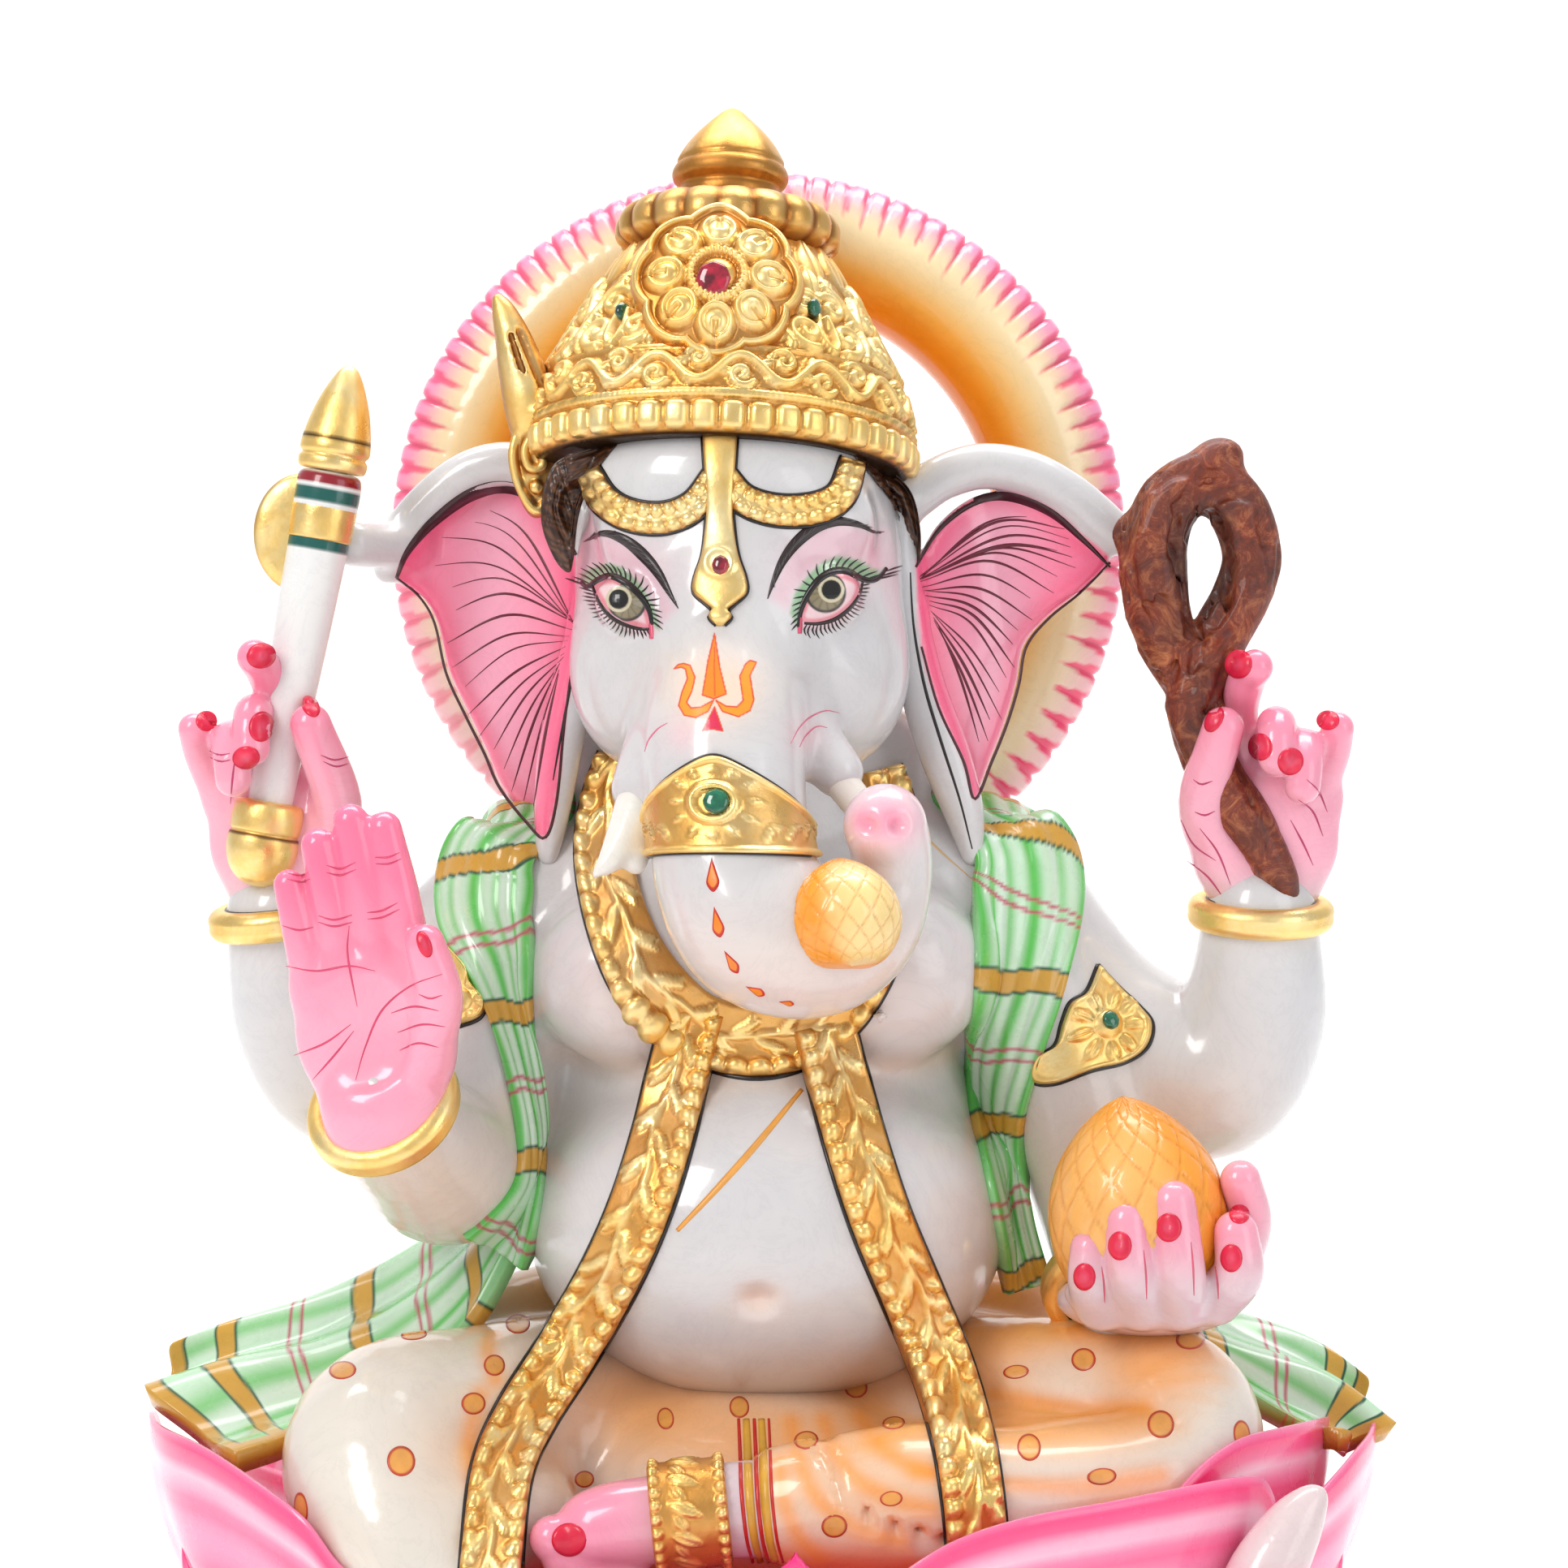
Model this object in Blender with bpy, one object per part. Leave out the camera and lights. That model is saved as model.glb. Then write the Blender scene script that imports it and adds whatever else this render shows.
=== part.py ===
"""A seated, four-armed Ganesha idol in painted and gilded marble, made of separately carved pieces.

Lengths are in millimetres of an idol 457 mm high; finish() scales them to metres. The idol faces -Y,
+Z is up, and the origin is the centre of the plinth's underside. "Right" and "left" are the idol's own,
so its right hand is at -X. Pieces are made in the order in which a mason would fit them: each later
piece is cut back from the ones it meets, which leaves the adhesive joint between them.
"""

import math

import bmesh
import bpy
from mathutils import Euler, Matrix, Vector
from mathutils.bvhtree import BVHTree

# Driving dimensions.
HEIGHT = 0.457  # metres, floor to the tip of the crown
UNITS = 457.0  # the same height in the lengths below
JOINT = 0.4  # width of an adhesive joint
SEAT_Z = 72.0  # top of the lotus seat
LOTUS_X, LOTUS_Y = 160.0, 121.0  # reach of the side and front petal tips
PETALS = 10
HALO_CENTRE = Vector((-1.5, 52.0, 345.0))
HALO_OUT, HALO_IN, HALO_DEPTH = 100.0, 64.5, 28.0
CROWN_FOOT = Vector((-11.5, 1.0, 362.0))
CROWN_TILT = Euler((math.radians(-12), math.radians(2), 0))
DOWEL_R, DOWEL_HOLE_R = 3.0, 3.4
FINENESS = 0.6  # share of the triangle counts below that a piece gets

COLOURS = {
    "marble": ((0.86, 0.85, 0.83), 0.22, 0.0),
    "pink": ((0.93, 0.38, 0.52), 0.28, 0.0),
    "gold": ((0.83, 0.60, 0.22), 0.34, 0.9),
    "green": ((0.45, 0.72, 0.42), 0.3, 0.0),
    "dhoti": ((0.93, 0.72, 0.48), 0.25, 0.0),
    "brown": ((0.26, 0.10, 0.05), 0.3, 0.0),
    "modak": ((0.96, 0.66, 0.28), 0.28, 0.0),
    "red_gem": ((0.5, 0.02, 0.06), 0.1, 0.0),
    "green_gem": ((0.0, 0.2, 0.12), 0.1, 0.0),
    "steel": ((0.6, 0.6, 0.62), 0.35, 1.0),
}
fitted = {}  # name: object, in the order in which the pieces were fitted
cutters = {}  # name: the piece's uncut shape, grown by the joint, which later pieces are cut with


def clear_scene():
    for thing in list(bpy.data.objects):
        bpy.data.objects.remove(thing)


def material_of(colour):
    """The Principled material of one of COLOURS, made once."""
    made = bpy.data.materials.get(colour)
    if made is None:
        made = bpy.data.materials.new(colour)
        made.use_nodes = True
        (red, green, blue), roughness, metallic = COLOURS[colour]
        shader = made.node_tree.nodes["Principled BSDF"]
        shader.inputs["Base Color"].default_value = (red, green, blue, 1)
        shader.inputs["Roughness"].default_value = roughness
        shader.inputs["Metallic"].default_value = metallic
    return made


# Building blocks, each adding closed shapes to a bmesh.


def ball(bm, centre, radii, turn=(0, 0, 0), detail=3):
    """An ellipsoid, turned by degrees about X, Y and Z."""
    turned = Euler([math.radians(a) for a in turn]).to_matrix().to_4x4()
    placed = Matrix.Translation(centre) @ turned @ Matrix.Diagonal((*radii, 1))
    bmesh.ops.create_icosphere(bm, subdivisions=detail, radius=1, matrix=placed)


def smooth_points(points, steps=4):
    """Points along a Catmull-Rom curve through the given ones; each may carry radii after x, y, z."""
    points = [Vector(p) for p in points]
    ends = [2 * points[0] - points[1], *points, 2 * points[-1] - points[-2]]
    found = []
    for a, b, c, d in zip(ends, ends[1:], ends[2:], ends[3:]):
        for k in range(steps):
            t = k / steps
            found.append(
                0.5 * (2 * b + (c - a) * t + (2 * a - 5 * b + 4 * c - d) * t**2
                       + (3 * b - a - 3 * c + d) * t**3)
            )
    return [*found, points[-1]]


def limb(bm, points, steps=3, detail=2):
    """A tapering limb: the hull of each two neighbouring balls (x, y, z, r) along a smooth curve."""
    balls = smooth_points(points, steps)
    for a, b in zip(balls, balls[1:]):
        pair = bmesh.new()
        for p in (a, b):
            bmesh.ops.create_icosphere(pair, subdivisions=detail, radius=p[3], matrix=Matrix.Translation(p[:3]))
        bmesh.ops.delete(pair, geom=pair.faces[:], context="FACES_ONLY")
        hull = bmesh.ops.convex_hull(pair, input=pair.verts[:])["geom"]
        pair.verts.index_update()
        skinned = [f for f in hull if isinstance(f, bmesh.types.BMFace)]
        copies = {}
        for v in {v for f in skinned for v in f.verts}:
            copies[v.index] = bm.verts.new(v.co)
        for f in skinned:
            bm.faces.new([copies[v.index] for v in f.verts])
        pair.free()


def turned(bm, profile, segments, matrix, stretch=(1, 1)):
    """A solid of revolution about Z from (radius, height) pairs, low to high; stretch scales X and Y."""
    rings = []
    for radius, height in profile:
        ring = []
        for k in range(segments):
            a = 2 * math.pi * k / segments
            at = (radius * math.cos(a) * stretch[0], radius * math.sin(a) * stretch[1], height)
            ring.append(bm.verts.new(matrix @ Vector(at)))
        rings.append(ring)
    skin(bm, rings)


def skin(bm, rings):
    """Joins closed rings of vertices into a tube and caps both ends."""
    for low, high in zip(rings, rings[1:]):
        for k in range(len(low)):
            n = (k + 1) % len(low)
            bm.faces.new((low[k], low[n], high[n], high[k]))
    bm.faces.new(rings[0][::-1])
    bm.faces.new(rings[-1])


def ring_tube(bm, centre, axis, radii, thickness, segments=16, sides=6):
    """An oval torus: a bangle. radii are the ring's two half widths."""
    frame = Vector(axis).to_track_quat("Z", "Y").to_matrix()
    loops = []
    for k in range(segments):
        a = 2 * math.pi * k / segments
        outward = Vector((math.cos(a), math.sin(a), 0))
        middle = Vector((radii[0] * math.cos(a), radii[1] * math.sin(a), 0))
        loop = []
        for j in range(sides):
            b = 2 * math.pi * j / sides
            at = middle + outward * thickness[0] * math.cos(b) + Vector((0, 0, thickness[1] * math.sin(b)))
            loop.append(bm.verts.new(Vector(centre) + frame @ at))
        loops.append(loop)
    for k in range(segments):
        here, there = loops[k], loops[(k + 1) % segments]
        for j in range(sides):
            n = (j + 1) % sides
            bm.faces.new((here[j], there[j], there[n], here[n]))


def sheet(bm, rows, thickness):
    """A closed plate of even thickness over a grid of points, rows[i][j]."""
    rows = [[Vector(p) for p in row] for row in rows]
    high, wide = len(rows), len(rows[0])
    front, back = [], []
    for i in range(high):
        front.append([])
        back.append([])
        for j in range(wide):
            along = rows[min(i + 1, high - 1)][j] - rows[max(i - 1, 0)][j]
            across = rows[i][min(j + 1, wide - 1)] - rows[i][max(j - 1, 0)]
            half = along.cross(across).normalized() * thickness / 2
            front[-1].append(bm.verts.new(rows[i][j] + half))
            back[-1].append(bm.verts.new(rows[i][j] - half))
    for i in range(high - 1):
        for j in range(wide - 1):
            bm.faces.new((front[i][j], front[i + 1][j], front[i + 1][j + 1], front[i][j + 1]))
            bm.faces.new((back[i][j], back[i][j + 1], back[i + 1][j + 1], back[i + 1][j]))
    rim = [(i, 0) for i in range(high)] + [(high - 1, j) for j in range(1, wide)]
    rim += [(i, wide - 1) for i in range(high - 2, -1, -1)] + [(0, j) for j in range(wide - 2, 0, -1)]
    for (i, j), (m, n) in zip(rim, rim[1:] + rim[:1]):
        bm.faces.new((front[i][j], back[i][j], back[m][n], front[m][n]))


# Fitting: from a bmesh to a finished, separate piece.


def object_of(name, bm):
    bmesh.ops.recalc_face_normals(bm, faces=bm.faces)
    mesh = bpy.data.meshes.new(name)
    bm.to_mesh(mesh)
    bm.free()
    made = bpy.data.objects.new(name, mesh)
    bpy.context.scene.collection.objects.link(made)
    return made


def apply_modifiers(made):
    graph = bpy.context.evaluated_depsgraph_get()
    mesh = bpy.data.meshes.new_from_object(made.evaluated_get(graph), depsgraph=graph)
    made.modifiers.clear()
    made.data = mesh


def melt(made, voxel, rounds, triangles):
    """Unites overlapping shapes into one closed skin, softens it and thins it to a triangle count."""
    remesh = made.modifiers.new("unite", "REMESH")
    remesh.mode = "VOXEL"
    remesh.voxel_size = voxel
    soften = made.modifiers.new("soften", "SMOOTH")
    soften.factor = 0.5
    soften.iterations = rounds
    apply_modifiers(made)
    made.data.calc_loop_triangles()
    thin = made.modifiers.new("thin", "DECIMATE")
    thin.ratio = min(1.0, FINENESS * triangles / len(made.data.loop_triangles))
    apply_modifiers(made)


def swollen(made, by):
    """A hidden copy of a piece, grown by the joint's width, to cut its neighbours with."""
    bm = bmesh.new()
    bm.from_mesh(made.data)
    bmesh.ops.triangulate(bm, faces=bm.faces)
    bm.normal_update()
    moves = [v.normal * by * v.calc_shell_factor() for v in bm.verts]
    for v, move in zip(bm.verts, moves):
        v.co += move if move.length < 3 * by else move.normalized() * 3 * by
    return object_of(made.name + "_cutter", bm)


def corners(made):
    points = [v.co for v in made.data.vertices]
    return (Vector(map(min, zip(*points))), Vector(map(max, zip(*points))))


def meet(a, b, margin):
    (a_low, a_high), (b_low, b_high) = corners(a), corners(b)
    return all(a_low[k] - margin < b_high[k] and b_low[k] - margin < a_high[k] for k in range(3))


def islands_of(bm):
    """The faces of each separate body, as lists that are joined across edges, longest body first."""
    left, found = set(bm.faces), []
    while left:
        island, todo = [], [left.pop()]
        while todo:
            face = todo.pop()
            island.append(face)
            for other in {f for edge in face.edges for f in edge.link_faces} & left:
                left.remove(other)
                todo.append(other)
        found.append(island)
    return sorted(found, key=span_of, reverse=True)


def span_of(faces):
    points = [v.co for face in faces for v in face.verts]
    return (Vector(map(max, zip(*points))) - Vector(map(min, zip(*points)))).length


def pinched(bm):
    """Whether two sheets of a mesh meet in a single vertex."""
    for v in bm.verts:
        fan, todo = set(), [v.link_faces[0]]
        while todo:
            face = todo.pop()
            fan.add(face)
            todo += [f for e in face.edges if v in e.verts for f in e.link_faces if f not in fan]
        if len(fan) < len(v.link_faces):
            return True
    return False


def keep_largest(made):
    """Drops the offcuts that a cut leaves loose, and merges the points that it leaves crowded."""
    bm = bmesh.new()
    bm.from_mesh(made.data)
    bmesh.ops.triangulate(bm, faces=bm.faces)
    loose = [face for island in islands_of(bm)[1:] for face in island]
    bmesh.ops.delete(bm, geom=loose, context="FACES")
    for merge in (0.5, 0.3, 0.1) if span_of(bm.faces) > 25 else (0.1,):
        tried = bm.copy()
        bmesh.ops.remove_doubles(tried, verts=tried.verts, dist=merge)
        bmesh.ops.dissolve_degenerate(tried, edges=tried.edges, dist=0.01)
        sound = all(len(edge.link_faces) == 2 for edge in tried.edges)
        if sound and len(islands_of(tried)) == 1 and not pinched(tried):
            bm.free()
            bm = tried
            break
        tried.free()
    bm.to_mesh(made.data)
    bm.free()


def volume_of(mesh):
    bm = bmesh.new()
    bm.from_mesh(mesh)
    found = bm.calc_volume(signed=True)
    bm.free()
    return found


def cut(made, cutter):
    """Takes the cutter out of a piece, with the first of several solvers that leaves a sound result."""
    whole = made.data
    before = volume_of(whole)
    for nudge in (0.0, 0.013, -0.017):
        cutter.location = (nudge, 0.7 * nudge, -0.6 * nudge)
        for solver, tangled in (("EXACT", False), ("MANIFOLD", False), ("EXACT", True)):
            made.data = whole
            boolean = made.modifiers.new("fit", "BOOLEAN")
            boolean.operation = "DIFFERENCE"
            boolean.solver = solver
            boolean.use_self = tangled
            boolean.object = cutter
            apply_modifiers(made)
            if 0.02 * before < volume_of(made.data) <= 1.0008 * before and closed(made.data):
                return


def closed(mesh):
    bm = bmesh.new()
    bm.from_mesh(mesh)
    shut = all(len(edge.link_faces) == 2 for edge in bm.edges)
    bm.free()
    return shut


def fit(name, bm, colour, melted=None, around=None, flat=False):
    """Finishes a piece and cuts it back from every piece already fitted that it reaches."""
    made = object_of(name, bm)
    if melted:
        melt(made, *melted)
    grown = swollen(made, JOINT)
    for cutter in list(cutters.values()) if around is None else [cutters[n] for n in around]:
        if meet(made, cutter, 0):
            cut(made, cutter)
    cutters[name] = grown
    keep_largest(made)
    made.data.materials.clear()
    made.data.materials.append(material_of(colour))
    if not flat:
        made.data.shade_smooth()
        made.data.set_sharp_from_angle(angle=math.radians(40))
    fitted[name] = made
    return made


def front_of(names, x, z, start=-260):
    """The point and normal where a line along +Y at x, z first meets the named pieces."""
    best = None
    for name in names:
        mesh = fitted[name].data
        tree = BVHTree.FromPolygons([v.co for v in mesh.vertices], [p.vertices for p in mesh.polygons])
        hit, normal, _, _ = tree.ray_cast(Vector((x, start, z)), Vector((0, 1, 0)))
        if hit is not None and (best is None or hit.y < best[0].y):
            best = (hit, normal)
    return best


def strap(bm, path, names, half_width, half_thick, sides=10, taut=0):
    """A flattened tube laid over the front of the named pieces, through (x, z) points.

    taut draws it straight across hollows, as a carver leaves stone between a garland and the body.
    """
    line = smooth_points([Vector((x, 0, z)) for x, z in path], 3)
    spots, previous = [], None
    for p in line:
        hit = front_of(names, p.x, p.z)
        if hit is None and previous is None:
            continue
        if hit is None:
            hit = (Vector((p.x, previous[0].y, p.z)), previous[1])
        previous = hit
        spots.append((hit[0].copy(), hit[1]))
    widths = None
    if isinstance(half_width, list):
        wanted = smooth_points([Vector((w, 0, 0)) for w in half_width], 6)
        widths = [wanted[round(k * (len(wanted) - 1) / (len(spots) - 1))] for k in range(len(spots))]
    for _ in range(taut):
        for k in range(1, len(spots) - 1):
            level = (spots[k - 1][0].y + spots[k + 1][0].y) / 2
            spots[k][0].y = min(spots[k][0].y, level)
    rings = []
    for k, (at, normal) in enumerate(spots):
        along = (spots[min(k + 1, len(spots) - 1)][0] - spots[max(k - 1, 0)][0]).normalized()
        across = along.cross(normal).normalized()
        outward = across.cross(along).normalized()
        wide = widths[k].x if widths else half_width
        ring = []
        for j in range(sides):
            a = 2 * math.pi * j / sides
            offset = across * wide * math.cos(a) + outward * half_thick * math.sin(a)
            ring.append(bm.verts.new(at + offset))
        rings.append(ring)
    skin(bm, rings)


# The lotus seat.


def make_plinth():
    bm = bmesh.new()
    profile = [(118, 0), (124, 3), (124, 15), (116, 20), (111, 26)]
    turned(bm, profile, 28, Matrix.Identity(4), (1, 0.75))
    fit("plinth", bm, "marble", flat=True)


def petal_rows(angle, width, foot, tip, steps=6, spread=4):
    """A grid over one upright lotus petal: foot and tip are (reach share, height)."""
    rows = []
    for i in range(steps + 1):
        s = i / steps
        reach = foot[0] + (tip[0] - foot[0]) * (1 - (1 - s) ** 1.8)
        height = foot[1] + (tip[1] - foot[1]) * s**1.15
        half = width * (0.62 + 0.5 * math.sin(math.pi * min(1, s * 1.15) ** 0.9)) * (1 - s**5) + 0.6
        row = []
        for j in range(-spread, spread + 1):
            t = j / spread
            turn = angle + t * half / 140
            pull = reach - 0.04 * t * t * (1 - s * 0.5)
            row.append((LOTUS_X * pull * math.cos(turn), LOTUS_Y * pull * math.sin(turn), height - 6 * t * t * s))
        rows.append(row)
    return rows


def tip_height(angle):
    """Side petals stand higher than the front and back ones."""
    return 97 + 18 * abs(math.cos(angle))


def make_lotus():
    bm = bmesh.new()
    core = [(100, 26.5), (116, 33), (132, 48), (139, 62), (141, SEAT_Z)]
    turned(bm, core, 36, Matrix.Identity(4), (1, LOTUS_Y / LOTUS_X))
    for k in range(PETALS):
        angle = 2 * math.pi * k / PETALS
        sheet(bm, petal_rows(angle, 46, (0.76, 34), (1.0, tip_height(angle))), 5.5)
    for k in range(PETALS):
        angle = 2 * math.pi * (k + 0.5) / PETALS
        sheet(bm, petal_rows(angle, 42, (0.72, 29), (0.97, tip_height(angle) - 26)), 6)
    fit("lotus_seat", bm, "pink", melted=(2.4, 2, 1700))


# The figure.


def make_torso():
    bm = bmesh.new()
    ball(bm, (1, -8, 166), (62, 52, 46))
    ball(bm, (0, 12, 190), (56, 38, 50))
    ball(bm, (-2, 6, 236), (58, 38, 46))
    ball(bm, (-33, -17, 229), (26, 22, 24))
    ball(bm, (31, -17, 230), (26, 22, 24))
    limb(bm, [(-62, 14, 250, 22), (0, 14, 262, 24), (60, 14, 252, 22)])
    ball(bm, (-5, 6, 280), (34, 30, 24))
    fit("torso", bm, "marble", melted=(3.0, 6, 760))


def make_hips():
    bm = bmesh.new()
    ball(bm, (0, 20, 103), (72, 52, 34))
    ball(bm, (0, -20, 100), (52, 40, 28))
    fit("dhoti_hips", bm, "dhoti", melted=(3.0, 3, 300))


def make_legs():
    bm = bmesh.new()
    ball(bm, (-70, -55, 99), (24, 28, 19))
    limb(bm, [(-36, 4, 110, 32), (-72, -26, 114, 28), (-94, -52, 115, 25.5), (-91, -69, 100, 22),
              (-78, -82, 85, 16), (-62, -92, 81, 12)])
    fit("right_leg", bm, "dhoti", melted=(2.6, 3, 380))
    bm = bmesh.new()
    ball(bm, (66, -48, 106), (40, 26, 17))
    limb(bm, [(34, 4, 108, 32), (72, -18, 118, 25), (102, -36, 120, 23), (100, -54, 108, 20),
              (66, -72, 105, 19), (38, -78, 107, 19), (13, -80, 106.5, 15.5)])
    fit("left_leg", bm, "dhoti", melted=(2.6, 3, 420))


def make_feet():
    bm = bmesh.new()
    limb(bm, [(6, -80, 106, 12), (-12, -81, 105, 11.5), (-30, -82, 103, 10), (-40, -83, 101, 8.5)])
    ball(bm, (-34, -82, 102), (16, 8, 9.5), (0, 14, 0))
    for toe, (low, reach, size) in enumerate([(99, -51, 5.6), (93.5, -49, 4.4), (90, -46, 4), (87.5, -42, 3.6),
                                              (86, -37, 3.4)]):
        limb(bm, [(-34 + toe, -82, low - 0.5, size + 0.6), (reach, -84, low, size)], 2)
    fit("left_foot", bm, "pink", melted=(1.5, 2, 320))
    bm = bmesh.new()
    limb(bm, [(-62, -92, 81, 11.5), (-50, -97, 81, 10.5), (-34, -101, 79, 8.5)])
    for toe in range(5):
        out = -93.5 - 3.6 * toe
        limb(bm, [(-34, out + 1, 79, 3.9), (-23 - abs(toe - 3), out, 77.5, 3.4 + 0.25 * toe)], 2)
    fit("right_foot", bm, "pink", melted=(1.5, 2, 280))


def make_head():
    bm = bmesh.new()
    ball(bm, (-6, -1, 334), (44, 45, 54))
    ball(bm, (-27, -16, 308), (24, 26, 26))
    ball(bm, (14, -16, 308), (24, 26, 26))
    ball(bm, (-7, -26, 318), (27, 26, 32))
    fit("head", bm, "marble", melted=(2.6, 5, 560))


def make_trunk():
    bm = bmesh.new()
    limb(bm, [(-8.5, -44, 303, 21), (-9.5, -54, 292, 21), (-8.5, -60, 275, 20), (-6, -65, 258, 20.5),
              (1, -68, 247.5, 21), (15, -67, 243, 18), (26, -64, 247, 13.5), (31, -62, 257, 11),
              (31, -64, 267, 10), (30, -68, 273.5, 9.6)])
    fit("trunk", bm, "marble", melted=(1.8, 3, 480))


def ear_rows(root, edge, bow):
    """A grid over an ear's membrane between its root line and its outer edge, both (x, z) lists."""
    inner = smooth_points([Vector((x, 0, z)) for x, z in root], 3)
    outer = smooth_points([Vector((x, 0, z)) for x, z in edge], 3)
    rows = []
    for a, b in zip(inner, outer):
        row = []
        for j in range(7):
            t = j / 6
            at = a.lerp(b, t)
            row.append((at.x, bow[0] + (bow[1] - bow[0]) * t - bow[2] * math.sin(math.pi * t), at.z))
        rows.append(row)
    return rows


def make_ears():
    bm = bmesh.new()
    root = [(-48, 360), (-50, 337), (-51, 315), (-54, 295), (-57, 275)]
    edge = [(-80, 360), (-96, 334), (-84, 306), (-74, 288), (-60, 266)]
    sheet(bm, ear_rows(root, edge, (2, 10, -6)), 6)
    limb(bm, [(-50, 6, 358, 5.5), (-62, 8, 361.5, 5.5), (-78, 9, 358, 5.5), (-91, 10, 348, 5.2), (-98, 11, 334, 4)])
    limb(bm, [(-46, -6, 318, 5), (-51, -6, 295, 6.5), (-54, -8, 272, 6), (-55, -8, 262, 4)])
    limb(bm, [(-94, 8, 342, 6), (-101, 0, 342, 6.5), (-106, -6, 342, 6.5)], 1)
    fit("right_ear", bm, "pink", melted=(1.8, 2, 340))
    bm = bmesh.new()
    root = [(38, 362), (40, 338), (42, 315), (48, 295), (54, 279)]
    edge = [(72, 364), (90, 342), (70, 314), (67, 296), (57, 276)]
    sheet(bm, ear_rows(root, edge, (2, 10, -6)), 6)
    limb(bm, [(38, 6, 357, 5.5), (50, 8, 364, 5.5), (64, 9, 364.5, 5.5), (80, 10, 358, 5.5), (93, 11, 346, 5)])
    limb(bm, [(38, -6, 322, 5), (44, -6, 298, 6.5), (50, -8, 275, 6), (53, -8, 262, 4)])
    fit("left_ear", bm, "pink", melted=(1.8, 2, 340))


def make_tusks():
    bm = bmesh.new()
    limb(bm, [(-27, -46, 286, 5), (-32, -54, 275, 7.6), (-36.5, -61, 265, 6.8)])
    fit("right_tusk", bm, "marble", melted=(1.2, 1, 160))
    bm = bmesh.new()
    limb(bm, [(8, -40, 297, 6), (17, -46, 286, 5.2), (24.5, -48.5, 276.5, 4.5)])
    fit("left_tusk", bm, "marble", melted=(1.2, 1, 140))


# Arms and hands.


def make_arms():
    arms = {
        "rear_right_arm": [(-64, 16, 252, 22), (-86, 16, 226, 22), (-106, 10, 204, 20.5), (-120, 2, 216, 18),
                           (-126, -5, 244, 14)],
        "rear_left_arm": [(62, 16, 248, 22), (86, 15, 215, 22.5), (114, 9, 203, 23), (128, 3, 218, 19.5),
                          (130, -3, 244, 14.5)],
        "front_right_arm": [(-64, 4, 240, 21), (-72, 0, 210, 20), (-80, -12, 184, 22), (-88, -36, 190, 18),
                            (-94, -55, 201, 14)],
        "front_left_arm": [(66, 6, 238, 21), (80, 2, 206, 19), (86, -4, 178, 17), (90, -16, 160, 15),
                           (92, -26, 152, 14)],
    }
    for name, points in arms.items():
        bm = bmesh.new()
        limb(bm, points)
        fit(name, bm, "marble", melted=(2.4, 3, 240))


def hand_matrix(at, turn, mirrored=False):
    """From a hand's own frame, wrist at the origin, fingers up and palm to -Y, to its place."""
    placed = Matrix.Translation(at) @ Euler([math.radians(a) for a in turn]).to_matrix().to_4x4()
    return placed @ Matrix.Diagonal((-1, 1, 1, 1)) if mirrored else placed


def hand(name, at, turn, palm, digits, mirrored=False, triangles=520):
    """A hand from palm balls (centre, radii) and digits, each a list of (x, y, z, r)."""
    bm = bmesh.new()
    for centre, radii in palm:
        ball(bm, centre, radii)
    for digit in digits:
        limb(bm, digit, 2)
    bmesh.ops.transform(bm, matrix=hand_matrix(at, turn, mirrored), verts=bm.verts)
    fit(name, bm, "pink", melted=(1.25, 1, triangles))


OPEN_PALM = [((0, 0, 21), (20, 9, 22)), ((-1, 0, 34), (18.5, 7, 10)), ((11, -3, 17), (9, 8, 14)),
             ((0, 2, 2), (13.5, 10, 12))]
OPEN_DIGITS = [
    [(12, 0, 36, 5.4), (11, -1, 54, 5), (9, 0, 71.5, 4.2)],
    [(3.4, 0, 38, 5.6), (2.4, -1, 58, 5.2), (0.8, 0, 74, 4.5)],
    [(-5.4, 0, 37, 5.4), (-6.4, -1, 54, 5), (-8, 0, 69, 4.2)],
    [(-13.5, 0, 34, 5), (-15, -1, 48, 4.4), (-16.5, 0, 60, 3.7)],
    [(12, -4, 16, 7), (18.5, -7, 29, 5.8), (17, -8.5, 43, 4.8)],
]
HOLDING_PALM = [((-2, 0, 19), (17.5, 8.5, 19)), ((-5, 0, 31), (15, 6.5, 10)), ((0, 2, 2), (13.5, 10.5, 10))]
HOLDING_DIGITS = [
    [(2, 2, 38, 5.4), (1, 0, 52, 5.2), (-2, -8, 63, 4.8), (-4, -15, 68, 4.4)],
    [(-4, 2, 38, 5.4), (-5, -9, 52, 5.2), (-5.5, -16, 51, 4.9), (-5.5, -18.5, 45, 4.7)],
    [(-11, 2, 36, 5.2), (-12, -8, 46, 5), (-11, -15.5, 43, 4.8), (-10.5, -17.5, 37, 4.6)],
    [(-17, 1, 31, 4.8), (-20, -4, 42, 4.4), (-21, -9, 49.5, 4)],
    [(12, -2, 14, 6.8), (15, -8, 29, 6.4), (9.5, -14, 50, 5.4)],
]
GRIPPING_DIGITS = [
    [(6, 2, 38, 5.4), (8, 0, 51, 5.2), (7, -8, 61, 4.8), (5.5, -14, 65, 4.4)],
    [(-1, 2, 38, 5.4), (-1, -9, 49, 5.2), (-0.5, -16, 48, 4.9), (-0.5, -18.5, 42, 4.7)],
    [(-8, 2, 36, 5.2), (-8.5, -8, 44, 5), (-8, -15.5, 41, 4.8), (-7.5, -17.5, 35, 4.6)],
    [(-14, 1, 31, 4.8), (-16.5, -4, 42, 4.4), (-17, -9, 49.5, 4)],
    [(12, -2, 14, 6.8), (17, -8, 29, 6.4), (13, -13, 49, 5.4)],
]
CUPPING_PALM = [((0, 4, 0), (24, 19, 9)), ((-1, -12, 4), (22, 9, 8))]
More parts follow.
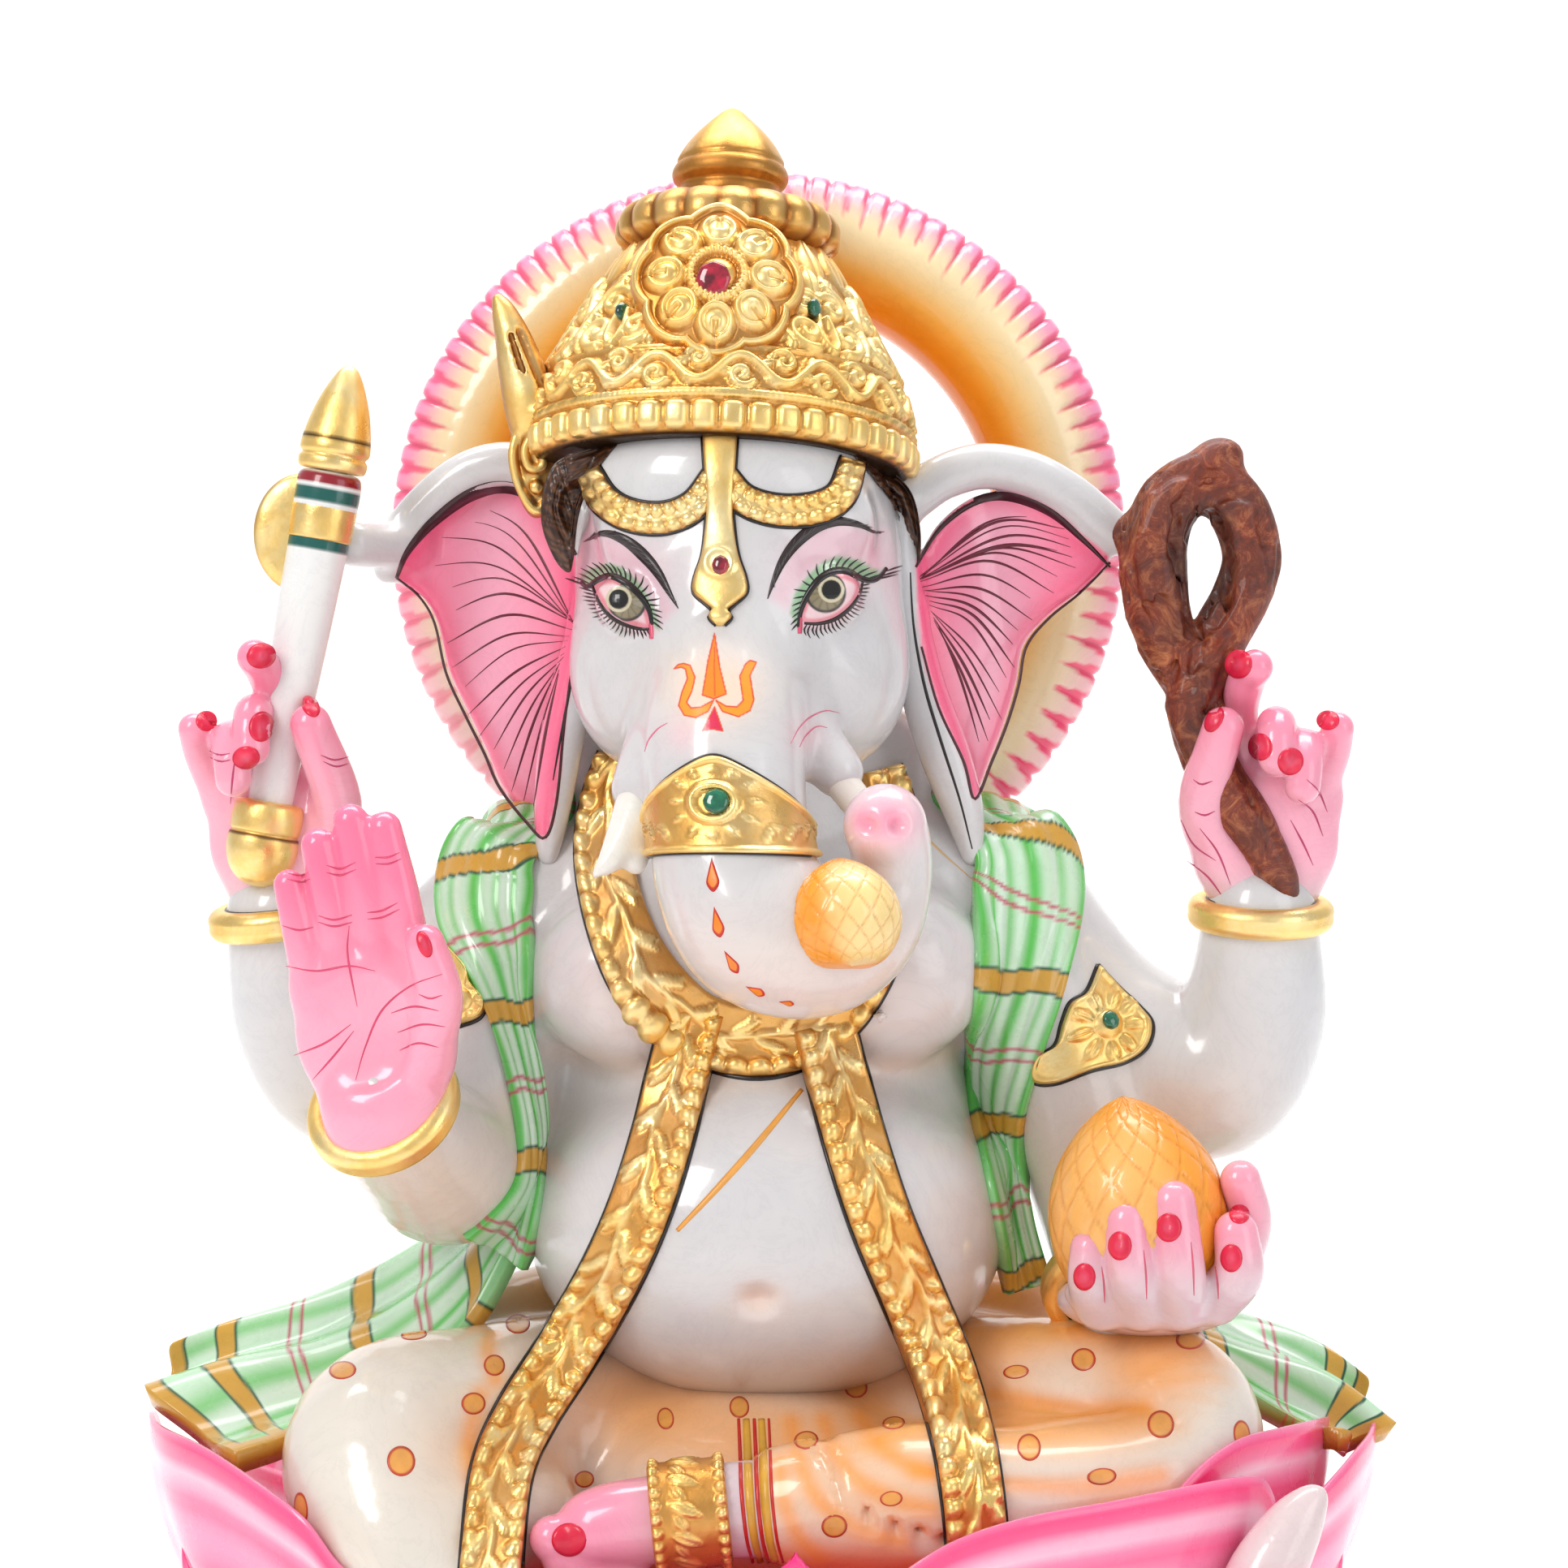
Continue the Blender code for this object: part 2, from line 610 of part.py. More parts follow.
CUPPING_DIGITS = [
    [(15, -14, 3, 6.6), (20, -19, 10, 6.2), (19.5, -19, 20, 5.4)],
    [(6, -16, 2, 6.6), (5, -24, 12, 6.2), (3.5, -22.5, 28, 5.5)],
    [(-4, -16, 2, 6.4), (-7, -24, 11, 6), (-8, -22.5, 23.5, 5.4)],
    [(-14, -13, 1, 6), (-17, -19, 8, 5.4), (-17, -18.5, 16, 4.8)],
    [(21, 0, 10, 6.2), (24, -6, 21, 5.6), (21.5, -10, 32, 5)],
]


def make_hands():
    hand("blessing_hand", (-94.5, -60, 200), (6, -6, -4), OPEN_PALM, OPEN_DIGITS, triangles=360)
    hand("goad_hand", (-124, -6, 247), (4, -2, 0), HOLDING_PALM, HOLDING_DIGITS, triangles=340)
    hand("noose_hand", (130, -4, 247), (4, 2, 0), HOLDING_PALM, GRIPPING_DIGITS, True, 340)
    hand("sweet_hand", (99, -38, 150), (0, 0, 0), CUPPING_PALM, CUPPING_DIGITS, triangles=360)


# What the idol holds.


def make_goad():
    foot, head = Vector((-129.5, -16, 264)), Vector((-112, -13, 361))
    run = head - foot
    frame = run.to_track_quat("Z", "Y").to_matrix().to_4x4()
    place = Matrix.Translation(foot) @ frame
    length = run.length
    bm = bmesh.new()
    staff = [(5.6, 0), (7.8, 6), (7.8, length * 0.5), (8.1, length * 0.9), (8.4, length)]
    turned(bm, staff, 14, place)
    fit("goad_staff", bm, "marble")
    bm = bmesh.new()
    tip = [(8.6, length + JOINT), (9.2, length + 6), (8.8, length + 12), (6, length + 20), (0.8, length + 28.5)]
    turned(bm, tip, 14, place)
    fit("goad_tip", bm, "gold")
    bm = bmesh.new()
    pommel = [(1.5, -13), (5.5, -9), (8.2, -4), (8.4, -1), (7.4, -JOINT)]
    turned(bm, pommel, 14, place)
    fit("goad_pommel", bm, "gold")
    bm = bmesh.new()
    blade = Matrix.Translation((-119.5, -14, 345.5)) @ Matrix.Rotation(math.radians(90), 4, "X")
    turned(bm, [(11.6, -2.4), (12.4, -1), (12.4, 1), (11.6, 2.4)], 16, blade)
    fit("goad_blade", bm, "gold")


def make_noose():
    bm = bmesh.new()
    loop = [(114, -9, 316, 7), (103, -8, 327, 8), (101, -8, 341, 8.6), (105, -8, 353, 8.6), (115, -8, 358, 8.8),
            (124, -8, 352, 8.2), (127.5, -8, 339, 7.6), (124, -8, 326, 7.6), (115, -9, 315, 7.6),
            (113, -12, 302, 7.2), (117, -13, 288, 6.8), (124, -13, 273, 7), (133, -13.5, 258, 5), (136, -13, 252.5, 3.2)]
    limb(bm, loop)
    ball(bm, (119, -8, 366), (6, 5.5, 4))
    limb(bm, [(99, -6, 346, 5), (94.5, -4, 345, 4.5)], 1)
    fit("noose", bm, "brown", melted=(1.6, 1, 440))


def sweet(name, at, radius, height, lean):
    """A modak: a dumpling drawn up to a point."""
    bm = bmesh.new()
    share = [(0.42, -0.42), (0.8, -0.3), (0.98, -0.1), (0.98, 0.1), (0.84, 0.28), (0.55, 0.44), (0.22, 0.54), (0.05, 0.58)]
    turn = Euler([math.radians(a) for a in lean]).to_matrix().to_4x4()
    turned(bm, [(radius * r, height * h) for r, h in share], 14, Matrix.Translation(at) @ turn)
    fit(name, bm, "modak")


def make_sweets():
    sweet("trunk_modak", (20.5, -81, 250), 14.2, 27, (-20, 0, 20))
    sweet("hand_modak", (95.5, -42, 171), 23, 55, (0, -8, 0))


# The crown and the halo.


def crown_place(height=0.0):
    return Matrix.Translation(CROWN_FOOT) @ CROWN_TILT.to_matrix().to_4x4() @ Matrix.Translation((0, 0, height))


def make_crown():
    bm = bmesh.new()
    dome = [(42, -3), (48.5, -1), (49.5, 5), (49, 13), (47.5, 22), (44, 34), (39.5, 44), (33, 53), (27.5, 58)]
    turned(bm, dome, 22, crown_place(), (1, 0.96))
    fit("crown", bm, "gold", around=["head"])
    bm = bmesh.new()
    turned(bm, [(24, 58.5), (28.5, 61), (29.5, 66), (26, 70), (15, 72.5)], 22, crown_place())
    fit("crown_collar", bm, "gold", around=["crown"])
    bm = bmesh.new()
    turned(bm, [(13, 73), (16, 78), (16.2, 84), (12.5, 88.5), (7, 94.5), (1.6, 97.3)], 16, crown_place())
    fit("crown_finial", bm, "gold", around=["crown_collar"])
    bm = bmesh.new()
    medallion = crown_place() @ Matrix.Translation((0, -33, 47)) @ Matrix.Rotation(math.radians(62), 4, "X")
    turned(bm, [(17.5, -8), (18.5, 2), (16.5, 4.6), (8, 5.6), (6, 6.4)], 18, medallion)
    fit("crown_medallion", bm, "gold", around=["crown", "crown_collar"])
    bm = bmesh.new()
    limb(bm, [(-54, -4, 352, 3), (-57, -6, 372, 4), (-58, -6, 378, 4.4), (-60.5, -6, 386, 4.6), (-63.5, -6, 397, 4.2),
              (-68, -6, 406, 2.4)], 2)
    ball(bm, (-55, -4, 364), (5, 7, 16))
    fit("crown_plume", bm, "gold", melted=(1.4, 1, 300))


def make_halo():
    bm = bmesh.new()
    middle, half = (HALO_OUT + HALO_IN) / 2, (HALO_OUT - HALO_IN) / 2
    sides, segments = 8, 32
    loops = []
    for k in range(segments):
        a = 2 * math.pi * k / segments
        loop = []
        for j in range(sides):
            b = 2 * math.pi * j / sides
            reach = middle + half * math.cos(b)
            depth = HALO_DEPTH / 2 * math.sin(b) * (1 - 0.25 * math.cos(b))
            at = HALO_CENTRE + Vector((reach * math.cos(a), depth, reach * math.sin(a)))
            loop.append(bm.verts.new(at))
        loops.append(loop)
    for k in range(segments):
        here, there = loops[k], loops[(k + 1) % segments]
        for j in range(sides):
            n = (j + 1) % sides
            bm.faces.new((here[j], there[j], there[n], here[n]))
    fit("halo_ring", bm, "pink")


# Ornaments.


def make_face_ornaments():
    bm = bmesh.new()
    strap(bm, [(-11, 379), (-12, 364), (-12, 350), (-11.5, 336), (-11.5, 327)], ["head"], [4, 3, 5, 7, 3], 3.0)
    strap(bm, [(-43, 358), (-37, 350), (-26, 347.5), (-17, 351), (-12, 360)], ["head"], 3.6, 3.0, 8)
    strap(bm, [(-11, 360), (-5, 352.5), (4, 349.5), (14, 352), (22, 362)], ["head"], 3.6, 3.0, 8)
    fit("forehead_ornament", bm, "gold", melted=(1.2, 1, 340))
    bm = bmesh.new()
    rings = []
    for k in range(17):
        a = math.radians(-112 + 14 * k)
        top = 278 + 8 * math.cos(math.radians(-112 + 14 * k)) ** 2 * (1 if abs(-112 + 14 * k) < 90 else 0)
        loop = []
        for reach, height in ((17.5, 263), (22.4, 263), (22.6, top), (17.5, top + 1)):
            loop.append(bm.verts.new((-8.2 + reach * math.sin(a), -59.5 - reach * math.cos(a), height)))
        rings.append(loop)
    skin(bm, rings)
    fit("trunk_band", bm, "gold", melted=(1.2, 1, 360))


def make_neckwear():
    bm = bmesh.new()
    strap(bm, [(-39, 279), (-42, 262), (-38, 243), (-30, 227), (-17, 215.5), (-2, 211.5), (12, 215), (22, 225)],
          ["torso"], [7, 7.5, 8, 9, 9, 10, 8, 5], 4.5)
    fit("necklace", bm, "gold", melted=(1.8, 1, 260))
    over = ["torso", "dhoti_hips", "right_leg", "left_leg", "lotus_seat"]
    bm = bmesh.new()
    strap(bm, [(-20, 220), (-22, 204), (-25.5, 187), (-31, 168), (-39, 150), (-50, 131), (-60, 115), (-64.5, 100), (-65.5, 82)],
          over, 9, 4.5, taut=14)
    fit("garland_right", bm, "gold", melted=(1.8, 1, 280))
    bm = bmesh.new()
    strap(bm, [(16, 216), (20, 200), (25, 182), (31, 164), (39, 145), (47, 126), (51, 109), (53, 96), (54, 82)],
          over, 9, 4.5, taut=14)
    fit("garland_left", bm, "gold", melted=(1.8, 1, 280))


def make_shawl():
    body = ["torso", "rear_right_arm", "rear_left_arm", "front_right_arm", "front_left_arm"]
    bm = bmesh.new()
    strap(bm, [(-69, 262), (-73, 246), (-71, 230), (-66, 215), (-61, 200), (-59, 185)], body,
          [16, 17, 14, 10, 7, 5.5], 6)
    fit("shawl_right", bm, "green", melted=(2, 1, 200))
    bm = bmesh.new()
    strap(bm, [(67, 266), (69, 250), (67, 232), (63, 214), (62, 198), (64, 182), (67, 164), (71, 150)], body,
          [16, 17, 15, 12, 9, 6.5, 6, 5], 6)
    fit("shawl_left", bm, "green", melted=(2, 1, 240))
    bm = bmesh.new()
    rows = [
        [(-60, 16, 178), (-64, -2, 172), (-66, -12, 160)],
        [(-74, 20, 164), (-76, 0, 156), (-78, -16, 142)],
        [(-92, 22, 150), (-95, 0, 142), (-98, -20, 126)],
        [(-114, 20, 138), (-118, -4, 130), (-120, -26, 114)],
        [(-134, 14, 132), (-138, -8, 124), (-138, -30, 108)],
        [(-150, 6, 128), (-154, -12, 120), (-148, -34, 105)],
    ]
    sheet(bm, rows, 8)
    fit("shawl_end_right", bm, "green", melted=(2.2, 2, 280))
    bm = bmesh.new()
    rows = [
        [(96, 24, 146), (98, 4, 142), (104, -10, 132)],
        [(118, 24, 136), (122, 2, 130), (126, -16, 118)],
        [(136, 16, 126), (142, -4, 118), (146, -20, 108)],
        [(150, 6, 117), (156, -8, 110), (154, -20, 104)],
    ]
    sheet(bm, rows, 8)
    fit("shawl_end_left", bm, "green", melted=(2.2, 2, 240))


def bangle(name, at, axis, radii, thickness):
    bm = bmesh.new()
    ring_tube(bm, at, axis, radii, thickness)
    fit(name, bm, "gold")


def make_bangles():
    bangle("bangle_rear_right", (-125.8, -5, 244.5), (-0.12, -0.1, 1), (15.6, 15.2), (3.4, 3.6))
    bangle("bangle_rear_left", (130, -3.5, 245.5), (0.02, -0.14, 1), (15.8, 15.4), (3.6, 3.8))
    bangle("bangle_front_right", (-94.5, -57, 202), (-0.28, -0.72, 0.65), (16.5, 16.2), (3.6, 3.8))
    bangle("bangle_front_left", (92, -25, 153), (0.1, -0.75, -0.55), (17.5, 16), (3.4, 3.6))
    bangle("anklet_left", (-17.5, -81.5, 104.5), (1, 0.02, 0.1), (12.8, 13.4), (2.6, 9.5))


def make_armlets():
    bm = bmesh.new()
    strap(bm, [(71, 204), (80, 209), (88, 216), (95, 218), (102, 216)], ["rear_left_arm"], [3, 7, 13, 11, 4], 3.4)
    fit("armlet_left", bm, "gold", melted=(1.3, 1, 220))
    bm = bmesh.new()
    strap(bm, [(-84, 238), (-80, 230), (-77, 223), (-75, 216)], ["rear_right_arm", "front_right_arm"],
          [4, 7, 8, 4], 3.4)
    fit("armlet_right", bm, "gold", melted=(1.3, 1, 160))


def gem(name, at, outward, radius, colour, flatten=0.6):
    """A cabochon half sunk into what it sits on."""
    bm = bmesh.new()
    frame = Vector(outward).to_track_quat("Z", "Y").to_matrix().to_4x4()
    placed = Matrix.Translation(at) @ frame @ Matrix.Diagonal((radius, radius, radius * flatten, 1))
    bmesh.ops.create_icosphere(bm, subdivisions=2, radius=1, matrix=placed)
    fit(name, bm, colour)


def gem_on(name, x, z, on, radius, colour):
    at, normal = front_of([on], x, z)
    gem(name, at + normal * 0.5, normal, radius, colour)


def make_gems():
    gem_on("crown_ruby", -12.8, 411.5, "crown_medallion", 4.2, "red_gem")
    gem_on("crown_emerald_right", -37, 403.5, "crown", 2.6, "green_gem")
    gem_on("crown_emerald_left", 13, 404.5, "crown", 2.6, "green_gem")
    gem_on("forehead_ruby", -11.5, 337, "forehead_ornament", 2.4, "red_gem")
    gem_on("trunk_emerald", -11.5, 276.5, "trunk_band", 3.4, "green_gem")
    gem_on("armlet_gem_left", 91, 217, "armlet_left", 2.6, "green_gem")


# Hidden dowels that pin the heavy and the projecting pieces together.


def dowel(name, low, high, through):
    """A steel pin between two points, in a hole drilled through the joint of two fitted pieces."""
    low, high = Vector(low), Vector(high)
    place = Matrix.Translation(low) @ (high - low).to_track_quat("Z", "Y").to_matrix().to_4x4()
    length = (high - low).length
    for piece in through:
        bm = bmesh.new()
        turned(bm, [(DOWEL_HOLE_R, -JOINT), (DOWEL_HOLE_R, length + JOINT)], 12, place)
        drill = object_of("drill", bm)
        cut(fitted[piece], drill)
        bpy.data.objects.remove(drill)
        keep_largest(fitted[piece])
    bm = bmesh.new()
    turned(bm, [(DOWEL_R, 0), (DOWEL_R, length)], 12, place)
    made = object_of(name, bm)
    made.data.materials.append(material_of("steel"))
    fitted[name] = made


def make_dowels():
    dowel("dowel_seat", (0, 20, 50), (0, 20, 92), ["lotus_seat", "dhoti_hips"])
    dowel("dowel_halo", (-5, 22, 262), (-5, 58, 262), ["torso", "halo_ring"])
    dowel("dowel_neck", (-5, 2, 272), (-5, 2, 318), ["torso", "head"])


def finish():
    """Clears the cutters away and scales the whole idol to metres."""
    for cutter in cutters.values():
        bpy.data.objects.remove(cutter)
    scale = Matrix.Scale(HEIGHT / UNITS, 4)
    for made in fitted.values():
        made.data.transform(scale)
        made.data.update()


def main():
    clear_scene()
    make_plinth()
    make_lotus()
    make_torso()
    make_hips()
    make_legs()
    make_feet()
    make_head()
    make_trunk()
    make_tusks()
    make_crown()
    make_ears()
    make_arms()
    make_sweets()
    make_goad()
    make_noose()
    make_hands()
    make_halo()
    make_face_ornaments()
    make_bangles()
    make_shawl()
    make_neckwear()
    make_armlets()
    make_gems()
    make_dowels()
    finish()


main()
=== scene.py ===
"""The finished look of a hand-painted, gold-leafed marble Ganesha idol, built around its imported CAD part.

Lengths are in millimetres until a mesh is made. The idol faces -Y, and its right is -X.
Carved stone is modelled as smooth signed-distance clay, ornaments as relief on parametric surfaces, and fine
brushwork as thin raised enamel laid on the finished surfaces.
"""
import math

import bmesh
import bpy
import numpy as np
from mathutils import Euler, Matrix, Vector
from mathutils.bvhtree import BVHTree


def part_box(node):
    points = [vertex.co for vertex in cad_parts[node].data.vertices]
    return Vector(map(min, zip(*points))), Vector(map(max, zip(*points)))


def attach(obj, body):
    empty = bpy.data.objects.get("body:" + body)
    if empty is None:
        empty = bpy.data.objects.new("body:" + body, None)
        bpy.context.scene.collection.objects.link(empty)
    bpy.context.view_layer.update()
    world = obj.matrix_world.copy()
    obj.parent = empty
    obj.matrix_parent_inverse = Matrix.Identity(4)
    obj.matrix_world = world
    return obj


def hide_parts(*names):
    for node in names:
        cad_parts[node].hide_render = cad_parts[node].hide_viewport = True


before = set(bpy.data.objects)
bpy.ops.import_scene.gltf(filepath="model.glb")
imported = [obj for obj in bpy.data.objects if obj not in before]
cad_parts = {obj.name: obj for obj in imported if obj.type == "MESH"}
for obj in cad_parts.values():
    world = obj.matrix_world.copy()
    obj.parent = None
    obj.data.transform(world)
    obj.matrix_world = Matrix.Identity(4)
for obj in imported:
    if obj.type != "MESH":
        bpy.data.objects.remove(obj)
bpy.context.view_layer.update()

MM = 0.001
FAR_CLAY = 14.0  # the signed distance given to empty space
EYE = np.array([5.5, -1250.0, 330.0])  # the photo's viewpoint; what it sees is drawn in the plane y = 0


def linear(red, green, blue):
    """An 8-bit display colour as linear light."""
    c = np.array([red, green, blue], float) / 255
    return np.where(c <= 0.04045, c / 12.92, ((c + 0.055) / 1.055) ** 2.4)


WHITE = linear(216, 214, 215)
PALE_ORANGE = linear(252, 200, 112)
TEAL = linear(10, 92, 84)
BLACK = linear(26, 16, 16)


# Small numeric tools.


def spline(points, steps=8):
    """A Catmull-Rom curve through rows of numbers."""
    p = np.asarray(points, float)
    p = np.vstack([2 * p[0] - p[1], p, 2 * p[-1] - p[-2]])
    t = np.linspace(0, 1, steps, endpoint=False)[:, None]
    out = [0.5 * (2 * b + (c - a) * t + (2 * a - 5 * b + 4 * c - d) * t**2 + (3 * b - a - 3 * c + d) * t**3)
           for a, b, c, d in zip(p, p[1:], p[2:], p[3:])]
    return np.vstack(out + [p[-2][None]])


def drawn_at(points):
    """Where points appear in the drawing plane to the photo's eye: u to the viewer's right, v up."""
    scale = EYE[1] / (EYE[1] - points[..., 1])
    return EYE[0] + (points[..., 0] - EYE[0]) * scale, EYE[2] + (points[..., 2] - EYE[2]) * scale


def bell(offset, wide):
    """1 where the offset is 0, falling smoothly away over the given width."""
    return np.exp(-((offset / wide) ** 2))


def smoothstep(low, high, value):
    """0 up to low, 1 from high on, smooth between."""
    t = np.clip((value - low) / (high - low), 0, 1)
    return t * t * (3 - 2 * t)


def unit(v):
    return v / np.maximum(np.linalg.norm(v, axis=-1, keepdims=True), 1e-9)


def even(curve, count):
    """The curve resampled at equal steps along its first three numbers."""
    step = np.linalg.norm(np.diff(curve[:, :3], axis=0), axis=1)
    at = np.concatenate([[0], np.cumsum(step)])
    want = np.linspace(0, at[-1], count)
    return np.stack([np.interp(want, at, curve[:, k]) for k in range(curve.shape[1])], axis=1)


def length_of(curve):
    return float(np.linalg.norm(np.diff(curve, axis=0), axis=1).sum())


def polyline_distance(u, v, line):
    """The distance of each (u, v) from a polyline, and how far along it the nearest point lies."""
    best = np.full(np.shape(u), 1e9)
    along = np.zeros(np.shape(u))
    total = 0.0
    for (ax, ay), (bx, by) in zip(line, line[1:]):
        dx, dy = bx - ax, by - ay
        size = math.hypot(dx, dy) or 1e-9
        t = np.clip(((u - ax) * dx + (v - ay) * dy) / size**2, 0, 1)
        d = np.hypot(u - ax - t * dx, v - ay - t * dy)
        nearer = d < best
        best = np.where(nearer, d, best)
        along = np.where(nearer, total + t * size, along)
        total += size
    return best, along / max(total, 1e-9)


def polygon_distance(u, v, ring):
    """The signed distance of each (u, v) from a closed outline, negative inside."""
    best = np.full(np.shape(u), 1e9)
    inside = np.zeros(np.shape(u), bool)
    for (ax, ay), (bx, by) in zip(ring, np.roll(ring, -1, axis=0)):
        dx, dy = bx - ax, by - ay
        t = np.clip(((u - ax) * dx + (v - ay) * dy) / max(dx * dx + dy * dy, 1e-9), 0, 1)
        best = np.minimum(best, np.hypot(u - ax - t * dx, v - ay - t * dy))
        if ay != by:
            crosses = ((ay > v) != (by > v)) & (u < dx * (v - ay) / dy + ax)
            inside ^= crosses
    return np.where(inside, -best, best)


def lumps(p, scale, seed=0):
    """Soft three-dimensional unevenness between -1 and 1."""
    s = np.array([[1.0, 0.31, -0.42], [-0.37, 1.0, 0.29], [0.25, -0.44, 1.0]])
    q = p @ s.T / scale + seed * 1.7
    out = np.sin(q[..., 0] + 1.3 * np.sin(q[..., 1])) * np.cos(q[..., 2] + 0.9 * np.sin(q[..., 0] * 1.7))
    return 0.6 * out + 0.4 * np.sin(2.3 * q[..., 1] + 1.1 * np.cos(1.9 * q[..., 2]))


# Clay: a block of signed distances that shapes are blended into.


class Clay:
    def __init__(self, low, high, step):
        self.step = step * 1
        self.low = np.array(low, float)
        size = np.ceil((np.array(high, float) - self.low) / self.step).astype(int) + 1
        self.axes = [self.low[k] + self.step * np.arange(size[k]) for k in range(3)]
        self.field = np.full(size, FAR_CLAY, np.float32)

    def window(self, low, high):
        size = np.array(self.field.shape)
        first = np.clip(np.floor((np.array(low) - self.low) / self.step).astype(int), 0, size - 1)
        last = np.clip(np.ceil((np.array(high) - self.low) / self.step).astype(int) + 1, first + 1, size)
        part = tuple(slice(a, b) for a, b in zip(first, last))
        x, y, z = (self.axes[k][part[k]] for k in range(3))
        return part, x[:, None, None], y[None, :, None], z[None, None, :]

    def mix(self, part, distance, blend, carve=False):
        field = self.field[part]
        sign = -1 if carve else 1
        h = np.maximum(blend - np.abs(field - sign * distance), 0) if blend else 0
        soft = h * h / (4 * blend) if blend else 0
        if carve:
            field[...] = np.maximum(field, -distance) + soft
        else:
            field[...] = np.minimum(field, distance) - soft

    def ball(self, centre, radii, blend=6, carve=False, turn=None):
        radii = np.array(radii, float)
        reach = radii.max() if turn else radii
        reach = reach + blend + 3
        part, x, y, z = self.window(np.array(centre) - reach, np.array(centre) + reach)
        x, y, z = x - centre[0], y - centre[1], z - centre[2]
        if turn:
            m = np.array(Euler([math.radians(a) for a in turn]).to_matrix()).T
            x, y, z = (m[k, 0] * x + m[k, 1] * y + m[k, 2] * z for k in range(3))
        near = np.sqrt((x / radii[0]) ** 2 + (y / radii[1]) ** 2 + (z / radii[2]) ** 2)
        slope = np.sqrt((x / radii[0] ** 2) ** 2 + (y / radii[1] ** 2) ** 2 + (z / radii[2] ** 2) ** 2)
        self.mix(part, near * (near - 1) / np.maximum(slope, 1e-6), blend, carve)
        return self

    def limb(self, points, blend=6, carve=False, steps=6):
        """A tube through (x, y, z, radius) rows."""
        line = spline(points, steps) if len(points) > 2 else np.asarray(points, float)
        wide = line[:, 3].max() + blend + 3
        low, high = line[:, :3].min(0) - wide, line[:, :3].max(0) + wide
        part = self.window(low, high)[0]
        whole = np.full(self.field[part].shape, FAR_CLAY, np.float32)
        start = [part[k].start for k in range(3)]
        for a, b in zip(line, line[1:]):
            reach = max(a[3], b[3]) + blend + 3
            inner, u, v, w = self.window(np.minimum(a, b)[:3] - reach, np.maximum(a, b)[:3] + reach)
            d = b[:3] - a[:3]
            t = np.clip(((u - a[0]) * d[0] + (v - a[1]) * d[1] + (w - a[2]) * d[2]) / max(d @ d, 1e-9), 0, 1)
            off = [u - a[0] - t * d[0], v - a[1] - t * d[1], w - a[2] - t * d[2]]
            dist = np.sqrt(off[0] ** 2 + off[1] ** 2 + off[2] ** 2) - (a[3] + t * (b[3] - a[3]))
            place = tuple(slice(s.start - o, s.stop - o) for s, o in zip(inner, start))
            whole[place] = np.minimum(whole[place], dist)
        self.mix(part, whole, blend, carve)
        return self

    def plate(self, ring, middle, half, blend=4, edge=3):
        """A sheet over an outline in x and z. middle(x, z) is where its mid-surface lies in y."""
        ring = np.array(ring)
        xs, zs = self.axes[0], self.axes[2]
        u, v = np.meshgrid(xs, zs, indexing="ij")
        out = polygon_distance(u, v, ring)
        y = middle(u, v)
        slope = np.sqrt(1 + np.gradient(y, self.step, axis=0) ** 2 + np.gradient(y, self.step, axis=1) ** 2)
        part = (slice(0, len(xs)), slice(0, len(self.axes[1])), slice(0, len(zs)))
        deep = np.abs(self.axes[1][None, :, None] - y[:, None, :]) / slope[:, None, :] - half
        rim = np.broadcast_to(out[:, None, :], deep.shape)
        h = np.maximum(edge - np.abs(deep - rim), 0)
        self.mix(part, np.minimum(np.maximum(deep, rim) + h * h / (4 * edge), FAR_CLAY), blend)
        return self

    def sample(self, p):
        q = (p - self.low) / self.step
        q = np.clip(q, 0, np.array(self.field.shape) - 1.001)
        i = q.astype(int)
        t = q - i
        out = 0
        for a in (0, 1):
            for b in (0, 1):
                for c in (0, 1):
                    share = (t[:, 0] if a else 1 - t[:, 0]) * (t[:, 1] if b else 1 - t[:, 1])
                    share = share * (t[:, 2] if c else 1 - t[:, 2])
                    out = out + share * self.field[i[:, 0] + a, i[:, 1] + b, i[:, 2] + c]
        return out

    def surface(self, relax=2):
        """The clay's skin as points and quads (surface nets, then settled onto the zero level)."""
        f = self.field
        for k in range(3):
            end = [slice(None)] * 3
            for edge in (0, -1):
                end[k] = edge
                f[tuple(end)] = np.maximum(f[tuple(end)], 0.1)
        inside = f < 0
        n = np.array(f.shape)
        corners = sum(inside[i:n[0] - 1 + i, j:n[1] - 1 + j, k:n[2] - 1 + k].astype(np.int8)
                      for i in (0, 1) for j in (0, 1) for k in (0, 1))
        active = (corners > 0) & (corners < 8)
        cells = np.argwhere(active)
        number = np.full(active.shape, -1, np.int64)
        number[active] = np.arange(len(cells))
        place, hits = np.zeros((len(cells), 3)), np.zeros(len(cells))
        for axis in range(3):
            others = [k for k in range(3) if k != axis]
            for a in (0, 1):
                for b in (0, 1):
                    start = cells.copy()
                    start[:, others[0]] += a
                    start[:, others[1]] += b
                    end = start.copy()
                    end[:, axis] += 1
                    fa, fb = f[tuple(start.T)], f[tuple(end.T)]
                    cross = (fa < 0) != (fb < 0)
                    at = start[cross].astype(float)
                    at[:, axis] += fa[cross] / (fa[cross] - fb[cross])
                    place[cross] += at
                    hits[cross] += 1
        p = self.low + self.step * place / hits[:, None]
        quads = []
        for axis in range(3):
            u, v = (axis + 1) % 3, (axis + 2) % 3
            first, second = [slice(None)] * 3, [slice(None)] * 3
            first[axis], second[axis] = slice(0, -1), slice(1, None)
            a, b = inside[tuple(first)], inside[tuple(second)]
            at = np.argwhere(a != b)
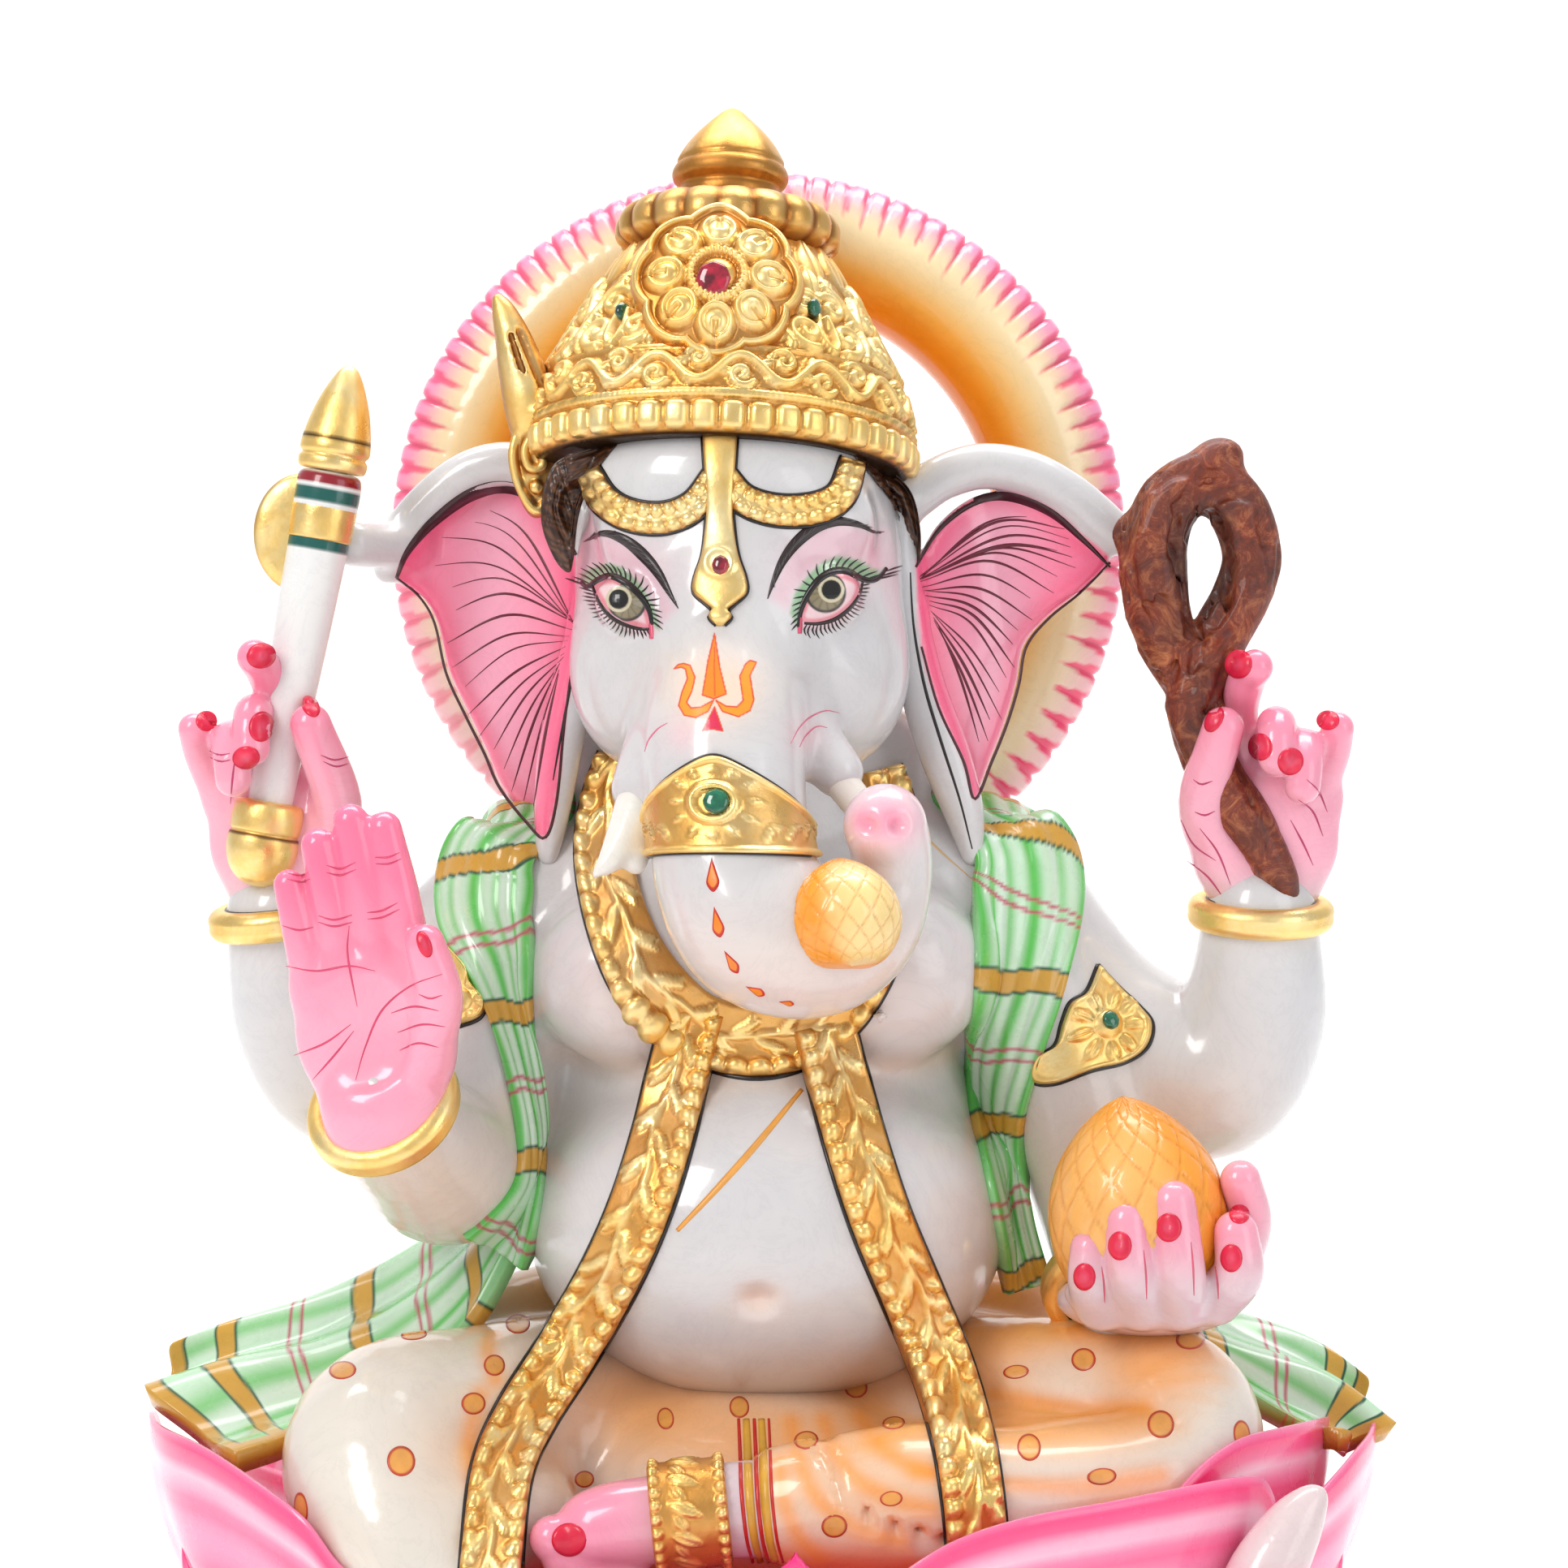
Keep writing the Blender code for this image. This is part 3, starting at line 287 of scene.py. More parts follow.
            at = at[(at[:, u] > 0) & (at[:, v] > 0) & (at[:, u] < n[u] - 1) & (at[:, v] < n[v] - 1)]
            ring = []
            for du, dv in ((1, 1), (0, 1), (0, 0), (1, 0)):
                c = at.copy()
                c[:, u] -= du
                c[:, v] -= dv
                ring.append(number[tuple(c.T)])
            quad = np.stack(ring, axis=1)
            flip = ~a[tuple(at.T)]
            quad[flip] = quad[flip][:, ::-1]
            quads.append(quad)
        for _ in range(relax + 1):
            g = self.slope(p)
            step = self.sample(p) / np.maximum((g * g).sum(1), 0.05)
            p = p - np.clip(step, -0.6 * self.step, 0.6 * self.step)[:, None] * g
        return p, np.vstack(quads)

    def slope(self, p):
        h = 0.5 * self.step
        return np.stack([(self.sample(p + h * e) - self.sample(p - h * e)) / (2 * h) for e in np.eye(3)],
                        axis=1)


# Meshes and materials.


class Piece:
    """A mesh in the making: points, faces, and a paint colour for each point."""

    def __init__(self, points=None, faces=None, paint=None):
        self.points = np.zeros((0, 3)) if points is None else np.asarray(points, float)
        self.faces = [] if faces is None else [np.asarray(faces)]
        count = len(self.points)
        self.paint = np.broadcast_to(np.ones(3) if paint is None else np.asarray(paint, float), (count, 3))

    def join(self, other):
        base = len(self.points)
        self.points = np.vstack([self.points, other.points])
        self.paint = np.vstack([self.paint, other.paint])
        self.faces += [f + base for f in other.faces]
        return self

    def tree(self):
        return BVHTree.FromPolygons(self.points.tolist(), [q for f in self.faces for q in f.tolist()])

    def make(self, name, finish, slot, *nodes):
        mesh = bpy.data.meshes.new(name)
        mesh.from_pydata((self.points * MM).tolist(), [], [q for f in self.faces for q in f.tolist()])
        mesh.polygons.foreach_set("use_smooth", [True] * len(mesh.polygons))
        colour = mesh.color_attributes.new("paint", "FLOAT_COLOR", "POINT")
        rgba = np.ones((len(self.points), 4), np.float32)
        rgba[:, :3] = np.clip(self.paint, 0, 1)
        colour.data.foreach_set("color", rgba.ravel())
        mesh.materials.append(finish)
        obj = bpy.data.objects.new(name, mesh)
        bpy.context.scene.collection.objects.link(obj)
        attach(obj, "root")
        if nodes:
            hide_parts(*nodes)
        print("piece", name, len(mesh.polygons))
        return obj


def tube_piece(grid, paint=(1, 1, 1), ends="caps"):
    """A tube over a (rows, columns) grid of points.

    With caps a point closes each end; with a loop the last row joins the first.
    """
    rows, cols = grid.shape[:2]
    points = grid.reshape(-1, 3)
    left = np.arange(rows * cols).reshape(rows, cols)
    right = np.roll(left, -1, axis=1)
    faces = [np.stack([left[:-1], right[:-1], right[1:], left[1:]], axis=-1).reshape(-1, 4)]
    colour = np.broadcast_to(np.asarray(paint, float), grid.shape)
    paint = colour.reshape(-1, 3)
    if ends == "caps":
        low, high = len(points), len(points) + 1
        points = np.vstack([points, grid[0].mean(0), grid[-1].mean(0)])
        paint = np.vstack([paint, colour[0].mean(0), colour[-1].mean(0)])
        faces.append(np.stack([np.full(cols, low), right[0], left[0]], axis=1))
        faces.append(np.stack([np.full(cols, high), left[-1], right[-1]], axis=1))
    else:
        faces.append(np.stack([left[-1], right[-1], right[0], left[0]], axis=1))
    piece = Piece(points, faces[0], paint)
    piece.faces += faces[1:]
    return piece


def slab(top, under, paint):
    """A closed slab between two (rows, columns) grids of points; top is the outer one."""
    rows, cols = top.shape[:2]
    a = np.arange(rows * cols).reshape(rows, cols)
    b = a + rows * cols
    quads = [np.stack([a[:-1, :-1], a[:-1, 1:], a[1:, 1:], a[1:, :-1]], -1).reshape(-1, 4),
             np.stack([b[:-1, :-1], b[1:, :-1], b[1:, 1:], b[:-1, 1:]], -1).reshape(-1, 4)]
    for p, q in ((a[:, 0], b[:, 0]), (a[-1], b[-1]), (a[::-1, -1], b[::-1, -1]), (a[0, ::-1], b[0, ::-1])):
        quads.append(np.stack([p[:-1], p[1:], q[1:], q[:-1]], -1))
    colour = np.broadcast_to(np.asarray(paint, float), top.shape).reshape(-1, 3)
    points = np.vstack([top.reshape(-1, 3), under.reshape(-1, 3)])
    return Piece(points, np.vstack(quads), np.vstack([colour, colour]))


def node_tree(name):
    material = bpy.data.materials.new(name)
    material.use_nodes = True
    tree = material.node_tree
    return material, tree, tree.nodes["Principled BSDF"]


def noise(tree, scale, detail=4, rough=0.55, distortion=0.0):
    node = tree.nodes.new("ShaderNodeTexNoise")
    node.inputs["Scale"].default_value = scale
    node.inputs["Detail"].default_value = detail
    node.inputs["Roughness"].default_value = rough
    node.inputs["Distortion"].default_value = distortion
    place = tree.nodes.get("place") or tree.nodes.new("ShaderNodeTexCoord")
    place.name = "place"
    tree.links.new(place.outputs["Object"], node.inputs["Vector"])
    return node.outputs["Fac"]


def ramp(tree, value, stops):
    node = tree.nodes.new("ShaderNodeValToRGB")
    elements = node.color_ramp.elements
    while len(elements) < len(stops):
        elements.new(0.5)
    for element, (at, colour) in zip(elements, stops):
        element.position = at
        element.color = (*colour, 1)
    tree.links.new(value, node.inputs["Fac"])
    return node.outputs["Color"]


def spread(tree, value, low, high, start=0.0, end=1.0):
    node = tree.nodes.new("ShaderNodeMapRange")
    for key, number in (("From Min", start), ("From Max", end), ("To Min", low), ("To Max", high)):
        node.inputs[key].default_value = number
    tree.links.new(value, node.inputs["Value"])
    return node.outputs["Result"]


def multiply(tree, a, b, share=1.0, mode="MULTIPLY"):
    node = tree.nodes.new("ShaderNodeMix")
    node.data_type = "RGBA"
    node.blend_type = mode
    node.inputs["Factor"].default_value = share
    tree.links.new(a, node.inputs["A"])
    tree.links.new(b, node.inputs["B"])
    return node.outputs["Result"]


def paint_of(tree):
    node = tree.nodes.new("ShaderNodeAttribute")
    node.attribute_name = "paint"
    return node.outputs["Color"]


def bump(tree, shader, height, strength, distance):
    node = tree.nodes.new("ShaderNodeBump")
    node.inputs["Strength"].default_value = strength
    node.inputs["Distance"].default_value = distance
    tree.links.new(height, node.inputs["Height"])
    tree.links.new(node.outputs["Normal"], shader.inputs["Normal"])


def marble_finish(name, stone=0.14, gloss=0.2):
    """Polished, painted white marble: soft light inside it, faint grey veins, a lacquered top."""
    material, tree, shader = node_tree(name)
    cloud = ramp(tree, noise(tree, 22, 6, 0.6, 1.5), [(0.3, (0.93, 0.935, 0.95)), (0.62, (1, 1, 1))])
    vein = ramp(tree, noise(tree, 34, 8, 0.7, 3.2),
                [(0.47, (1, 1, 1)), (0.5, (0.955, 0.955, 0.96)), (0.53, (1, 1, 1))])
    colour = multiply(tree, multiply(tree, paint_of(tree), cloud), vein)
    tree.links.new(colour, shader.inputs["Base Color"])
    shader.inputs["Subsurface Weight"].default_value = stone
    shader.inputs["Subsurface Radius"].default_value = (1.0, 0.82, 0.7)
    shader.inputs["Subsurface Scale"].default_value = 0.004
    shader.inputs["Coat Weight"].default_value = 0.55
    shader.inputs["Coat Roughness"].default_value = 0.06
    tree.links.new(spread(tree, noise(tree, 60, 5), gloss * 0.8, gloss * 1.5), shader.inputs["Roughness"])
    bump(tree, shader, noise(tree, 90, 4), 0.12, 0.0006)
    return material


def gold_finish(name):
    """Gold leaf over carved stone: warm, a little uneven, browner where it is rubbed."""
    material, tree, shader = node_tree(name)
    tone = ramp(tree, noise(tree, 45, 7, 0.65, 0.6),
                [(0.25, (0.86, 0.52, 0.13)), (0.48, (0.98, 0.68, 0.24)), (0.72, (1.0, 0.84, 0.46))])
    tree.links.new(multiply(tree, tone, paint_of(tree)), shader.inputs["Base Color"])
    shader.inputs["Metallic"].default_value = 0.88
    tree.links.new(spread(tree, noise(tree, 120, 6, 0.6), 0.22, 0.5, 0.3, 0.7), shader.inputs["Roughness"])
    bump(tree, shader, noise(tree, 260, 6, 0.65), 0.35, 0.0005)
    return material


def enamel_finish(name):
    material, tree, shader = node_tree(name)
    tone = ramp(tree, noise(tree, 160, 4), [(0.3, (0.8, 0.8, 0.8)), (0.65, (1, 1, 1))])
    tree.links.new(multiply(tree, paint_of(tree), tone), shader.inputs["Base Color"])
    tree.links.new(spread(tree, noise(tree, 90, 3), 0.24, 0.42), shader.inputs["Roughness"])
    shader.inputs["Coat Weight"].default_value = 0.2
    bump(tree, shader, noise(tree, 700, 3), 0.1, 0.0002)
    return material


def rope_finish(name):
    material, tree, shader = node_tree(name)
    grain = noise(tree, 120, 8, 0.75, 2.2)
    tone = ramp(tree, grain, [(0.3, linear(72, 22, 4)), (0.5, linear(132, 52, 20)),
                              (0.68, linear(196, 124, 78))])
    tree.links.new(multiply(tree, tone, paint_of(tree)), shader.inputs["Base Color"])
    tree.links.new(spread(tree, noise(tree, 60, 5), 0.3, 0.6), shader.inputs["Roughness"])
    shader.inputs["Coat Weight"].default_value = 0.22
    bump(tree, shader, grain, 0.5, 0.001)
    return material


def gem_finish(name, dark, light):
    material, tree, shader = node_tree(name)
    tone = ramp(tree, noise(tree, 300, 3), [(0.35, dark), (0.7, light)])
    tree.links.new(tone, shader.inputs["Base Color"])
    tree.links.new(spread(tree, noise(tree, 500, 2), 0.04, 0.14), shader.inputs["Roughness"])
    shader.inputs["Coat Weight"].default_value = 1.0
    shader.inputs["Coat Roughness"].default_value = 0.03
    return material


def steel_finish(name):
    material, tree, shader = node_tree(name)
    tone = ramp(tree, noise(tree, 400, 4), [(0.3, (0.42, 0.43, 0.44)), (0.7, (0.62, 0.63, 0.64))])
    tree.links.new(tone, shader.inputs["Base Color"])
    shader.inputs["Metallic"].default_value = 1.0
    tree.links.new(spread(tree, noise(tree, 900, 3), 0.25, 0.45), shader.inputs["Roughness"])
    bump(tree, shader, noise(tree, 1200, 2), 0.2, 0.0001)
    return material


MARBLE = marble_finish("painted_marble")
PETAL = marble_finish("painted_petal", 0.08, 0.24)
SWEET = marble_finish("painted_sweet", 0.2, 0.26)
LEAF = gold_finish("gold_leaf")
ENAMEL = enamel_finish("enamel")
ROPE = rope_finish("noose_paint")
RUBY = gem_finish("ruby", linear(96, 0, 24), linear(200, 20, 60))
EMERALD = gem_finish("emerald", linear(0, 40, 34), linear(10, 120, 84))
STEEL = steel_finish("dowel_steel")


def tint(base, colour, amount):
    """Airbrushed colour over a base, by a share per point."""
    a = np.clip(amount, 0, 1)[..., None]
    return base * (1 - a) + np.asarray(colour) * a


def refined(points, quads, chosen, clay, cuts):
    """The mesh with its chosen quads divided and settled onto the clay: points, and faces grouped by size."""
    mesh = bmesh.new()
    verts = [mesh.verts.new(p) for p in points.tolist()]
    edges = set()
    for quad, fine in zip(quads.tolist(), chosen):
        face = mesh.faces.new([verts[k] for k in quad])
        if fine:
            edges.update(face.edges)
    bmesh.ops.subdivide_edges(mesh, edges=list(edges), cuts=cuts, use_grid_fill=True)
    mesh.verts.index_update()
    p = np.array([v.co for v in mesh.verts], float)
    for _ in range(3):
        g = clay.slope(p)
        step = clay.sample(p) / np.maximum((g * g).sum(1), 0.05)
        p = p - np.clip(step, -0.3, 0.3)[:, None] * g
    groups = {}
    for face in mesh.faces:
        groups.setdefault(len(face.verts), []).append([v.index for v in face.verts])
    mesh.free()
    return p, [np.array(groups[size]) for size in sorted(groups)]


# The figure: one carved body with four arms.

ARMS = {
    "rear_right": [(-62, 14, 250, 22), (-84, 16, 228, 22), (-106, 10, 204, 20.5), (-120, 2, 216, 18),
                   (-126, -5, 246, 14)],
    "rear_left": [(62, 14, 248, 22), (86, 15, 217, 22.5), (114, 9, 203, 23), (128, 3, 218, 19.5),
                  (130, -4, 247, 14.5)],
    "front_right": [(-62, 6, 242, 21), (-72, 0, 212, 20), (-80, -12, 184, 22), (-88, -36, 190, 18),
                    (-94, -57, 202, 15)],
    "front_left": [(64, 6, 240, 21), (78, 2, 206, 19), (86, -4, 178, 17), (90, -16, 160, 15),
                   (92, -30, 151, 13)],
}


def make_body():
    clay = Clay((-152, -86, 92), (158, 60, 308), 1.7)
    clay.ball((1, -8, 166), (62, 52, 46), 4).ball((0, 12, 190), (56, 38, 50), 10)
    clay.ball((-2, 6, 236), (58, 38, 46), 12)
    clay.limb([(-60, 14, 250, 22), (0, 14, 262, 24), (58, 14, 252, 22)], 12)
    clay.ball((-5, 6, 280), (34, 30, 26), 12)
    clay.ball((27, 12, 285), (18, 13, 17), 8).ball((-38, 12, 285), (17, 13, 17), 8)
    clay.ball((-33, -15, 231), (27, 23, 24), 4).ball((31, -15, 232), (27, 23, 24), 4)
    for rows in ARMS.values():
        clay.limb(rows, 7)
    clay.ball((-1, -62, 153), (4.2, 7, 3.4), 4, carve=True)
    clay.ball((-29, -40, 221.5), (2, 2, 1.8), 1.2).ball((30, -40, 222.5), (2, 2, 1.8), 1.2)
    points, quads = clay.surface()
    x, y, z = points.T
    paint = WHITE
    crease = bell(z - 209 - 0.004 * (np.abs(x) - 30) ** 2, 4) * smoothstep(70, 40, np.abs(x))
    paint = tint(paint, linear(236, 200, 172), 0.55 * crease * (y < 0))
    paint = tint(paint, linear(244, 214, 196), 0.5 * 1.5 * bell(x + 1, 6) * bell(z - 153, 5) * (y < 0))
    hem = smoothstep(132, 118, z) * (np.abs(x) < 80)
    paint = tint(paint, PALE_ORANGE, 0.55 * hem)
    for side in (-34, 34):
        paint = tint(paint, linear(246, 214, 204), 0.35 * bell(x - side, 17) * bell(z - 228, 16) * (y < 0))
    for side in (-1, 1):
        for cx, cz, wide in ((104, 186, 22), (76, 178, 16), (62, 196, 9)):
            paint = tint(paint, linear(240, 214, 184), 0.45 * bell(x - side * cx, wide) * bell(z - cz, wide))
    return Piece(points, quads, paint)


# The painted eyes.

EYES = {
    "right": {
        "white": [(-44.7, 332), (-41.9, 333.5), (-38.7, 333.8), (-35.3, 332), (-32.2, 328.9), (-30.3, 326),
                  (-29.4, 322.3), (-29.6, 320.7), (-32.8, 321.1), (-36.6, 322.6), (-40, 324.8),
                  (-42.5, 327.6), (-44, 330.1)],
        "upper": [(-47.8, 332.9), (-45.9, 331.7), (-43.4, 333.4), (-40.3, 334.5), (-37.2, 333.5),
                  (-34.1, 331.3), (-31.3, 328.2), (-29.7, 325.1), (-29.1, 321.7)],
        "lower": [(-44.7, 332), (-43.7, 329.2), (-41.9, 326), (-39.1, 323.2), (-35.3, 321.4),
                  (-31.9, 320.6), (-29.7, 320.6)],
        "green": [(-47.8, 334.8), (-45.3, 336.3), (-40.9, 337.9), (-36.6, 336.6), (-32.2, 332.3),
                  (-28.5, 326), (-27.2, 320.4)],
        "brow": [(-47, 343.4), (-45, 344.4), (-42.5, 345.6), (-39.1, 345.2), (-34.7, 342.9),
                 (-30.3, 338.8), (-27.2, 334.8), (-24.7, 330.4), (-22.2, 326)],
        "iris": (-35.6, 327.6, 5.0), "pupil": (-37.8, 328.4), "drop": [(-29.4, 322), (-29.2, 318)],
        "span": (-51, -20),
    },
    "left": {
        "white": [(9.6, 324.2), (10.8, 327.9), (13.3, 332), (17.1, 334.8), (21.4, 335.1), (25.2, 332.9),
                  (25.2, 329.5), (22.7, 326), (18.9, 323.2), (14.6, 322), (10.8, 322.3)],
        "upper": [(9.3, 321.1), (9.9, 325.4), (11.8, 329.8), (14.6, 333.5), (18.3, 335.7), (22.1, 335.7),
                  (25.8, 333.8), (29.5, 333.5), (32.4, 336.6)],
        "lower": [(26.1, 332.9), (25.2, 329.5), (22.7, 326), (18.9, 323.2), (14.6, 322), (10.8, 322.1)],
        "green": [(7.1, 324.8), (8.3, 329.8), (11.5, 334.2), (15.2, 337.9), (19.6, 339.5), (25.2, 338.5),
                  (30.8, 335.4)],
        "brow": [(1.2, 328.5), (2.7, 332.9), (5.2, 338.5), (9, 343.5), (14, 347.3), (19.6, 348.8),
                 (25.2, 347.9), (28.9, 346), (30.8, 345.7)],
        "iris": (16.4, 330.2, 5.4), "pupil": (17.9, 330.9), "drop": [(9.7, 323.6), (9.6, 319.4)],
        "span": (-2, 36),
    },
}


def eye_paint(eye, u, v, colour):
    upper, green = np.array(eye["upper"]), np.array(eye["green"])
    lid = np.vstack([upper, green[::-1]])
    brow = np.array(eye["brow"])
    under_brow = np.vstack([green, brow[::-1]])
    colour = tint(colour, linear(226, 182, 194),
                  0.75 * smoothstep(1.5, -2.5, polygon_distance(u, v, under_brow)))
    white = spline(np.vstack([eye["white"], eye["white"][:1]]), 5)[:-1]
    inside = polygon_distance(u, v, white)
    colour = tint(colour, linear(232, 180, 192), 0.55 * smoothstep(3.2, 0.4, inside)
                  * smoothstep(330, 324, v))
    colour = tint(colour, linear(142, 184, 140), 0.92 * smoothstep(0.7, -0.6, polygon_distance(u, v, lid)))
    colour = tint(colour, linear(238, 206, 210), smoothstep(0.15, -0.15, inside))
    colour = tint(colour, linear(226, 120, 136), 0.85 * smoothstep(-1.9, -0.9, inside)
                  * smoothstep(0.15, -0.15, inside))
    ix, iz, size = eye["iris"]
    r = np.hypot(u - ix, v - iz)
    shown = smoothstep(0.1, -0.25, inside)
    colour = tint(colour, linear(48, 40, 38), smoothstep(size + 0.2, size - 0.2, r) * shown)
    colour = tint(colour, linear(138, 126, 96), smoothstep(size - 0.5, size - 1.0, r) * shown)
    colour = tint(colour, linear(96, 88, 70),
                  0.6 * smoothstep(0.3, 1, np.sin(12 * np.arctan2(v - iz, u - ix))) * (r < size - 0.6)
                  * shown)
    pupil_x, pupil_z = eye["pupil"]
    r = np.hypot(u - pupil_x, v - pupil_z)
    colour = tint(colour, linear(206, 196, 168), smoothstep(3.5, 3.3, r) * smoothstep(2.5, 2.7, r) * shown)
    colour = tint(colour, linear(12, 10, 12), smoothstep(2.65, 2.4, r) * shown)
    return colour


TRIDENT = [
    ([(-12.7, 319.5), (-14.4, 312.3), (-15.9, 303.3), (-12.9, 302.3), (-9.6, 303.6), (-11.3, 310.5)],
     linear(250, 140, 30)),
    ([(-23.3, 310.2), (-22.2, 311.3), (-20.8, 311.6), (-19.1, 311.1), (-17.8, 308), (-18.6, 304.4),
      (-20, 301.4), (-18.9, 299.9), (-16.2, 300.2), (-12.9, 302), (-14.4, 299.0), (-17.6, 297.4),
      (-20.6, 298.0), (-22.1, 300.5), (-21.3, 303.9), (-19.8, 307.6), (-20.3, 310.1), (-21.4, 310.6)],
     linear(251, 158, 40)),
    ([(-1.7, 311.9), (-3.4, 312.4), (-4.6, 311.4), (-6.1, 308.2), (-5.6, 304.8), (-5.2, 301.9),
      (-6.8, 300.2), (-9.7, 300.4), (-12.4, 302), (-10.6, 299.0), (-6.4, 297.6), (-3.4, 299.2),
      (-2.4, 302), (-2.9, 305.2), (-3.4, 308.4)], linear(251, 158, 40)),
    ([(-12.7, 300.2), (-14.6, 296.5), (-15.9, 293.9), (-13.4, 294.4), (-10.5, 293.9), (-11.4, 296.5)],
     linear(226, 40, 84)),
]


def trident_paint(u, v, colour):
    for outline, shade in TRIDENT:
        ring = np.array(outline)
        d = polygon_distance(u, v, ring)
        colour = tint(colour, linear(224, 74, 40), smoothstep(0.28, 0.1, d))
        colour = tint(colour, shade, smoothstep(-0.1, -0.32, d))
    middle = smoothstep(0.22, 0.1, np.abs(u + 12.7)) * (v < 316) * (v > 303)
    return tint(colour, linear(210, 70, 30), 0.8 * middle)


def head_paint(points):
    x, y, z = points[..., 0], points[..., 1], points[..., 2]
    paint = WHITE
    dx, dz = drawn_at(points)
    front = y < 6
    for cx, cz, wide, high in ((-36, 336, 12, 8), (20, 338, 14, 8)):
        tint_share = bell(dx - cx, wide) * bell(dz - cz, high) * front
        paint = tint(paint, linear(238, 196, 206), 0.75 * tint_share)
    paint = tint(paint, linear(255, 214, 176), 0.7 * bell(dx + 12.5, 12) * bell(dz - 305, 10) * front)
    tip = bell(x - 30, 9) * bell(z - 274, 7) * (y < -55)
    paint = tint(paint, linear(252, 188, 204), 1.3 * tip)
    for nx in (26.5, 33.8):
        paint = tint(paint, linear(250, 146, 176), bell(dx - nx, 3.0) * bell(dz - 270.4, 2.8) * (y < -66)
                     * 0.8)
    under = smoothstep(268, 232, z) * smoothstep(-45, -60, y)
    paint = tint(paint, linear(246, 206, 180), 0.35 * under)
    for cx in (-21, 11):
        paint = tint(paint, linear(250, 190, 200), 0.4 * bell(dx - cx, 5) * bell(dz - 293, 5) * (y < -20))
    seen = (y < 4) & (dz > 288) & (dz < 356)
    if seen.any():
        u, v, shade = dx[seen], dz[seen], paint[seen]
        for eye in EYES.values():
            near_eye = (u > eye["span"][0]) & (u < eye["span"][1])
            shade[near_eye] = eye_paint(eye, u[near_eye], v[near_eye], shade[near_eye])
        paint[seen] = trident_paint(u, v, shade)
    return paint


def make_head():
    clay = Clay((-60, -90, 212), (52, 54, 392), 1.1)
    clay.ball((-6, 0, 334), (43, 44, 54), 4)
    clay.ball((-26, -17, 309), (23.5, 25, 26), 12).ball((14, -17, 309), (23.5, 25, 26), 12)
    clay.ball((-6.5, -27, 322), (26, 25, 32), 12)
    clay.ball((-10, -21, 359), (35, 23.5, 19), 9)
    clay.ball((-28, -31, 345), (13, 9, 11), 8).ball((15, -31, 347), (13, 9, 11), 8)
    trunk = [(-8.5, -40, 308, 20.5), (-9.5, -52, 293, 20.5), (-8.5, -60, 275, 19.8), (-6, -65, 258, 20.3),
             (1, -68, 247.5, 20.8), (14, -67, 243, 18), (26, -65, 247, 13.2), (31.5, -63, 257, 10.6),
             (32, -65, 266, 10.2), (30.5, -69, 272.5, 10.4)]
    clay.limb(trunk, 7)
    clay.limb([(-22, -36, 299, 9), (-27, -44, 289, 8.6), (-30, -49, 281, 8)], 6)
    clay.limb([(6, -38, 301, 9), (13, -43, 292, 7.6), (19, -46, 285, 6.6)], 6)
    clay.limb([(-36, -39, 328, 6.5), (-35, -41, 327, 6.5)], 5)
    clay.limb([(16, -41, 330, 6.5), (18, -41, 330, 6.5)], 5)
    clay.limb([(25.6, -81, 273, 3.0), (26.2, -78, 273, 1.8)], 2.5, True)
    clay.limb([(33.8, -81, 273, 3.0), (33.4, -78, 273, 1.8)], 2.5, True)
    points, quads = clay.surface()
    centre = points[quads].mean(1)
    u, v = drawn_at(centre)
    fine = np.zeros(len(quads), bool)
    for eye in EYES.values():
        fine |= polygon_distance(u, v, np.array(eye["white"])) < 4.2
    for outline, _ in TRIDENT:
        fine |= polygon_distance(u, v, np.array(outline)) < 1.2
    points, faces = refined(points, quads, fine & (centre[:, 1] < 4), clay, 3)
    piece = Piece(points, faces[0], head_paint(points))
    piece.faces += faces[1:]
    return piece


def make_tusks():
    right = Clay((-48, -78, 248), (-18, -36, 296), 0.7)
    right.limb([(-25, -44, 291, 5.4), (-29.5, -50, 280, 6.4), (-33.6, -56, 270, 5.2),
                (-37.6, -60, 263.6, 3.2), (-41.6, -62, 259.8, 0.8)], 2)
    right.limb([(-29.5, -53, 273, 4.6), (-31.5, -57.5, 262.5, 2.8)], 3)
    left = Clay((0, -66, 262), (38, -30, 306), 0.7)
    left.limb([(10, -42, 296, 5.2), (16, -46, 288, 4.9), (21, -48, 281, 4.4), (24.5, -49, 276.5, 4.2)], 2)
    out = []
    for clay in (right, left):
        points, quads = clay.surface()
        paint = tint(linear(243, 240, 232), linear(246, 220, 200),
                     smoothstep(276, 292, points[:, 2]) * 0.5)
        out.append(Piece(points, quads, paint))
    return out


EAR_FAN_RIGHT = [(-49, 340), (-56, 352), (-66, 357.5), (-76, 356), (-86, 349), (-93, 341), (-96, 334),
                 (-90, 329), (-86, 322), (-83, 309), (-78, 298), (-73, 288), (-69, 279), (-62, 270),
                 (-57, 266), (-54, 276), (-52, 296), (-49, 318)]
EAR_FAN_LEFT = [(40, 338), (46, 348), (55, 355), (64, 356.5), (75, 352.5), (84, 345), (91, 338), (83, 330),
                (75, 323.5), (69, 316), (67, 306), (64, 296), (60, 286), (55.5, 276), (52.5, 286), (46, 300),
                (41.5, 316)]


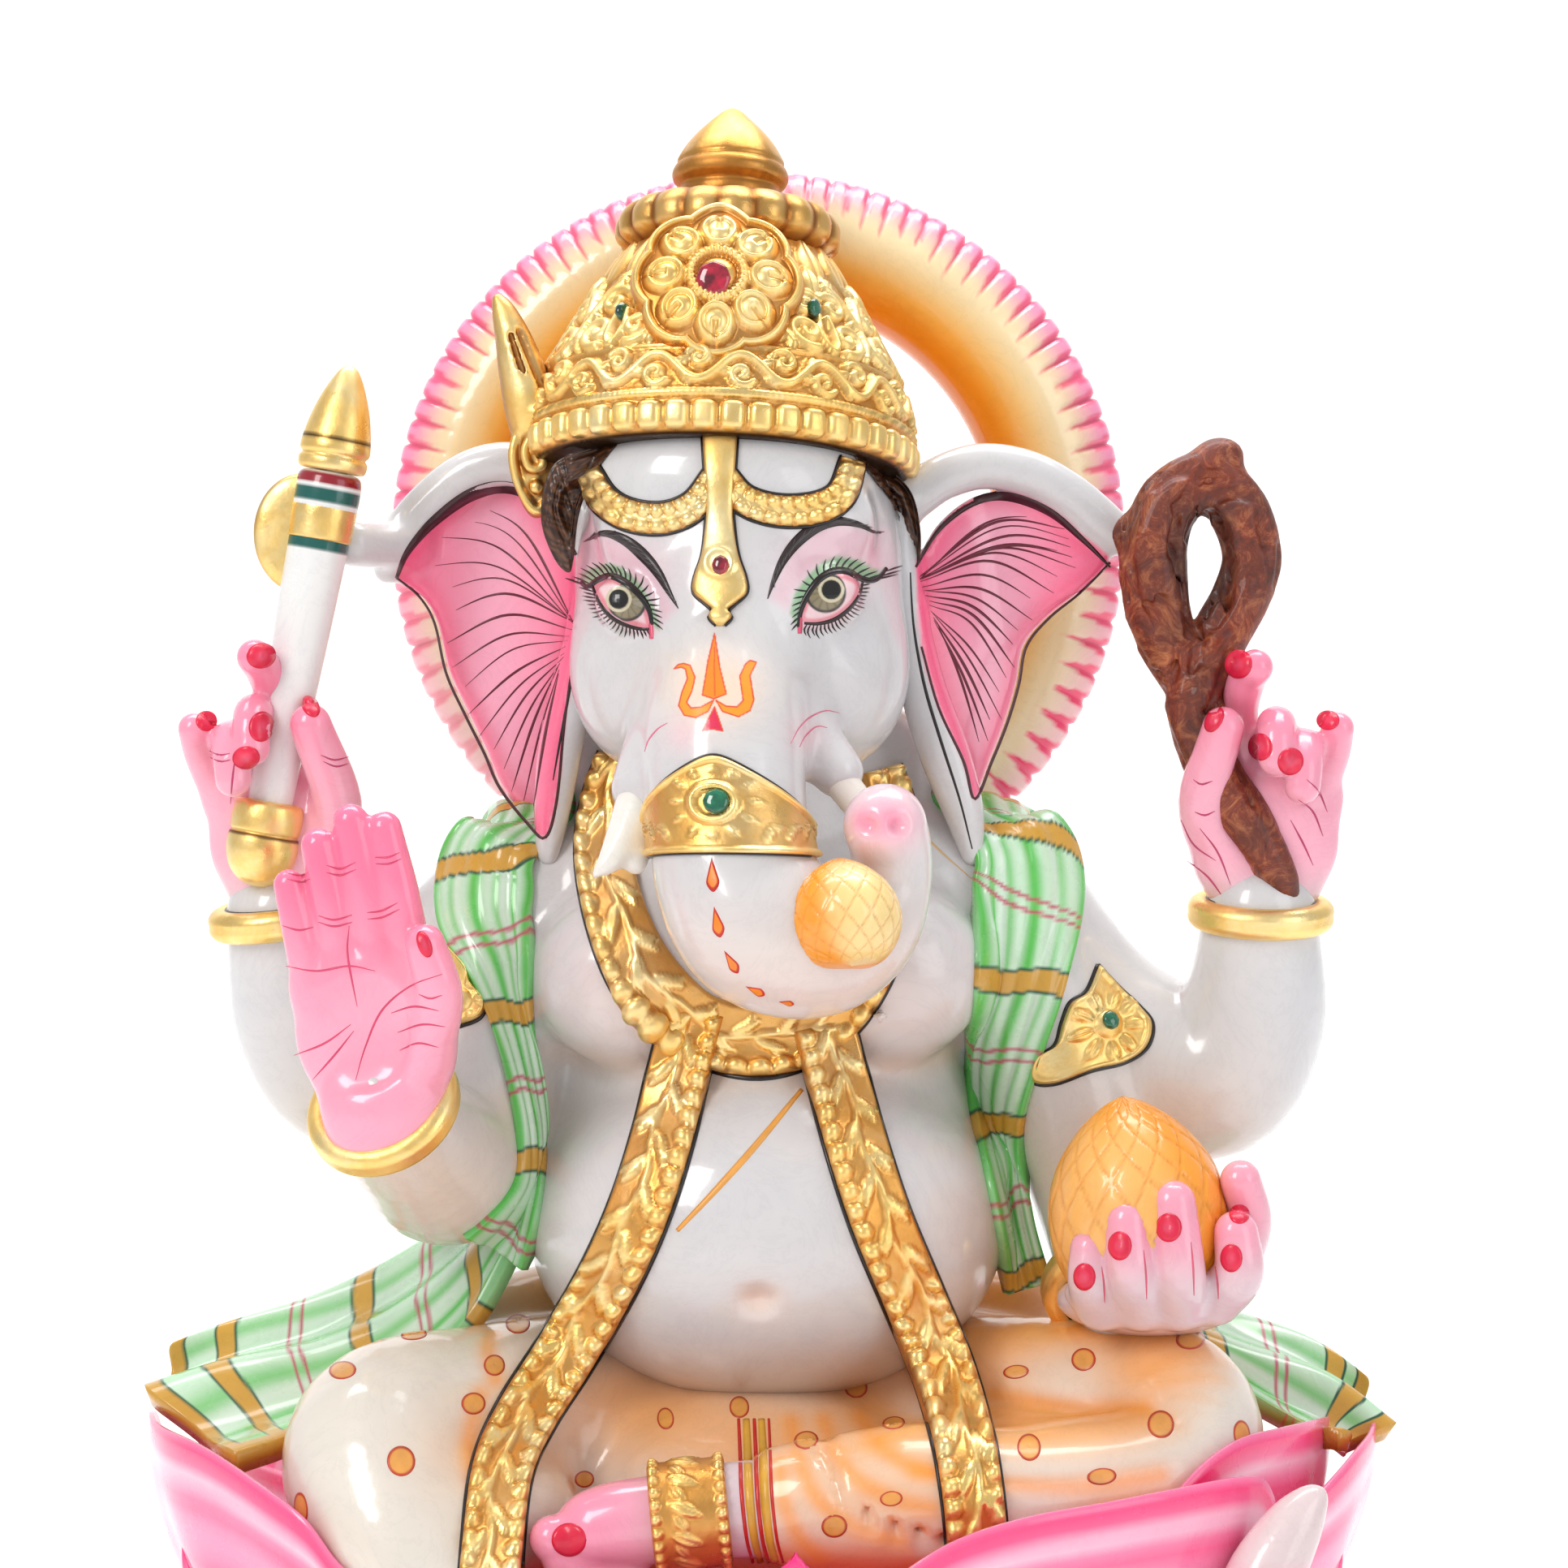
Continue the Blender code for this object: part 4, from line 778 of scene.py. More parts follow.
def make_ear(side):
    fan = np.array(EAR_FAN_RIGHT if side < 0 else EAR_FAN_LEFT, float)
    root = -47.0 if side < 0 else 39.0
    low = (-112, -26, 250) if side < 0 else (28, -26, 252)
    high = (-34, 26, 374) if side < 0 else (106, 26, 376)
    clay = Clay(low, high, 1.0)

    def middle(x, z):
        t = np.clip((x - root) / (45.0 * side), 0, 1)
        return 1 + 9 * t + 6.5 * np.sin(np.pi * t) + 1.2 * np.sin(t * 7 + z * 0.05)

    grown = spline(np.vstack([fan, fan[:1]]), 4)[:-1]
    clay.plate(grown, middle, 3.2, 4)
    if side < 0:
        clay.limb([(-47, 4, 352, 6), (-54, 5, 359, 6), (-66, 6, 364, 5.8), (-78, 7, 361.5, 5.8),
                   (-89, 8, 353, 5.6), (-96, 8, 344, 5.2), (-99, 8, 336, 3.4)], 4)
        clay.limb([(-46, -7, 322, 4.5), (-49.5, -7, 306, 5.6), (-53, -8, 288, 5.8), (-55, -8, 272, 4.6),
                   (-56, -8, 262, 3)], 3)
        clay.limb([(-94, 6, 343, 6), (-101, 0, 342.5, 6), (-107, -6, 343, 6)], 5)
        clay.limb([(-45, 3, 354, 5), (-44.5, -2, 338, 5), (-46, -6, 322, 4.6)], 3)
    else:
        clay.limb([(38, 4, 354, 6), (47, 5, 360.5, 6), (58, 6, 363.5, 6), (70, 7, 361.5, 6),
                   (81, 8, 355.5, 6), (91, 8, 347, 5.8), (96.5, 6, 343.5, 4)], 4)
        clay.limb([(36, 3, 356, 5), (35.5, -2, 340, 5), (38, -6, 324, 4.6)], 3)
        clay.limb([(38, -7, 326, 4.5), (41.5, -7, 306, 6), (47, -8, 289, 6.6), (52, -8, 274, 5.4),
                   (54.5, -8, 262, 3)], 3)
    points, quads = clay.surface()
    u, v = drawn_at(points)
    inner = polygon_distance(u, v, grown)
    across = np.clip((u - root) / (45.0 * side), 0, 1)
    rose = tint(linear(255, 122, 160), linear(255, 176, 200), bell(across - 0.5, 0.3))
    rose = tint(rose, linear(252, 70, 122), smoothstep(-8, 0, inner) * 0.6)
    inside = smoothstep(0.6, -0.6, inner) * smoothstep(16, 10, points[:, 1])
    return Piece(points, quads, tint(WHITE, rose, inside))


# Hands, legs and feet.

OPEN_PALM = [((0, 0, 21), (19.5, 8.5, 22)), ((-1, 0, 34), (18, 6.8, 10)), ((11, -3, 17), (9, 8, 14)),
             ((0, 2, 4), (13.5, 10, 14)), ((0, -3.5, 0), (14, 10, 13.5))]
OPEN_DIGITS = [
    [(12, 0, 34, 5.4), (11, -1, 54, 5.0), (9, 0, 71.5, 4.3)],
    [(3.4, 0, 36, 5.6), (2.4, -1, 58, 5.2), (0.8, 0, 74, 4.5)],
    [(-5.4, 0, 35, 5.4), (-6.4, -1, 54, 5.0), (-8, 0, 69, 4.3)],
    [(-13.5, 0, 32, 5.0), (-15, -1, 48, 4.4), (-16.5, 0, 60, 3.8)],
    [(12, -4, 14, 7.4), (18.5, -7, 29, 6.0), (17, -8.5, 43, 5.0)],
]
GRIP_PALM = [((-2, 0, 19), (17.5, 8.5, 19)), ((-5, 0, 31), (15, 6.5, 10)), ((0, 2, 4), (13.5, 10.5, 13)),
             ((10, -3, 16), (8, 7, 12))]
GOAD_DIGITS = [
    [(2, 2, 36, 5.4), (1, 0, 52, 5.2), (-2, -8, 63, 4.9), (-4, -15, 68, 4.6)],
    [(-4, 2, 36, 5.4), (-5, -9, 52, 5.2), (-5.5, -16, 51, 4.9), (-5.5, -18.5, 45, 4.8)],
    [(-11, 2, 34, 5.2), (-12, -8, 46, 5), (-11, -15.5, 43, 4.8), (-10.5, -17.5, 37, 4.7)],
    [(-16, 1, 30, 4.8), (-20, -4, 42, 4.4), (-21, -9, 49.5, 4.2)],
    [(11, -2, 13, 6.8), (15, -8, 29, 6.4), (9.5, -14, 50, 5.4)],
]
NOOSE_DIGITS = [
    [(5, 2, 36, 5.4), (8, 0, 51, 5.2), (7, -8, 61, 4.9), (5.5, -14, 65, 4.6)],
    [(-1, 2, 36, 5.4), (-1, -9, 49, 5.2), (-0.5, -16, 48, 4.9), (-0.5, -18.5, 42, 4.8)],
    [(-8, 2, 34, 5.2), (-8.5, -8, 44, 5), (-8, -15.5, 41, 4.8), (-7.5, -17.5, 35, 4.7)],
    [(-13, 1, 30, 4.8), (-16.5, -4, 42, 4.4), (-17, -9, 49.5, 4.2)],
    [(11, -2, 13, 6.8), (17, -8, 29, 6.4), (13, -13, 49, 5.4)],
]
CUP_PALM = [((0, 4, 0), (24, 19, 9)), ((-1, -12, 4), (22, 9, 8))]
CUP_DIGITS = [
    [(15, -14, 3, 6.8), (20, -19, 10, 6.4), (19.5, -19, 20, 5.6)],
    [(6, -16, 2, 6.8), (5, -24, 12, 6.4), (3.5, -22.5, 28, 5.7)],
    [(-4, -16, 2, 6.6), (-7, -24, 11, 6.2), (-8, -22.5, 23.5, 5.6)],
    [(-14, -13, 1, 6.2), (-17, -19, 8, 5.6), (-17, -18.5, 16, 5.0)],
    [(21, 0, 10, 6.4), (24, -6, 21, 5.8), (21.5, -10, 32, 5.2)],
]


class Hand:
    """A hand in its own frame: wrist at the origin, fingers along +Z, palm towards -Y, thumb at +X."""

    def __init__(self, at, turn, palm, digits, mirrored=False):
        self.place = np.array(Euler([math.radians(a) for a in turn]).to_matrix())
        self.at = np.array(at, float)
        self.flip = -1 if mirrored else 1
        self.turn = turn
        self.palm, self.digits = palm, digits

    def out(self, p):
        p = np.array(p, float)
        p[..., 0] *= self.flip
        return p @ self.place.T + self.at

    def back(self, p):
        q = (p - self.at) @ self.place
        q[..., 0] *= self.flip
        return q

    def clay(self, step=0.8):
        rows = np.vstack([np.array(d) for d in self.digits])
        palm = np.vstack([np.array(c) for c, _ in self.palm])
        spots = self.out(np.vstack([rows[:, :3], palm]))
        clay = Clay(spots.min(0) - 26, spots.max(0) + 26, step)
        for centre, radii in self.palm:
            clay.ball(self.out(centre), radii, 6, turn=self.turn)
        for digit in self.digits:
            placed = [(*self.out(row[:3]), row[3]) for row in digit]
            clay.limb(placed, 2.4)
        return clay


HANDS = {
    "blessing_hand": Hand((-94.5, -60, 200), (6, -6, -4), OPEN_PALM, OPEN_DIGITS),
    "goad_hand": Hand((-124, -6, 247), (4, -2, 0), GRIP_PALM, GOAD_DIGITS),
    "noose_hand": Hand((130, -4, 247), (4, 2, 0), GRIP_PALM, NOOSE_DIGITS, True),
    "sweet_hand": Hand((99, -38, 150), (0, 0, 0), CUP_PALM, CUP_DIGITS),
}


def make_hand(name):
    hand = HANDS[name]
    clay = hand.clay()
    if name == "blessing_hand":
        clay.ball(hand.out((-1, -9.5, 22)), (11, 3.2, 12), 5, carve=True)
    points, quads = clay.surface()
    y, z = hand.back(points).T[1:]
    paint = WHITE
    if name == "sweet_hand":
        tips = smoothstep(4, 22, z) * smoothstep(0, -16, y)
        paint = tint(paint, linear(255, 150, 178), 0.2 + 0.6 * tips)
    else:
        open_hand = name == "blessing_hand"
        palm = smoothstep(6, 0, y) * (smoothstep(-16, -4, z) if open_hand else smoothstep(-6, 16, z))
        strength = 1.0 if open_hand else 0.85
        paint = tint(paint, linear(255, 168, 192), strength * palm)
        paint = tint(paint, linear(252, 116, 156), (0.85 if open_hand else 0.55) * smoothstep(24, 66, z)
                     * smoothstep(7, 0, y))
        paint = tint(paint, linear(253, 190, 205), 0.35 * smoothstep(0, 6, y) * smoothstep(20, 50, z))
    paint = tint(paint, linear(250, 110, 150), 0.16 * smoothstep(0.2, 0.9, lumps(points, 11))
                 * smoothstep(8, 24, z))
    return Piece(points, quads, paint)


FOLDS = [[(7.4, 112.8), (9.6, 102.6), (14.9, 92), (25.5, 84.5), (36.1, 81.4)],
         [(15.9, 113.2), (19.1, 104.7), (25.5, 97.3), (36.1, 92), (44.6, 90.3)],
         [(25.5, 114.3), (29.8, 107.9), (36.1, 102.6), (43.6, 100.1)],
         [(4.3, 102.6), (5.3, 92), (9.6, 82.4), (14.9, 77.1)],
         [(-74, 120), (-77, 108), (-75, 96), (-68, 84)],
         [(-58, 146), (-66, 142), (-72, 134), (-70, 124)],
         [(70, 140), (84, 138), (98, 137), (112, 136)],
         [(40, 100), (60, 97), (84, 96), (104, 99)],
         [(60, 120), (80, 117), (100, 117)]]


def make_legs():
    clay = Clay((-134, -116, 66), (138, 80, 160), 1.7)
    clay.ball((0, 20, 103), (72, 52, 34), 4).ball((0, -20, 100), (52, 40, 28), 10)
    clay.ball((-70, -55, 99), (24, 28, 19), 6)
    clay.limb([(-36, 4, 110, 32), (-72, -26, 114, 28), (-94, -52, 115, 25.5), (-91, -69, 100, 22),
               (-78, -82, 85, 16), (-62, -92, 81, 12.5)], 8)
    clay.limb([(-30, 20, 134, 18), (-58, 17, 136, 15.5), (-80, 2, 128, 16)], 5)
    clay.limb([(42, 20, 134, 17), (68, 17, 136, 14)], 5)
    clay.ball((66, -48, 106), (40, 26, 17), 6)
    clay.limb([(34, 4, 108, 32), (72, -18, 118, 25), (102, -36, 120, 23), (100, -54, 108, 20),
               (66, -72, 105, 19), (38, -78, 107, 19), (16, -80, 106.5, 16.5), (8, -80, 106.5, 15)], 8)
    for k in range(5):
        top, out = 128 - 4 * k, 6 + 7 * k
        clay.limb([(out - 4, -66 - 2 * k, top + 2, 0.8), (out + 9, -88 - k, top - 8, 1.0),
                   (out + 14, -98, top - 22, 0.8)], 3, True)
    points, quads = clay.surface()
    x, y, z = points.T
    paint = linear(232, 224, 212)
    field = clay.sample(points + 3.5 * np.array([0, -1, 0.2]))
    hollow = smoothstep(2.2, -1.5, field)
    paint = tint(paint, linear(252, 162, 60), 0.85 * hollow * smoothstep(20, -30, y))
    for cx, cy, cz, wide, amount in ((-30, -40, 124, 24, 0.8), (0, -60, 118, 26, 0.75),
                                     (48, -34, 132, 22, 0.8), (96, -52, 134, 15, 0.75),
                                     (30, -88, 110, 22, 0.5), (-100, -60, 96, 16, 0.5),
                                     (88, -72, 104, 18, 0.7), (-66, -74, 118, 18, 0.35),
                                     (-54, 4, 148, 24, 0.8), (60, 6, 146, 26, 0.95)):
        gap = ((x - cx) / wide) ** 2 + ((y - cy) / (wide * 1.2)) ** 2 + ((z - cz) / (wide * 0.6)) ** 2
        paint = tint(paint, linear(252, 166, 62), amount * np.exp(-gap))
    facing = unit(clay.slope(points))[:, 2]
    paint = tint(paint, linear(252, 146, 44), 0.85 * smoothstep(-0.15, -0.8, facing) * smoothstep(20, -20, y))
    paint = tint(paint, linear(253, 170, 70), 0.75 * smoothstep(0.55, 0.95, facing) * smoothstep(6, 30, x)
                 * smoothstep(0, -20, y))
    u, v = drawn_at(points)
    for row in FOLDS:
        gap = polyline_distance(u, v, spline(row, 6))[0]
        paint = tint(paint, linear(253, 158, 48), 0.72 * bell(gap, 2.7) * (y < -30))
    return Piece(points, quads, paint)


def make_feet():
    left = Clay((-62, -100, 74), (12, -62, 124), 0.9)
    left.limb([(8, -80, 106, 12), (-12, -81, 105, 11.5), (-30, -82, 103, 10), (-40, -83, 101, 8.5)], 4)
    left.ball((-34, -82, 102), (16, 8, 9.5), 4)
    for toe, (low, reach, size) in enumerate([(99, -51, 5.8), (93.5, -49, 4.6), (90, -46, 4.2),
                                              (87.5, -42, 3.8), (86, -37, 3.6)]):
        left.limb([(-34 + toe, -82, low - 0.5, size + 0.5), (reach, -84.5, low, size)], 1.6)
    right = Clay((-76, -120, 64), (-12, -80, 98), 0.9)
    right.limb([(-62, -92, 81, 11.5), (-50, -97, 81, 10.5), (-34, -101, 79, 8.5)], 4)
    for toe in range(5):
        out = -93.5 - 3.6 * toe
        right.limb([(-34, out + 1, 79, 3.9), (-23 - abs(toe - 3), out, 77.5, 3.4 + 0.25 * toe)], 1.4)
    out = []
    for clay, reach in ((left, (-8, -42)), (right, (-50, -26))):
        points, quads = clay.surface()
        amount = smoothstep(*reach, points[:, 0])
        out.append(Piece(points, quads, tint(WHITE, linear(252, 150, 180), 0.2 + 0.75 * amount)))
    return out


body = make_body()
head = make_head()
right_tusk, left_tusk = make_tusks()
right_ear, left_ear = make_ear(-1), make_ear(1)
hands = {name: make_hand(name) for name in HANDS}
legs = make_legs()
left_foot, right_foot = make_feet()

body.make("carved_body", MARBLE, "marble", "torso", "rear_right_arm", "rear_left_arm", "front_right_arm",
          "front_left_arm")
head.make("carved_head", MARBLE, "marble", "head", "trunk")
right_tusk.make("pointed_tusk", MARBLE, "marble", "right_tusk")
left_tusk.make("cut_tusk", MARBLE, "marble", "left_tusk")
right_ear.make("fan_ear_right", MARBLE, "pink", "right_ear")
left_ear.make("fan_ear_left", MARBLE, "pink", "left_ear")
for name, piece in hands.items():
    piece.make("painted_" + name, MARBLE, "marble", name)
legs.make("draped_dhoti", MARBLE, "dhoti", "dhoti_hips", "right_leg", "left_leg")
left_foot.make("painted_left_foot", MARBLE, "pink", "left_foot")
right_foot.make("painted_right_foot", MARBLE, "pink", "right_foot")

# Surfaces laid over the finished figure.


def merged(*pieces):
    whole = Piece()
    for piece in pieces:
        whole.join(piece)
    return whole.tree()


def sight(u, v, k):
    """The point a share k of the way from the eye to the drawing plane's (u, v), past 1 behind the plane."""
    u, v, k = np.broadcast_arrays(u, v, k)
    return EYE + k[..., None] * (np.stack([u, np.zeros_like(u), v], -1) - EYE)


def cast(tree, u, v):
    """How far along each sight line the figure lies (as for sight), and its normal there."""
    u, v = np.broadcast_arrays(np.asarray(u, float), np.asarray(v, float))
    far = np.full(u.size, np.nan)
    normal = np.tile([0.0, -1.0, 0.0], (u.size, 1))
    eye = Vector(EYE)
    for i, (a, b) in enumerate(zip(u.ravel(), v.ravel())):
        hit, n, _, _ = tree.ray_cast(eye, Vector((a - EYE[0], -EYE[1], b - EYE[2])))
        if hit is not None:
            far[i] = (hit.y - EYE[1]) / -EYE[1]
            normal[i] = n if n.y < 0 else -n
    return far.reshape(u.shape), normal.reshape(u.shape + (3,))


def filled(far):
    """Missed sight lines take the nearest hit in their row, then in their column."""
    far = far.copy()
    for grid in (far, far.T):
        for row in grid:
            good = ~np.isnan(row)
            if good.any() and not good.all():
                at = np.arange(len(row))
                row[~good] = np.interp(at[~good], at[good], row[good])
    return np.nan_to_num(far, nan=1.0)


def blurred(grid, rounds, axis=0):
    for _ in range(rounds):
        pad = np.concatenate([np.take(grid, [0], axis), grid, np.take(grid, [-1], axis)], axis)
        n = grid.shape[axis]
        grid = 0.25 * np.take(pad, range(n), axis) + 0.5 * grid + 0.25 * np.take(pad, range(2, n + 2), axis)
    return grid


def grid_normals(p):
    n = np.cross(np.gradient(p, axis=1), np.gradient(p, axis=0))
    return unit(n)


class Strip:
    """A band along a path in the drawing plane, laid over the figure.

    s is in millimetres along it, and t is across, from -1 to 1: its first and its last column.
    """

    def __init__(self, tree, path, widths, step=0.7, across=0.7, taut=400, ease=3):
        self.step = step * 1
        across = across * 1
        rows = np.column_stack([np.asarray(path, float), np.zeros(len(path)),
                                np.broadcast_to(widths, len(path))])
        line = spline(rows, 10)
        self.length = length_of(line[:, :2])
        line = even(line, max(8, int(self.length / self.step)))
        run = unit(np.gradient(line[:, :2], axis=0))
        self.width = line[:, 3]
        cols = max(5, int(2 * self.width.max() / across) | 1)
        self.t = np.linspace(-1, 1, cols)[None, :] * np.ones((len(line), 1))
        self.s = np.linspace(0, self.length, len(line))[:, None] * np.ones((1, cols))
        self.w = self.width[:, None] * np.ones((1, cols))
        self.u = line[:, 0:1] + run[:, 1:2] * self.t * self.w
        self.v = line[:, 1:2] - run[:, 0:1] * self.t * self.w
        hit = filled(cast(tree, self.u, self.v)[0])
        far = hit.copy()
        for _ in range(taut):
            far = np.minimum(hit, blurred(far, 1))
        far = blurred(blurred(far, ease), ease, 1)
        self.base = sight(self.u, self.v, far)
        self.normal = blurred(blurred(grid_normals(self.base), 4), 2, 1)

    def piece(self, height, deep, paint):
        edge = smoothstep(0, 1.2, np.minimum(self.s, self.length - self.s))
        top = self.base + self.normal * (height * (0.4 + 0.6 * edge))[..., None]
        return slab(top, self.base - self.normal * deep, paint)


def ridge(height, offset, half, high):
    """Raises a round-topped ridge on a relief where the offset is 0; half is half its width."""
    return np.maximum(height, high * np.sqrt(np.clip(1 - (offset / half) ** 2, 0, 1)))


def gilt_tone_and_shade(height, low, high, dark=(0.74, 0.52, 0.36)):
    """Gold's tint: painted shade in the hollows of a relief, unshaded on its heights; given random values it
    gives an uneven tone instead.
    """
    share = smoothstep(low, high, height)[..., None]
    return np.array(dark) * (1 - share) + share


def leaf(height, s, t, s0, t0, angle, long, wide, high):
    """Raises a pointed leaf with a midrib on a relief."""
    c, d = math.cos(angle), math.sin(angle)
    a = ((s - s0) * c + (t - t0) * d) / long
    b = -(s - s0) * d + (t - t0) * c
    inside = (a > 0) & (a < 1)
    half = wide * np.sin(np.pi * np.clip(a, 0.001, 0.999) ** 0.75)
    across = np.abs(b) / np.maximum(half, 1e-3)
    body = high * np.sqrt(np.clip(1 - across**2, 0, 1)) * (1 - 0.35 * bell(across, 0.22))
    return np.maximum(height, np.where(inside, body * (0.55 + 0.45 * np.sin(np.pi * np.clip(a, 0, 1))), 0))


def beads(height, s, t, t0, pitch, radius, high):
    off = (s / pitch - np.floor(s / pitch) - 0.5) * pitch
    return np.maximum(height, high * np.sqrt(np.clip(1 - (off**2 + (t - t0) ** 2) / radius**2, 0, 1)))


def tube_line(height, s, t, line, radius, high):
    """Raises a round cord along a polyline on a relief."""
    line = np.asarray(line)
    low, top = line.min(0) - radius, line.max(0) + radius
    near = (s > low[0]) & (s < top[0]) & (t > low[1]) & (t < top[1])
    if near.any():
        d, _ = polyline_distance(s[near], t[near], line)
        out = height.copy()
        out[near] = np.maximum(out[near], high * np.sqrt(np.clip(1 - (d / radius) ** 2, 0, 1)))
        return out
    return height


def spiral(cx, cy, big, small, turns, start, hand=1, count=26):
    k = np.linspace(0, 1, count)
    r = big + (small - big) * k
    a = start + hand * 2 * np.pi * turns * k
    return np.column_stack([cx + r * np.cos(a), cy + r * np.sin(a)])


def garland_relief(strip, bead_side, both_from=1e9):
    """Leaf sprays along a band, with a string of beads on one edge, and on both past a distance."""
    s, x = strip.s, strip.t * strip.w
    h = 0.5 + 0 * s
    middle = -bead_side * strip.w * 0.16
    h = tube_line(h, s, x - middle,
                  np.column_stack([np.arange(0, strip.length, 1.5),
                                   0.9 * np.sin(np.arange(0, strip.length, 1.5) / 4.2)]), 0.9, 1.5)
    pitch = 13.5
    for k in range(int(strip.length / pitch) + 1):
        at = k * pitch
        h = leaf(h, s, x - middle, at, 0.6, 0.42, 10.5, 1.7, 2.3)
        h = leaf(h, s, x - middle, at + 6.7, -0.6, -0.42, 10.5, 1.7, 2.3)
        h = leaf(h, s, x - middle, at + 3.4, 2.6, 0.8, 5.4, 1.1, 1.9)
        h = leaf(h, s, x - middle, at + 10.2, -2.6, -0.8, 5.4, 1.1, 1.9)
    h = beads(h, s, x, bead_side * (strip.w - 2.1), 5.2, 2.5, 2.8)
    other = beads(h, s + 2, x, -bead_side * (strip.w - 1.9), 5.2, 2.2, 2.4)
    h = np.where(s > both_from, other, h)
    rim = np.clip(1 - (strip.w - np.abs(x)) / 0.9, 0, 1)
    return h * (1 - 0.8 * rim**2)


brush = Piece()  # every enamel line and spot, joined to it as it is painted


def ribbon(tree, path, wide, colour, high=0.16, taper=0.75, step=0.8, smooth=True):
    """A painted line along a path in the drawing plane; wide is its greatest half width."""
    line = np.asarray(path, float)
    line = spline(line, 6) if smooth and len(line) > 2 else line
    line = np.column_stack([line, np.zeros(len(line))])
    size = length_of(line[:, :2])
    line = even(line, max(4, int(size / step)))
    run = unit(np.gradient(line[:, :2], axis=0))
    k = np.linspace(0, 1, len(line))
    half = wide * (1 - taper * np.abs(2 * k - 1) ** 1.6)
    t = np.array([-1.0, 0.0, 1.0])[None, :]
    u = line[:, 0:1] + run[:, 1:2] * t * half[:, None]
    v = line[:, 1:2] - run[:, 0:1] * t * half[:, None]
    hit, normal = cast(tree, u, v)
    if np.isnan(hit).all():
        return
    base = sight(u, v, filled(hit))
    normal = unit(blurred(normal, 2))
    lift = high * np.array([0.35, 1.0, 0.35])[None, :, None]
    brush.join(slab(base + normal * lift, base - normal * 0.25, colour))


def plaque(tree, outline, height, paint, rings=4, deep=0.3, into=None, rim=0.3, ease=1, steps=4):
    """A closed raised patch over an outline in the drawing plane that is star shaped about its middle.
    height and paint are numbers or functions of (share out from the middle, u, v)."""
    ring = np.asarray(outline, float)
    ring = spline(np.vstack([ring, ring[:1]]), steps)[:-1]
    area = ring[:, 0] @ np.roll(ring[:, 1], -1) - ring[:, 1] @ np.roll(ring[:, 0], -1)
    if area < 0:
        ring = ring[::-1]
    middle = ring.mean(0)
    share = np.linspace(0.02, 1, rings + 1)[:, None]
    u = middle[0] + share * (ring[None, :, 0] - middle[0])
    v = middle[1] + share * (ring[None, :, 1] - middle[1])
    hit, normal = cast(tree, u, v)
    if np.isnan(hit).all():
        return None
    base = sight(u, v, blurred(filled(hit), ease))
    normal = unit(blurred(normal, 2))
    h = height(share + 0 * u, u, v) if callable(height) else height * (1 - (1 - rim) * share**4) + 0 * u
    colour = paint(share + 0 * u, u, v) if callable(paint) else np.broadcast_to(paint, base.shape)
    grid = np.concatenate([base + normal * h[..., None], (base - normal * deep)[::-1]])
    colour = np.concatenate([colour, colour[::-1]])
    piece = tube_piece(grid, colour)
    if into is not None:
        into.join(piece)
    return piece


def rimmed(middle, rim, inner, outer):
    """A plaque's paint: one colour in the middle, and another from the given shares of the way out."""
    return lambda share, u, v: tint(middle, rim, smoothstep(inner, outer, share))


def disc(u, v, wide, high, turn=0.0, count=14):
    """The outline of a turned ellipse."""
    a = np.linspace(0, 2 * np.pi, count, endpoint=False)
    x, z = wide * np.cos(a), high * np.sin(a)
    c, s = math.cos(turn), math.sin(turn)
    return np.column_stack([u + x * c - z * s, v + x * s + z * c])


def turn_frame(axis):
    """Two directions across an axis, and the axis."""
    axis = np.asarray(axis, float) / np.linalg.norm(axis)
    side = np.cross(axis, (0, 1, 0) if abs(axis[1]) < 0.9 else (1, 0, 0))
    side /= np.linalg.norm(side)
    return side, np.cross(axis, side), axis


def lathe(profile, foot, axis, around=48, shape=None, paint=(1, 1, 1), steps=6):
    """A turned piece: (radius, height) rows about an axis. shape(angle, s, r) may change the radius."""
    rows = np.asarray(profile, float)
    rows = even(spline(np.column_stack([rows, np.zeros(len(rows))]), steps), len(rows) * steps)
    side, other, up = turn_frame(axis)
    a = np.linspace(0, 2 * np.pi, around, endpoint=False)[None, :]
    r = rows[:, 0:1] + 0 * a
    s = np.linspace(0, 1, len(rows))[:, None] + 0 * a
    if shape:
        r = shape(a + 0 * r, s, r)
    grid = (np.array(foot) + rows[:, 1][:, None, None] * up
            + r[..., None] * (np.cos(a)[..., None] * side + np.sin(a)[..., None] * other))
    colour = paint(a + 0 * r, s, r, grid) if callable(paint) else paint
    return tube_piece(grid, colour)


def hoop(centre, axis, ra, rb, half, wide=1.0, groove=0.0, around=96, inside=20, paint=None):
    """A closed ring about an axis; half is half its thickness, and wide stretches it along the axis."""
    side, other, up = turn_frame(axis)
    a = np.linspace(0, 2 * np.pi, around, endpoint=False)[:, None]
    b = np.linspace(0, 2 * np.pi, inside, endpoint=False)[None, :]
    r = half * (1 - groove * bell(np.sin(b), 0.25) * (np.cos(b) > 0)) + 0 * a
    out = np.cos(a)[..., None] * side + np.sin(a)[..., None] * other
    centre_line = np.cos(a)[..., None] * side * ra + np.sin(a)[..., None] * other * rb
    section = out * (r * np.cos(b))[..., None] + up * (r * np.sin(b) * wide)[..., None]
    grid = np.array(centre) + centre_line + section
    colour = (1, 1, 1) if paint is None else paint(a + 0 * b, b + 0 * a)
    return tube_piece(grid, colour, "loop")


